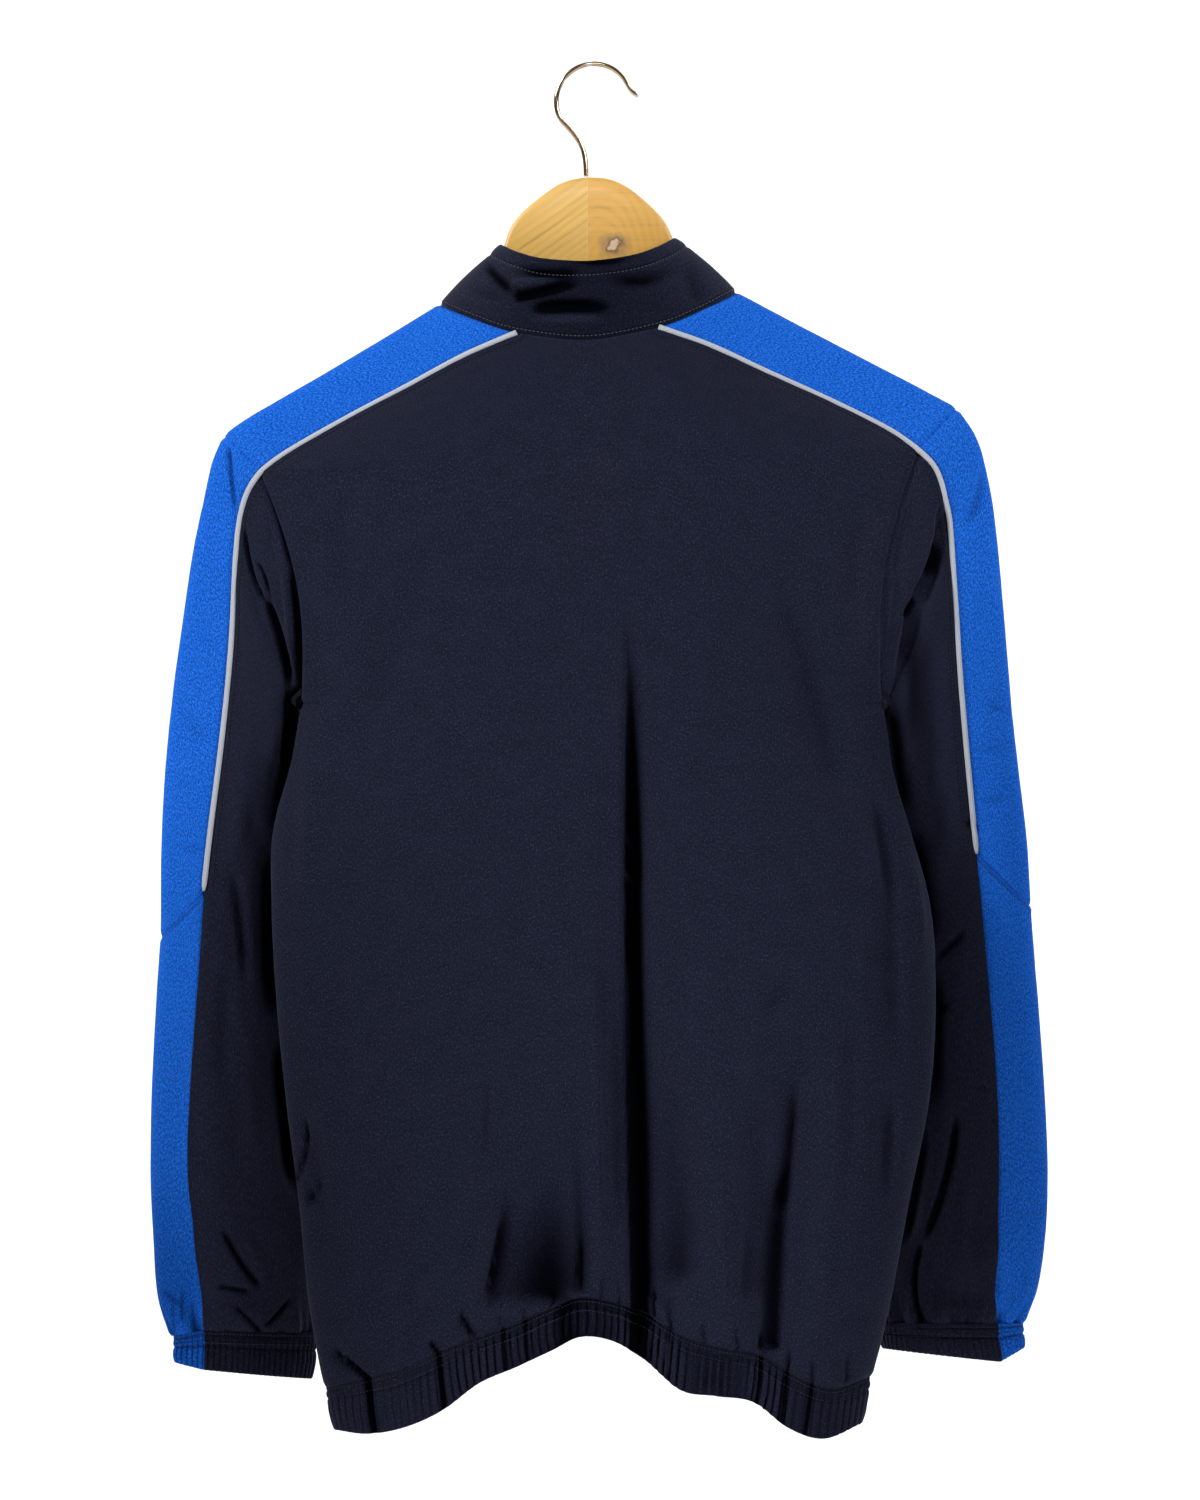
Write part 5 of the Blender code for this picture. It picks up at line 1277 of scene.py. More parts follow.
def along_cloth(grid):
    """Each point's place on the cloth laid flat: along the rows, along the columns."""
    steps = np.linalg.norm(np.diff(grid, axis=1), axis=-1)
    across = np.concatenate((np.zeros((len(grid), 1)), np.cumsum(steps, axis=1)), axis=1)
    across -= across[:, -1:] / 2
    steps = np.linalg.norm(np.diff(grid, axis=0), axis=-1)
    up = np.concatenate((np.zeros((1, grid.shape[1])), np.cumsum(steps, axis=0)))
    return np.stack((across, up, np.zeros(up.shape)), axis=-1)


def both_faces(values):
    """Values at the outer face's points, then at the inner face's, which are every second one."""
    rest = values.shape[2:]
    return np.concatenate((values.reshape(-1, *rest), values[::2, ::2].reshape(-1, *rest)))


def add_panel(name, panel, material, replaced, flat, area=None):
    """The panel as a closed wall: the outer face at full detail, the inner face on every second point."""
    outer = panel.outer()
    inner = (outer - panel.normals(outer) * panel.wall)[::2, ::2]
    inner_count = inner.shape[0] * inner.shape[1]
    index, back = numbered(outer), numbered(inner)
    back = back + index.size
    if panel.closed:
        index, back = wrapped(index), wrapped(back)
    rims = [rim(index[0], back[0], False), rim(index[-1], back[-1], True)]
    if not panel.closed:
        rims += [rim(index[:, 0], back[:, 0], True), rim(index[:, -1], back[:, -1], False)]
    parts = [quads(index), quads(back)[:, ::-1], *rims]
    if panel.turn < 0:
        parts = [part[:, ::-1] for part in parts]
    faces = [row for part in parts for row in part.tolist()]
    points = np.concatenate((outer.reshape(-1, 3), inner.reshape(-1, 3)))
    obj = add_object(name, points, faces, material)
    add_attribute(obj.data, "flat", both_faces(along_cloth(panel.middle)), "FLOAT_VECTOR")
    add_attribute(obj.data, "topstitch", np.concatenate((panel.topstitch.ravel(), np.ones(inner_count))))
    # Painted shade, 0 to 1, for the cloth's material to read.
    add_attribute(obj.data, "painted_shade", both_faces(smooth_step((panel.painted_shade - PAINTED_SHADE_FROM) / PAINTED_SHADE_REACH)))
    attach(obj, "jacket")
    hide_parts(replaced)
    return obj


def stitches(name, lines, material, slot, pitch, length, radius):
    """Rows of short threads that lie on the cloth: each line is (points, outward directions)."""
    ring = np.linspace(0, 2 * np.pi, STITCH_SIDES, endpoint=False)
    vertices, faces = [], []
    for points, normals in lines:
        along = run_along(points)
        centres = np.arange(pitch / 2, along[-1] - pitch / 2, pitch)
        at = read_at(centres, along, points)
        up = unit(read_at(centres, along, normals))
        way = unit(read_at(centres + pitch / 4, along, points) - at)
        for centre, u, w, a in zip(at, up, way, np.cross(up, way)):
            start = len(vertices)
            for share, size in STITCH_RINGS:
                lift = STITCH_LIFT - STITCH_BOW * share * share
                middle = centre + w * share * length / 2 + u * radius * lift
                for angle in ring:
                    aside = a * math.cos(angle) * STITCH_FLAT + u * math.sin(angle)
                    vertices.append(middle + aside * radius * size)
            last = len(vertices) - STITCH_SIDES
            for low in range(start, last, STITCH_SIDES):
                for s in range(STITCH_SIDES):
                    t, high = (s + 1) % STITCH_SIDES, low + STITCH_SIDES
                    faces.append((low + s, low + t, high + t, high + s))
            faces.append(tuple(range(start + STITCH_SIDES - 1, start - 1, -1)))
            faces.append(tuple(range(last, last + STITCH_SIDES)))
    obj = add_object(name, vertices, faces, material)
    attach(obj, "jacket")


def tube(name, line, radius, material, sides):
    """A round cord or wire along a fine line of points; radius may change from point to point."""
    radius = np.broadcast_to(radius, len(line))
    way = unit(np.gradient(line, axis=0))
    side = np.cross(way[0], (0.0, 1.0, 0.0))
    if np.linalg.norm(side) < 0.3:
        side = np.cross(way[0], (1.0, 0.0, 0.0))
    frames = []
    for w in way:
        side = unit(side - w * (side @ w))
        frames.append((side, np.cross(w, side)))
    angles = np.linspace(0, 2 * np.pi, sides, endpoint=False)
    cos, sin = np.cos(angles)[:, None], np.sin(angles)[:, None]
    rings = np.stack([centre + r * (cos * a + sin * b) for centre, r, (a, b) in zip(line, radius, frames)])
    index = numbered(rings)
    faces = quads(wrapped(index)).tolist() + [index[0, ::-1].tolist(), index[-1].tolist()]
    obj = add_object(name, rings.reshape(-1, 3), faces, material)
    around = angles * float(np.max(radius))
    flat = stack(around[None, :], run_along(line)[:, None], 0.0)
    add_attribute(obj.data, "flat", flat, "FLOAT_VECTOR")
    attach(obj, "jacket")
    return obj


# ---------------------------------------------------------------- body


def body_across(row, count, first):
    """Columns of a body panel at one row: close together at the side seam, even beside the piping."""
    place = np.linspace(0, 1, count)
    crowd = blend(SIDE_CROWD, PIPING_CROWD, smooth_step(row - 1))
    if first < 0:
        even = graded(count, -1.0, 1.0, VALLEY_SPOTS)
        return blend(even, -np.cos(math.pi * (even + 1) / 2), crowd)
    return blend(first, 1, blend(place, np.sin(math.pi / 2 * place), crowd))


def body_rows(count):
    return graded(count, 0.0, 3.0, BODY_SPOTS)


def evened(grid):
    """The body's cloth with the step beside each underarm spread out, except along its borders."""
    grid = grid.copy()
    window = np.arange(*UNDERARM_WINDOW, UNDERARM_STEP)
    spread = np.arange(-3 * UNDERARM_SPREAD, 3 * UNDERARM_SPREAD, UNDERARM_STEP)
    kernel = bell(spread / UNDERARM_SPREAD)
    kernel /= kernel.sum()
    inward = np.minimum(*(np.linalg.norm(grid - edge, axis=-1) for edge in (grid[:, :1], grid[:, -1:])))
    above, below = grid[..., 2] - window[0], window[-1] - grid[..., 2]
    ends = smooth_step(above / UNDERARM_FADE) * smooth_step(below / UNDERARM_FADE)
    share = smooth_step(inward / UNDERARM_REACH) * ends
    pad = len(kernel) // 2
    for j in range(1, grid.shape[1] - 1):
        depth = np.interp(window, grid[:, j, 2], grid[:, j, 1])
        smooth = np.convolve(np.pad(depth, pad, mode="edge"), kernel, mode="same")[pad : pad + len(depth)]
        grid[:, j, 1] = blend(grid[:, j, 1], np.interp(grid[:, j, 2], window, smooth), share[:, j])
    return grid


def make_back(materials):
    rows = body_rows(BACK_ROWS)
    across = np.stack([body_across(row, BACK_COLUMNS, -1) for row in rows])
    panel = Panel(evened(body_point(1, rows[:, None], across)), BODY_MIDDLE)
    sides = np.minimum(panel.from_edge("first_column"), panel.from_edge("last_column"))
    face = np.ones(across.shape)
    panel.lay(relief(panel.middle, face, BACK_CREASES), smooth_step(sides / EDGE_CALM))
    panel.seam("first_column", "last_column", "first_row", "last_row")
    panel.paint_shade(underarm_corner(panel.middle, 1) + underarm_corner(panel.middle, -1))
    piped = (rows > PIPED_ROW)[:, None]
    panel.stitched(np.where(piped, sides - PIPING_STITCH, NOT_STITCHED))
    add_panel("back_cloth", panel, materials["navy"], "back_panel", (0.44, 0.70), 0.25)
    first = (rows < 2).sum() / len(rows)
    lines = [panel.line(edge, PIPING_STITCH, first, PIPED_END) for edge in ("first_column", "last_column")]
    stitches("back_piping_topstitch", lines, materials["navy_thread"], "navy_cloth", **TOPSTITCH)


def beside_edge(grid, across, edge):
    """The grid with its first column moved onto an edge line, and the columns near it moved along."""
    near = bell((np.abs(across) - ZIP_ACROSS) / ZIP_EDGE_REACH)[..., None]
    return grid + (edge - grid[:, 0])[:, None] * near


def make_front(materials, side, name):
    rows = body_rows(FRONT_ROWS)
    across = np.stack([body_across(row, FRONT_COLUMNS, ZIP_ACROSS) for row in rows]) * side
    edge = beside_zip(body_point(-1, rows, 0.0, folds=False), side)
    grid = beside_edge(body_point(-1, rows[:, None], across), across, edge)
    panel = Panel(evened(grid), BODY_MIDDLE)
    sides, zip_edge = panel.from_edge("last_column"), panel.from_edge("first_column")
    calm = smooth_step(sides / EDGE_CALM) * smooth_step(zip_edge / ZIP_CALM)
    panel.lay(relief(grid, -np.ones(across.shape), FRONT_CREASES, FRONT_CREASES), calm)
    panel.seam("last_column", "first_row", "last_row")
    panel.turned_in("first_column", FRONT_TURN)
    piped = (rows > PIPED_ROW)[:, None]
    panel.stitched(np.where(piped, sides - PIPING_STITCH, NOT_STITCHED))
    panel.stitched(zip_edge - ZIP_STITCH)
    replaced, flat = "front_panel_" + name, (0.225, 0.70)
    add_panel("front_cloth_" + name, panel, materials["navy"], replaced, flat, 0.122)
    first = (rows < 2).sum() / len(rows)
    lines = [panel.line("last_column", PIPING_STITCH, first, PIPED_END)]
    lines.append(panel.line("first_column", ZIP_STITCH, 0.0, 0.99))
    stitches("front_topstitch_" + name, lines, materials["navy_thread"], "navy_cloth", **TOPSTITCH)


def shoulder_cross(side, share, steps):
    """One line over the shoulder, back piping to front piping."""
    halves = []
    for name, sign in (("back", 1), ("front", -1)):
        ridge, line = shoulder_line(side, "ridge", share), shoulder_line(side, name, share)
        u = (1 - np.cos(steps * STRIPE_ANGLE)) / (1 - math.cos(STRIPE_ANGLE))
        drop = math.hypot(ridge[0] - line[0], ridge[2] - line[2]) * u
        bend = np.sqrt(2 * RIDGE_ROUND * drop)
        depth = RIDGE_SHOULDER * np.tanh(bend / RIDGE_SHOULDER) + RIDGE_SLOPE * drop
        depth += (abs(line[1]) - depth[0]) * u
        halves.append(stack(blend(ridge[0], line[0], u), sign * depth, blend(ridge[2], line[2], u)))
    return np.concatenate((halves[0], halves[1][-2::-1]))


def shoulder_grid(side):
    steps = np.linspace(1, 0, SHOULDER_COLUMNS // 2 + 1)
    shares = np.linspace(0, 1, SHOULDER_ROWS)
    grid = np.stack([shoulder_cross(side, share, steps) for share in shares])
    both = np.concatenate((steps, -steps[-2::-1]))
    armhole = sleeve_point(side, 0.0, stripe_angle(side, 0.0) * both)
    neck = ring_point(NECK, side, RIDGE_STATION - 3 * both)
    near_armhole = np.clip(1 - shares * SHOULDER, 0, 1)[:, None, None]
    near_neck = np.clip((shares - 1) * SHOULDER + 1, 0, 1)[:, None, None]
    return grid + (armhole - grid[0]) * near_armhole + (neck - grid[-1]) * near_neck


def make_shoulder(materials, side, name):
    grid = shoulder_grid(side)
    panel = Panel(grid, SHOULDER_MIDDLE * (side, 1, 1))
    panel.height += slow_waves(grid) * SHOULDER_WAVES
    panel.seam("first_row", "last_row", "first_column", "last_column")
    replaced, flat = "shoulder_panel_" + name, (0.12, 0.185)
    add_panel("shoulder_cloth_" + name, panel, materials["blue"], replaced, flat, 0.0141)


# ---------------------------------------------------------------- gathered casings


def gather_phase(along, pitch, seed):
    """Phase of uneven gathers at places along an elastic."""
    place = stack(along, 0, 0)
    drift = sum(soft_noise(place, size, seed + i) * far for i, (size, far) in enumerate(GATHER_DRIFT))
    return 2 * np.pi * along / pitch + drift


def gather_shape(phase):
    """Round crests with narrow valleys between them, about -1 to 1."""
    return 1 - 2 * bell(np.sin(phase / 2) / GATHER_VALLEY) - GATHER_LEVEL


def casing_height(along, down, strength, pitch, seed):
    """Height of gathered cloth: the gathers slant as they go down, and each differs from the next."""
    lean = soft_noise(stack(along, down, 0), GATHER_LEAN_SIZE, seed + 3) * GATHER_LEAN * down
    shape = gather_shape(gather_phase(along, pitch, seed) + lean / GATHER_LEAN_REACH)
    uneven = soft_noise(stack(along, down * 0.5, 0), GATHER_CHANGE_SIZE, seed + 4)
    return shape * strength * (GATHER_LEAST + GATHER_CHANGE * uneven)


def casing_rows(count, stitch, length):
    """Shares down a casing, closer together near its stitch rows and its folded edge."""
    rows = [(row / length, 0.035, 3.0) for row in stitch]
    return graded(count, 0.0, 1.0, (CASING_SPOTS[0], *rows, CASING_SPOTS[1]))


def channels(down, rows, depth):
    """The grooves that rows of stitches pull into the cloth."""
    return -depth * sum(bell((down - row) / CHANNEL_WIDTH) for row in rows)


def sew_casing(panel, down, stitch, length, turn):
    """A casing's stitch rows, its puffed lower part, the seam above it and the folded edge below."""
    panel.height += channels(down, stitch, CHANNEL_DEPTH)
    for row in stitch:
        panel.stitched(np.broadcast_to(down - row, panel.height.shape))
    lower = np.clip((down - stitch[1]) / (length - stitch[1]), 0, 1)
    panel.height += CASING_PUFF * np.sin(np.pi * lower)
    panel.seam("last_row", depth=CASING_DIP, width=CASING_DIP_WIDTH)
    panel.turned_in("first_row", turn)


def make_hem(materials, face, side, name, new_name):
    count = HEM_BACK_COLUMNS if face > 0 else HEM_FRONT_COLUMNS
    across = np.linspace(-1, 1, count) if face > 0 else np.linspace(ZIP_ACROSS, 1, count) * side
    across = across + HEM_CROWD[face] * np.sin(np.pi * across) / np.pi
    drop = casing_rows(HEM_ROWS, HEM_STITCH, HEM_DEPTH)[::-1]
    grid = hem_point(face, across, drop[:, None])
    grid[..., 1] += fold_depth(face, grid, across) * (1 - HEM_FOLD_LOSS * drop[:, None])
    if face < 0:
        centre = np.stack([hem_point(face, np.array(0.0), d) for d in drop])
        grid = beside_edge(grid, across[None], beside_zip(centre, side))
    panel = Panel(grid, HEM_MIDDLE)
    seam = grid[-1]
    creases = BACK_CREASES if face > 0 else FRONT_CREASES
    level, painted_shade = crease_height(creases, seam[:, 0], seam[:, 2])
    level = level + slow_waves(seam)
    ends = np.minimum(panel.from_edge("first_column"), panel.from_edge("last_column"))
    kept = (1 - HEM_CREASE_LOSS * drop[:, None]) * smooth_step(ends / EDGE_CALM)
    panel.lay((level[None], painted_shade[None]), kept)
    along = run_along(seam)
    down = drop[:, None] * HEM_DEPTH
    strength = through(HEM_GATHERS["x"], HEM_GATHERS["height"], seam[:, 0] * (1 if face > 0 else -1))
    below = smooth_step((down - HEM_STITCH[0]) / HEM_GATHER_RISE)
    low_part = HEM_SLACK_PART * HEM_DEPTH
    slack = 1 - HEM_SLACK * smooth_step((down - (1 - HEM_SLACK_PART) * HEM_DEPTH) / low_part)
    seeds = HEM_SEED + face + side, HEM_FINE_SEED + face + side
    height = casing_height(along[None], down, strength[None], HEM_PITCH, seeds[0])
    fine = casing_height(along[None], down, HEM_FINE_GATHER, HEM_FINE_PITCH, seeds[1])
    height = height * blend(HEM_GATHER_LEAST, 1.0, below) * slack + fine * (1 - 0.5 * below)
    panel.gather(height, HEM_GATHER_SHADE)
    darker = through(HEM_SHADE["x"], HEM_SHADE["depth"], seam[:, 0])[None]
    panel.paint_shade(darker if face > 0 else HEM_FRONT_SHADE)
    sew_casing(panel, down, HEM_STITCH, HEM_DEPTH, HEM_TURN)
    panel.seam(*(("first_column", "last_column") if face > 0 else ("last_column",)), width=HEM_END_WIDTH)
    flat = (0.42 if face > 0 else 0.21, 0.030)
    add_panel(new_name, panel, materials["navy"], name, flat)
    lines = [panel.line("last_row", row, 0.004, 0.996) for row in HEM_STITCH]
    stitches(new_name + "_coverstitch", lines, materials["hem_thread"], "navy_cloth", **COVERSTITCH)


def make_cuff(materials, side, name):
    angles = np.linspace(-math.pi, math.pi, CUFF_COLUMNS, endpoint=False)
    drop = casing_rows(CUFF_ROWS, CUFF_STITCH, CUFF_DEPTH)[::-1]
    grid = sleeve_point(side, (CUFF_STATION + drop)[:, None], angles[None])
    panel = Panel(grid, grid.mean(axis=1, keepdims=True), closed=True)
    ring = grid[-1]
    along = run_along(ring)
    total = along[-1] + np.linalg.norm(ring[0] - ring[-1])
    down = drop[:, None] * CUFF_DEPTH
    drift = sum(far * np.sin(angles * turns + lag * side) for far, turns, lag in CUFF_DRIFT)
    phase = 2 * np.pi * round(total / CUFF_PITCH) * along / total + drift
    lean = CUFF_LEAN * np.sin(angles * 2 + side) * down / CUFF_LEAN_REACH
    uneven = soft_noise(stack(along[None], down * 0.5, 0), CUFF_CHANGE_SIZE, CUFF_SEED + side)
    below = smooth_step((down - CUFF_STITCH[0]) / CUFF_GATHER_RISE)
    gathers = CUFF_GATHER * gather_shape(phase[None] + lean) * (CUFF_LEAST + CUFF_CHANGE * uneven)
    panel.gather(gathers * blend(CUFF_GATHER_LEAST, 1.0, below), CUFF_GATHER_SHADE)
    panel.paint_shade(CUFF_SHADE[side])
    sew_casing(panel, down, CUFF_STITCH, CUFF_DEPTH, CUFF_TURN)
    new_name, flat = "cuff_cloth_" + name, (0.25, 0.023)
    cuff = add_panel(new_name, panel, materials["navy"], "cuff_" + name, flat)
    paint_stripe(cuff, panel, angles, stripe_angle(side, float(CUFF_STATION)), materials["blue"])
    lines = []
    for row in CUFF_STITCH:
        lines.append([np.concatenate((line, line[:1])) for line in panel.line("last_row", row)])
    stitches("cuff_coverstitch_" + name, lines, materials["hem_thread"], "navy_cloth", **COVERSTITCH)


def paint_stripe(cuff, panel, angles, edge, material):
    """The sleeve's stripe runs on into the cuff: those faces take the second material."""
    cuff.data.materials.append(material)
    rows, columns = panel.middle.shape[:2]
    blue = np.abs(angles + np.pi / columns) < edge
    index = np.zeros(len(cuff.data.polygons), np.int32)
    index[: (rows - 1) * columns] = np.tile(blue, rows - 1)
    inner = np.abs(angles[::2] + np.pi / columns) < edge
    start, count = (rows - 1) * columns, ((rows + 1) // 2 - 1) * (columns // 2)
    index[start : start + count] = np.tile(inner, (rows + 1) // 2 - 1)
    index[start + count :] = np.tile(inner, 2)[: len(index) - start - count]
    cuff.data.polygons.foreach_set("material_index", index)


# ---------------------------------------------------------------- collar


def make_collar(materials):
    places = graded(COLLAR_COLUMNS, -CENTRE_FRONT_STATION, CENTRE_FRONT_STATION, COLLAR_SPOTS)
    heights = graded(COLLAR_LINES, 0.0, 1.0, COLLAR_LINE_SPOTS)
    grid = collar_point(np.where(places < 0, -1.0, 1.0), np.abs(places), heights[:, None, None])
    for column, way in ((0, -1), (-1, 1)):
        edge = beside_zip(grid[:, column], way)
        near = bell((places - places[column]) / COLLAR_EDGE_REACH)[None, :, None]
        grid = grid + (edge - grid[:, column])[:, None] * near
    panel = Panel(grid, collar_middle(), wall=COLLAR_WALL)
    back = np.broadcast_to((np.abs(places) < COLLAR_CREASED) * 1.0, grid.shape[:2])
    from_top = panel.from_edge("last_row")
    height, painted_shade = crease_height(COLLAR_CREASES, grid[..., 0], grid[..., 2])
    panel.lay((height, painted_shade * back), back)
    panel.paint_shade(COLLAR_SHADE * bell(places / COLLAR_SHADE_REACH)[None])
    panel.height += slow_waves(grid) * smooth_step(from_top / COLLAR_CALM)
    panel.height += channels(from_top, (COLLAR_STITCH,), CHANNEL_DEPTH)
    panel.height += COLLAR_PUFF * bell((from_top - COLLAR_STITCH / 2) / COLLAR_PUFF_REACH)
    panel.stitched(from_top - COLLAR_STITCH)
    panel.stitched(panel.from_edge("first_row") - NECK_STITCH)
    panel.seam("first_row", depth=NECK_DIP, width=NECK_DIP)
    for edge in ("last_row", "first_column", "last_column"):
        panel.turned_in(edge, COLLAR_WALL / 2)
    add_panel("collar_cloth", panel, materials["navy"], "collar", (0.50, 0.055), 0.0205)
    rows = (("last_row", COLLAR_STITCH), ("first_row", NECK_STITCH))
    lines = [panel.line(edge, away, 0.02, 0.98) for edge, away in rows]
    stitches("collar_topstitch", lines, materials["collar_thread"], "navy_cloth", **COLLAR_THREAD)


# ---------------------------------------------------------------- sleeves


def sleeve_relief(panel):
    """Creases of a sleeve: its own on the back, the other sleeve's mirrored on the front."""
    return relief(panel.middle, panel.base[..., 1], SLEEVE_CREASES, SLEEVE_CREASES, mirrored=True)


def cuff_gathers(stations, angles, side):
    """Folds that the cuff's elastic throws up into the sleeve."""
    near = bell((CUFF_STATION - stations) / CUFF_GATHER_REACH)
    broad = np.sin(angles * 13 + 1.5 * np.sin(angles * 3 + side) + side)
    fine = np.sin(angles * 22 + 2 * np.sin(angles * 5))
    return SLEEVE_GATHER * (broad + 0.6 * fine) * near


def armpit_shift(side, stations, angles):
    """How far the sleeve's inner edge closes up to the body below the underarm."""
    below = smooth_step(stations / ARMPIT_RISE) * smooth_step((ARMPIT_END - stations) / ARMPIT_FADE)
    return ARMPIT_SHIFT[side] * below * (1 - np.cos(angles)) ** 2 / 4


def underarm_corner(grid, side):
    """How much painted shade the cloth takes round the point where sleeve and side seam meet."""
    depth, reach = UNDERARM_CORNER[side]
    away = np.linalg.norm(grid - sleeve_point(side, CORNER_STATION, math.pi), axis=-1)
    return depth * bell(away / reach)


def make_sleeve_half(materials, side, face, name, replaced):
    stations = graded(SLEEVE_ROWS, 0.0, CUFF_STATION, SLEEVE_SPOTS)
    start = stripe_angle(side, stations)[:, None]
    angles = face * blend(start, np.pi, np.linspace(0, 1, SLEEVE_COLUMNS_FINE))
    grid = sleeve_point(side, stations[:, None], angles)
    grid = grid - stack(side * armpit_shift(side, stations[:, None], angles), 0, 0)
    panel = Panel(grid, SLEEVE_MIDDLE * (side, 1, 1))
    beside, inner = panel.from_edge("first_column"), panel.from_edge("last_column")
    calm = smooth_step(inner / SLEEVE_CALM) * smooth_step(panel.from_edge("first_row") / ARMHOLE_CALM)
    panel.lay(sleeve_relief(panel), calm)
    panel.gather(cuff_gathers(stations[:, None], angles, side), SLEEVE_GATHER_SHADE)
    upper = smooth_step((UNDERARM_SHADE_END - stations) / UNDERARM_SHADE_FADE)[:, None]
    panel.paint_shade(UNDERARM_SHADE[side] * bell(inner / UNDERARM_SHADE_REACH) * upper)
    panel.paint_shade(underarm_corner(panel.middle, side))
    panel.seam("first_row", depth=ARMHOLE_DIP, width=ARMHOLE_DIP_WIDTH)
    panel.seam("first_column", "last_column", "last_row")
    piped = (stations < DIAGONAL_STATION)[:, None]
    panel.stitched(np.where(piped, beside - PIPING_STITCH, NOT_STITCHED))
    add_panel(name, panel, materials["navy"], replaced, (0.165, 0.55), 0.037)
    lines = [panel.line("first_column", PIPING_STITCH, 0.01, piped.sum() / len(stations))]
    stitches(name + "_topstitch", lines, materials["navy_thread"], "navy_cloth", **TOPSTITCH)
    return panel


def make_underarm(materials, side, name, halves):
    """The sewn allowances inside the underarm: along the armhole, and down the top of the side seam."""
    inside = [half.middle[0] + half.base[0] * (half.height[0] - SEAM_CORD_SUNK)[:, None] for half in halves]
    around = np.concatenate((inside[0][len(inside[0]) // 2 :], inside[1][: len(inside[1]) // 2 : -1]))
    down = body_point(1, np.linspace(1.0, 0.94, 8), float(side)) - stack(side * SEAM_CORD_SUNK, 0, 0)
    down[0] = blend(inside[0][-1], inside[1][-1], 0.5)
    for part, path in (("armhole_seam_", around), ("side_seam_", down)):
        line = smoothed(resampled(path, SEAM_CORD_STEP), PIPING_SMOOTHING)
        tube(part + name, line, SEAM_CORD, materials["seam"], 12)


def make_stripe(materials, side, part, name):
    """One piece of a sleeve's blue stripe: part upper or lower."""
    first, last, rows, flat, area = STRIPES[part]
    stations = graded(rows, first, last, STRIPE_SPOTS)
    angles = stripe_angle(side, stations)[:, None] * np.linspace(1, -1, STRIPE_COLUMNS)
    grid = sleeve_point(side, stations[:, None], angles)
    panel = Panel(grid, SLEEVE_MIDDLE * (side, 1, 1))
    panel.lay(sleeve_relief(panel), smooth_step(panel.from_edge("first_row") / STRIPE_CALM))
    panel.gather(cuff_gathers(stations[:, None], angles, side), SLEEVE_GATHER_SHADE)
    panel.seam("first_row", "last_row", "first_column", "last_column")
    lower = smooth_step((stations - STRIPE_SHADE_START) / STRIPE_SHADE_FADE)[:, None]
    panel.paint_shade(STRIPE_SHADE[side] * lower)
    if part == "lower":
        panel.stitched(panel.from_edge("first_row") - DIAGONAL_STITCH)
    new_name, replaced = f"{part}_stripe_cloth_{name}", f"sleeve_{part}_stripe_{name}"
    add_panel(new_name, panel, materials["blue"], replaced, flat, area)
    if part == "lower":
        lines = [panel.line("first_row", DIAGONAL_STITCH, 0.02, 0.98)]
        stitches(new_name + "_topstitch", lines, materials["blue_thread"], "blue_cloth", **TOPSTITCH)


def make_piping(materials, side, face, name, replaced):
    """The white cord between blue and navy, neck to elbow."""
    line = "back" if face > 0 else "front"
    neck = shoulder_line(side, line, np.linspace(1, 0, PIPING_NECK_STEPS))
    stations = np.linspace(0, DIAGONAL_STATION, PIPING_SLEEVE_STEPS)[1:]
    sleeve = sleeve_point(side, stations, face * stripe_angle(side, stations))
    path = smoothed(resampled(np.concatenate((neck, sleeve)), PIPING_STEP), PIPING_SMOOTHING)
    below = smooth_step((PIPING_TURN - path[:, 2]) / PIPING_TURN_REACH)
    x, y = (blend(a, b, below) for a, b in zip(*PIPING_INSIDE))
    outward = unit((path - stack(side * x, y, 0)) * (1, 1, 0))
    height, _ = relief(path, outward[:, 1], SLEEVE_CREASES, SLEEVE_CREASES, mirrored=True)
    place = np.arange(len(path)) - len(path) * PIPING_CREASED
    on_sleeve = smooth_step(place / (len(path) * PIPING_CREASED_REACH))
    path = path + outward * (height * on_sleeve + PIPING_PROUD)[:, None]
    ends = np.ones(len(path))
    ends[-len(PIPING_END) :] = PIPING_END
    obj = tube(name, path, PIPING_SHOWN * ends, materials["piping"], 16)
    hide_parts(replaced)


# ---------------------------------------------------------------- zip


def zip_line(distance, side):
    """The zip's path, hem edge to collar top, this far from its centre line."""
    body = body_point(-1, np.linspace(0, 3, 160), 0.0, folds=False)
    top = [collar_point(1, float(CENTRE_FRONT_STATION), height) for height in np.linspace(0, 1, 24)[1:]]
    low = [hem_point(-1, np.array(0.0), drop) for drop in np.linspace(1, 0, 14)[:-1]]
    return beside_zip(np.stack((*low, *body, *top)), side, distance)


def make_tape(materials, side, name):
    distances = np.linspace(TAPE_INNER, TAPE_OUTER, 9)
    grid = np.stack([zip_line(distance, side) for distance in distances], axis=1)
    grid = grid[: grid.shape[0] // 2 * 2 - 1]  # an odd number of rows, for the inner face
    panel = Panel(grid, TAPE_BEHIND, wall=TAPE_WALL)
    new_name, replaced, flat = "zip_tape_cloth_" + name, "zip_tape_" + name, (0.01, 0.61)
    add_panel(new_name, panel, materials["tape"], replaced, flat, 0.0035)


def make_teeth(materials):
    """The coil's interlocked teeth down the centre line."""
    path = zip_line(0.0, 1)[:-3]
    outward = np.cross(unit(np.gradient(path, axis=0)), (1.0, 0.0, 0.0))
    outward *= np.sign(-outward[:, 1:2])
    middle = path + outward * (TAPE_WALL / 2 + TOOTH_PROUD)
    lines = [(middle + side * TOOTH_OFFSET * np.array((1.0, 0, 0)), outward) for side in (-1, 1)]
    stitches("zip_teeth", lines, materials["teeth"], "zip_tape", **TEETH)


# ---------------------------------------------------------------- hanger


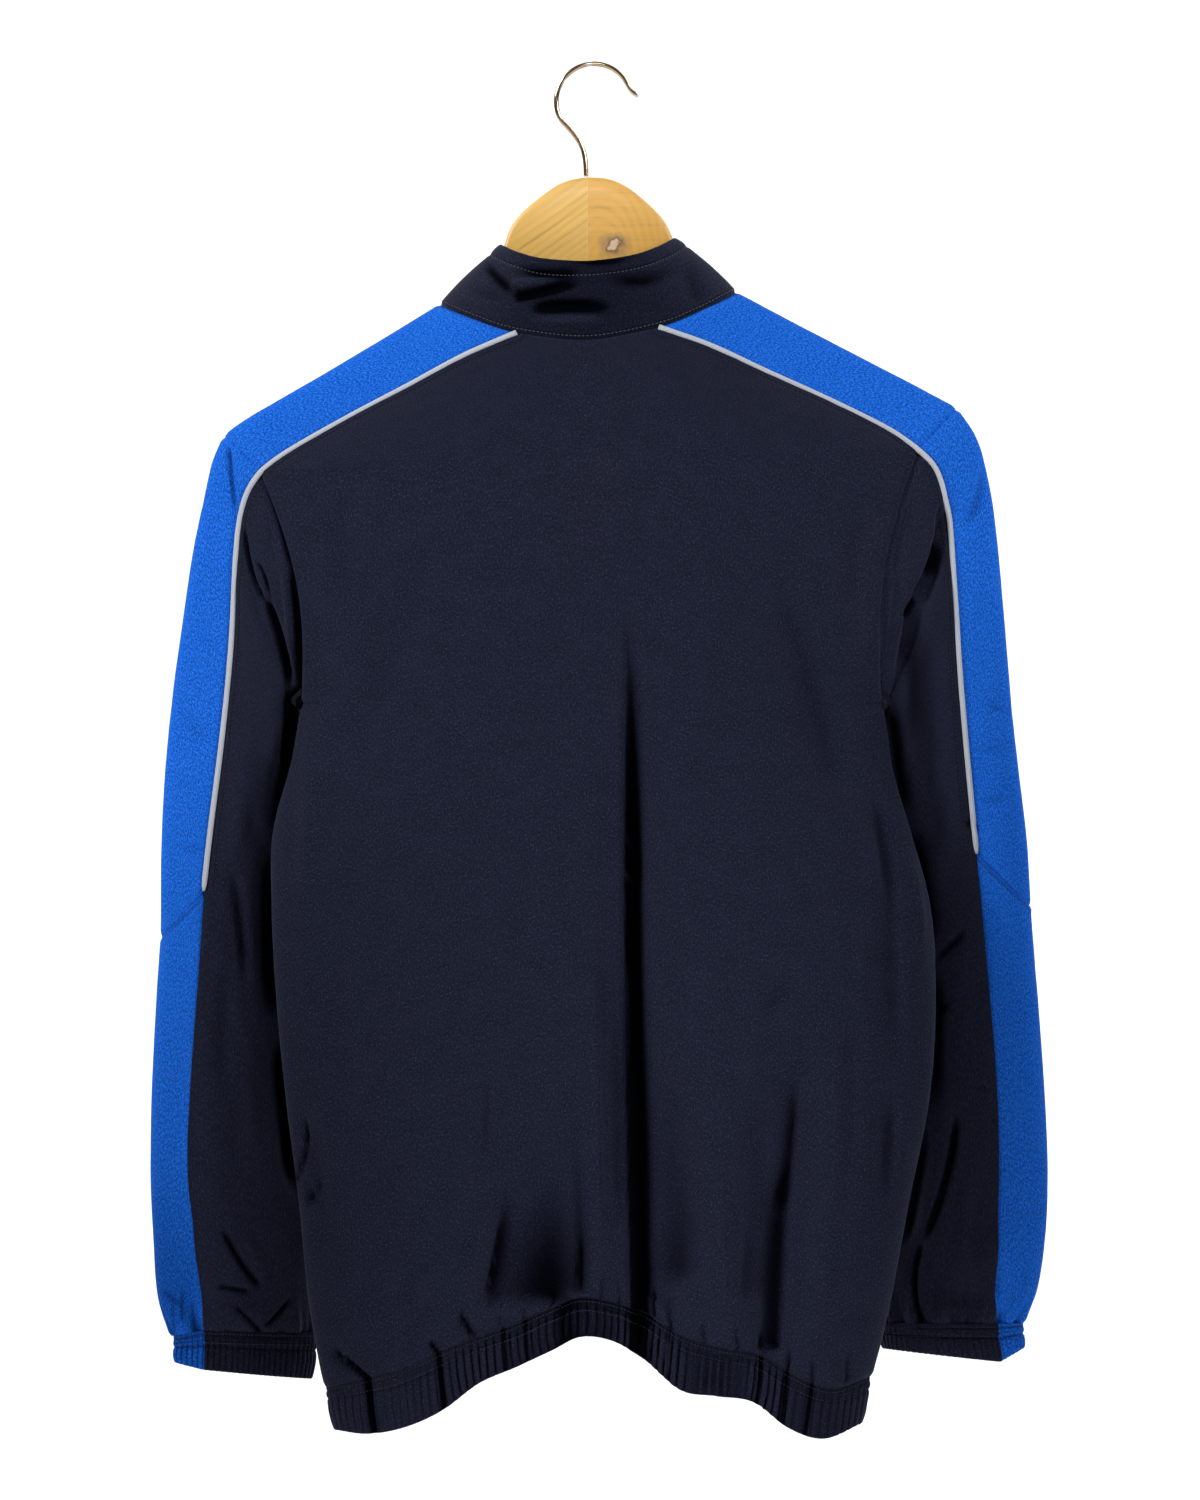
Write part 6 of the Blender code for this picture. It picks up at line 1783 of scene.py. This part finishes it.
def make_hanger_half(materials, side, name):
    """A wooden half: rounded sections lofted from the middle joint to the tip."""
    rows = HANGER_HALF
    tip = len(rows["half_y"]) - 1.0
    fine = graded(ARM_SECTIONS, 0.0, tip, ((tip, 0.6, 3.0), (0.0, 0.5, 1.0)))
    at = {key: through(np.arange(tip + 1), column, fine) for key, column in rows.items()}
    top, low = (np.stack((at[edge + "_x"], at[edge + "_z"]), axis=-1) for edge in ("top", "low"))
    place, reach, drop = HEAD_FLAT[side]
    height, tall, wider = HEAD_WIDE[side]
    top[:, 1] -= drop * bell((top[:, 0] - place) / reach)
    top[:, 0] += wider * bell((top[:, 1] - height) / tall)
    rounded = ((fine - tip + TIP_ROUND) / (TIP_ROUND + 0.01)).clip(0) ** 2
    half_y = at["half_y"] * np.sqrt(np.clip(1 - rounded, 0.02, 1))
    across = unit(low - top)
    middle, half = (top + low) / 2, np.linalg.norm(low - top, axis=-1) / 2
    angles = np.linspace(0, 2 * np.pi, ARM_SIDES, endpoint=False)
    wide, thick = (np.sign(c) * np.abs(c) ** (2 / ARM_POWER) for c in (np.cos(angles), np.sin(angles)))
    x, z = (middle[:, k, None] + across[:, k, None] * half[:, None] * wide for k in (0, 1))
    grid = hung(side * x, half_y[:, None] * thick, z)
    grid[..., 0] += side * HALVES_GAP * np.clip(1 - x / (5 * MM), 0, 1)
    index = numbered(grid)
    faces = quads(wrapped(index)).tolist() + [index[0, ::-1].tolist(), index[-1].tolist()]
    obj = add_object("hanger_wood_" + name, grid.reshape(-1, 3), faces, materials["wood_" + name])
    obj.data.set_sharp_from_angle(angle=WOOD_SHARP)
    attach(obj, "jacket")
    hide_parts("hanger_arm_" + name)


def make_hook(materials):
    centre_z = WIRE_RADIUS - HOOK_RADIUS
    points = [(x * MM, 0, z * MM) for x, z in HOOK_STEM]
    for angle in np.linspace(LOOP_START, LOOP_END, LOOP_STEPS + 1):
        points.append((HOOK_RADIUS * math.cos(angle), 0, centre_z + HOOK_RADIUS * math.sin(angle)))
    points += [(x * MM, 0, z * MM) for x, z in HOOK_TIP]
    path = smoothed(resampled(points, 1.0 * MM), HOOK_SMOOTHING)
    onward = unit(path[-1] - path[-2])
    path = np.concatenate((path, [path[-1] + onward * s * MM for s, _ in WIRE_END]))
    radius = np.full(len(path), WIRE_RADIUS)
    radius[-len(WIRE_END) :] *= [share for _, share in WIRE_END]
    hook = tube("hook_wire", path, radius, materials["chrome"], 24)
    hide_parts("hanger_hook")


# ---------------------------------------------------------------- materials


class Shader:
    """A material's node tree, with short calls to add and join its nodes."""

    def __init__(self, name, **values):
        self.material = bpy.data.materials.new(name)
        self.material.use_nodes = True
        self.tree = self.material.node_tree
        self.main = self.tree.nodes["Principled BSDF"]
        self.set(**values)

    def node(self, kind, **settings):
        node = self.tree.nodes.new("ShaderNode" + kind)
        for name, value in settings.items():
            setattr(node, name, value)
        return node

    def join(self, output, target):
        """Joins a node's output, or a plain value, to an input; a name is an input of the main node."""
        if isinstance(target, str):
            target = self.main.inputs[target]
        if hasattr(output, "links"):
            self.tree.links.new(output, target)
        else:
            target.default_value = output

    def fill(self, node, values):
        for name, value in values.items():
            self.join(value, node.inputs[name])
        return node

    def set(self, **values):
        for name, value in values.items():
            if "Color" in name or "Tint" in name:
                value = (*value, 1.0)
            self.main.inputs[name.replace("_", " ")].default_value = value

    def attribute(self, name, output="Vector"):
        return self.node("Attribute", attribute_name=name).outputs[output]

    def scaled(self, vector, scale, turn=(0, 0, 0), place=(0, 0, 0)):
        values = {"Vector": vector, "Scale": scale, "Rotation": turn, "Location": place}
        return self.fill(self.node("Mapping"), values).outputs["Vector"]

    def noise(self, vector, scale, detail=2.0, roughness=0.5):
        values = {"Vector": vector, "Scale": scale, "Detail": detail, "Roughness": roughness}
        return self.fill(self.node("TexNoise"), values).outputs["Fac"]

    def spread(self, value, low, high, to_low=0.0, to_high=1.0):
        values = {"Value": value, "From Min": low, "From Max": high, "To Min": to_low, "To Max": to_high}
        return self.fill(self.node("MapRange"), values).outputs["Result"]

    def math(self, operation, first, second=0.0):
        return self.fill(self.node("Math", operation=operation), {0: first, 1: second}).outputs["Value"]

    def mixed_sum(self, *parts):
        """The sum of outputs, each times its share."""
        total = None
        for output, share in parts:
            part = self.math("MULTIPLY", output, share)
            total = part if total is None else self.math("ADD", total, part)
        return total

    def ramp(self, value, *stops):
        node = self.fill(self.node("ValToRGB"), {"Fac": value})
        elements = node.color_ramp.elements
        while len(elements) < len(stops):
            elements.new(0.5)
        for element, (place, colour) in zip(elements, stops):
            element.position = place
            element.color = (*colour, 1.0)
        return node.outputs["Color"]

    def mix(self, share, first, second):
        """A blend of two colours; the second is always a plain one or an output."""
        node = self.fill(self.node("Mix", data_type="RGBA"), {"Factor": share})
        colours = [socket for socket in node.inputs if socket.type == "RGBA"]
        for socket, colour in zip(colours, (first, second)):
            self.join((*colour, 1.0) if isinstance(colour, tuple) else colour, socket)
        return next(socket for socket in node.outputs if socket.type == "RGBA")

    def bump(self, height, distance, strength=1.0, below=None):
        node = self.fill(self.node("Bump"), {"Height": height, "Distance": distance, "Strength": strength})
        if below is not None:
            self.join(below, node.inputs["Normal"])
        return node.outputs["Normal"]

    def distance(self, vector, place):
        """How far a vector is from a place."""
        node = self.node("VectorMath", operation="DISTANCE")
        return self.fill(node, {0: vector, 1: place}).outputs["Value"]


def shade(colour, share):
    return tuple(channel * share for channel in colour)


def cloth_material(name, colour, light, sheen, tint, shine=0.18):
    """Brushed knit: fine wales under a matte nap, with lighter fibres, a groove along topstitching, and
    painted shade in the groove and in the creases' valleys.
    """
    shader = Shader(name, Roughness=0.92, Sheen_Roughness=0.45, Sheen_Tint=tint)
    flat = shader.attribute("flat")
    nap = shader.noise(shader.scaled(flat, NAP_STRETCH), *NAP)
    wales = shader.noise(shader.scaled(flat, WALE_STRETCH), *WALES)
    fibre = shader.spread(nap, *NAP_RANGE)
    base = shader.ramp(fibre, *((place, shade(colour, share)) for place, share in KNIT_STOPS), (1.0, light))
    cloudy = shader.spread(shader.noise(flat, *CLOUDS), *CLOUD_RANGE, 0.0, CLOUD_SHARE)
    base = shader.mix(cloudy, base, light)
    # The topstitching's groove: a real dip, drawn by bump, and painted shade in its colour.
    away = shader.math("ABSOLUTE", shader.attribute("topstitch", "Fac"))
    groove = shader.spread(away, *GROOVE_RANGE)
    dark = shader.spread(groove, 0.0, 1.0, GROOVE_SHADE, 0.0)
    base = shader.mix(dark, base, shade(colour, GROOVE_COLOUR))
    # Painted shade in the creases' valleys and gathers: it darkens the colour and takes away sheen and
    # shine.
    deep = shader.attribute("painted_shade", "Fac")
    shader.join(shader.spread(deep, 0.0, 1.0, sheen, 0.0), "Sheen Weight")
    shader.join(shader.spread(deep, 0.0, 1.0, shine, PAINTED_SHADE_SHINE), "Specular IOR Level")
    painted_shade = shader.math("MULTIPLY", deep, PAINTED_SHADE_SHARE)
    shader.join(shader.mix(painted_shade, base, shade(colour, PAINTED_SHADE_COLOUR)), "Base Color")
    fuzz = shader.bump(nap, NAP_HEIGHT, KNIT_STRENGTH, shader.bump(wales, WALE_HEIGHT, KNIT_STRENGTH))
    shader.join(shader.bump(groove, GROOVE_DEPTH, GROOVE_STRENGTH, fuzz), "Normal")
    return shader.material


def thread_material(name, colour):
    shader = Shader(name, Roughness=0.7, Sheen_Weight=0.02, Specular_IOR_Level=0.2)
    strand = shader.noise(shader.node("TexCoord").outputs["Object"], STRAND_SCALE)
    shader.join(shader.ramp(strand, (0.3, shade(colour, 0.8)), (0.7, shade(colour, 1.2))), "Base Color")
    return shader.material


def piping_material(name):
    shader = Shader(name, Roughness=0.8, Sheen_Weight=0.2)
    slanted = shader.scaled(shader.attribute("flat"), PIPING_STRETCH, PIPING_SLANT)
    weave = shader.noise(slanted, PIPING_WEAVE_SCALE)
    shader.join(shader.ramp(weave, (0.25, PIPING_DARK), (0.75, PIPING_LIGHT)), "Base Color")
    shader.join(shader.bump(weave, PIPING_WEAVE_HEIGHT, 0.7), "Normal")
    return shader.material


def knot_place(knot):
    return (knot[0] * KNOT_SQUEEZE[0], 0.0, knot[1] * KNOT_SQUEEZE[2])


def wood_material(name, light, dark, turn, place, arched, knot=None):
    """Clear-varnished wood: bands of grain across the slanted arm, fine pores, and a knot on one half."""
    shader = Shader(name, Roughness=0.42, Coat_Weight=0.25, Coat_Roughness=0.25)
    coordinates = shader.node("TexCoord").outputs["Object"]
    along = shader.scaled(coordinates, (1.0, 1.0, 0.6 if arched else 1.0), (0, turn, 0), place)
    bend = shader.noise(shader.scaled(along, GRAIN_BEND), 1.0)
    rings = shader.node("TexWave", wave_type="RINGS" if arched else "BANDS")
    if arched:
        rings.rings_direction = "Y"
    else:
        rings.bands_direction = "Z"
    shader.join(along if arched else shader.scaled(along, GRAIN_BANDS), rings.inputs["Vector"])
    shader.fill(rings, GRAIN_WAVE)
    streak = shader.noise(shader.scaled(along, GRAIN_STREAKS), 1.0, 4.0, 0.6)
    pores = shader.noise(shader.scaled(along, GRAIN_PORES), 1.0)
    grain = shader.mixed_sum(*zip((rings.outputs["Fac"], streak, bend), GRAIN_SHARES))
    colour = shader.ramp(grain, *zip(GRAIN_STOPS, (light, shade(light, 0.86), dark)))
    colour = shader.mix(shader.spread(pores, *PORE_RANGE, 0.0, PORE_SHARE), colour, dark)
    if knot:
        away = shader.distance(shader.scaled(coordinates, KNOT_SQUEEZE), knot_place(knot))
        ragged = shader.math("MULTIPLY", shader.noise(coordinates, KNOT_RAGGED_SCALE), KNOT_RAGGED)
        near = shader.math("ADD", away, ragged)
        rimmed = shader.ramp(shader.spread(near, *KNOT_RANGE), *KNOT_COLOURS)
        colour = shader.mix(shader.spread(near, *KNOT_EDGE, 1.0, 0.0), colour, rimmed)
    shader.join(colour, "Base Color")
    shader.join(shader.bump(streak, GRAIN_HEIGHT, 0.35), "Normal")
    return shader.material


def metal_material(name, colour, roughness, wear, rim=None):
    shader = Shader(name, Base_Color=colour, Metallic=1.0)
    coordinates = shader.node("TexCoord").outputs["Object"]
    rub = shader.noise(coordinates, RUB_SCALE, 3.0)
    shader.join(shader.spread(rub, 0.35, 0.75, roughness, roughness + wear), "Roughness")
    # Painted reflections on the chrome: its colour turns to the dark glancing colour towards the edges, with
    # painted highlights round the glints' places.
    if rim:
        shader.set(Specular_Tint=rim)
        facing = shader.fill(shader.node("LayerWeight"), {"Blend": 0.5})
        painted_reflection = shader.mix(shader.spread(facing.outputs["Facing"], 0.3, 0.75), colour, rim)
        for x, z in PAINTED_GLINTS:
            painted_glint = shader.spread(shader.distance(coordinates, (x, 0.0, z)), *PAINTED_GLINT_RANGE, 0.9, 0.0)
            painted_reflection = shader.mix(painted_glint, painted_reflection, PAINTED_GLINT_COLOUR)
        shader.join(painted_reflection, "Base Color")
    return shader.material


def plain_material(name, colour, roughness):
    return Shader(name, Base_Color=colour, Roughness=roughness, Specular_IOR_Level=0.2).material


def backdrop_material(name, colour, roughness):
    """Matt paint on the side that faces the jacket; from behind, the backdrop is clear."""
    shader = Shader(name, Base_Color=colour, Roughness=roughness, Specular_IOR_Level=0.2)
    behind = shader.node("NewGeometry").outputs["Backfacing"]
    clear = shader.node("BsdfTransparent").outputs["BSDF"]
    mixed = shader.fill(shader.node("MixShader"), {0: behind, 1: shader.main.outputs["BSDF"], 2: clear})
    shader.join(mixed.outputs["Shader"], shader.tree.nodes["Material Output"].inputs["Surface"])
    return shader.material


def make_materials():
    """Every material by a short name, from tables of its name and values."""
    made = {key: cloth_material(*values) for key, values in KNITS.items()}
    made |= {key: thread_material(key, colour) for key, colour in THREADS.items()}
    made |= {key: plain_material(*values) for key, values in PLAIN.items()}
    made |= {key: wood_material(*values) for key, values in WOODS.items()}
    made |= {key: metal_material(*values) for key, values in METALS.items()}
    return made | {"piping": piping_material("white_piping")}


# ---------------------------------------------------------------- studio


def make_camera():
    data = bpy.data.cameras.new("camera")
    data.sensor_fit = "VERTICAL"
    data.sensor_height = CAMERA_SENSOR
    data.lens = CAMERA_SENSOR * CAMERA_DISTANCE / VIEW_HEIGHT
    data.clip_end = 100.0
    camera = bpy.data.objects.new("camera", data)
    camera.location = (VIEW_MIDDLE[0], CAMERA_DISTANCE, VIEW_MIDDLE[1])
    camera.rotation_euler = Euler((math.radians(90), 0, math.radians(180)))
    bpy.context.scene.collection.objects.link(camera)
    bpy.context.scene.camera = camera


def aimed(obj, place, aim):
    """Puts a lamp at a place, turned towards its aim."""
    obj.location = place
    obj.rotation_euler = (Vector(aim) - Vector(place)).to_track_quat("-Z", "Y").to_euler()
    bpy.context.scene.collection.objects.link(obj)


def add_light(name, place, aim, size, power):
    data = bpy.data.lights.new(name, "AREA")
    data.shape = "RECTANGLE"
    data.size, data.size_y = size
    data.energy = power
    aimed(bpy.data.objects.new(name, data), place, aim)


def make_stage():
    """A pale floor that curves up into a pale backdrop, and dark cards that the chrome mirrors."""
    side = np.linspace(-STAGE_HALF, STAGE_HALF, 9)
    profile = [(STAGE_FRONT, FLOOR_Z), (1.0, FLOOR_Z)]
    for a in np.linspace(0, math.pi / 2, 13):
        back, up = STAGE_CURVE * (1 - math.sin(a)), STAGE_CURVE * (1 - math.cos(a))
        profile.append((STAGE_BACK + back, FLOOR_Z + up))
    profile += [(STAGE_BACK, 1.5), (STAGE_BACK, STAGE_TOP)]
    grid = np.array([[(x, y, z) for x in side] for y, z in profile])
    faces = quads(numbered(grid)[:, ::-1]).tolist()
    white = backdrop_material("stage_white", STAGE_WHITE, 0.9)
    floor = add_object("floor", grid.reshape(-1, 3), faces, white)
    for number, (x, y, z, width, height, colour) in enumerate(CARDS):
        turns = ((-1, -1), (1, -1), (1, 1), (-1, 1))
        corners = [(x + across * width / 2, y, z + up * height / 2) for across, up in turns]
        material = plain_material(f"card_{number}_paint", colour, 0.9)
        card = add_object(f"card_{number}", corners, [(0, 1, 2, 3)], material)
        card.visible_camera = False  # so that none hides the jacket from another side


def light_stage():
    scene = bpy.context.scene
    scene.view_settings.view_transform = "Standard"
    world = bpy.data.worlds.new("studio")
    world.use_nodes = True
    background = world.node_tree.nodes["Background"]
    background.inputs["Color"].default_value = (*WORLD_COLOUR, 1.0)
    background.inputs["Strength"].default_value = WORLD_LIGHT
    scene.world = world
    for light in LIGHTS:
        add_light(*light)
    place, aim, width, power = SNOOT
    data = bpy.data.lights.new("snoot", "SPOT")
    data.spot_size, data.spot_blend = width, SNOOT_BLEND
    data.energy, data.shadow_soft_size = power, SNOOT_SIZE
    aimed(bpy.data.objects.new("snoot", data), place, aim)


# ---------------------------------------------------------------- the whole scene


def main():
    materials = make_materials()
    make_camera()
    make_stage()
    light_stage()
    make_back(materials)
    make_hem(materials, 1, 0, "hem_casing_back", "hem_cloth_back")
    make_collar(materials)
    for side, name in ((1, "left"), (-1, "right")):
        make_front(materials, side, name)
        make_shoulder(materials, side, name)
        make_hem(materials, -1, side, "hem_casing_front_" + name, "hem_cloth_front_" + name)
        halves = []
        for face, half in ((1, "back"), (-1, "front")):
            end = f"_{half}_{name}"
            halves.append(make_sleeve_half(materials, side, face, "sleeve_cloth" + end, "sleeve" + end))
            make_piping(materials, side, face, "piping_cord" + end, "piping" + end)
        make_underarm(materials, side, name, halves)
        make_stripe(materials, side, "upper", name)
        make_stripe(materials, side, "lower", name)
        make_cuff(materials, side, name)
        make_tape(materials, side, name)
        make_hanger_half(materials, side, name)
    make_teeth(materials)
    make_hook(materials)
    for name in ("zip_slider", "zip_pull"):
        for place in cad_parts[name].material_slots:
            place.material = materials["zip_metal"]


main()
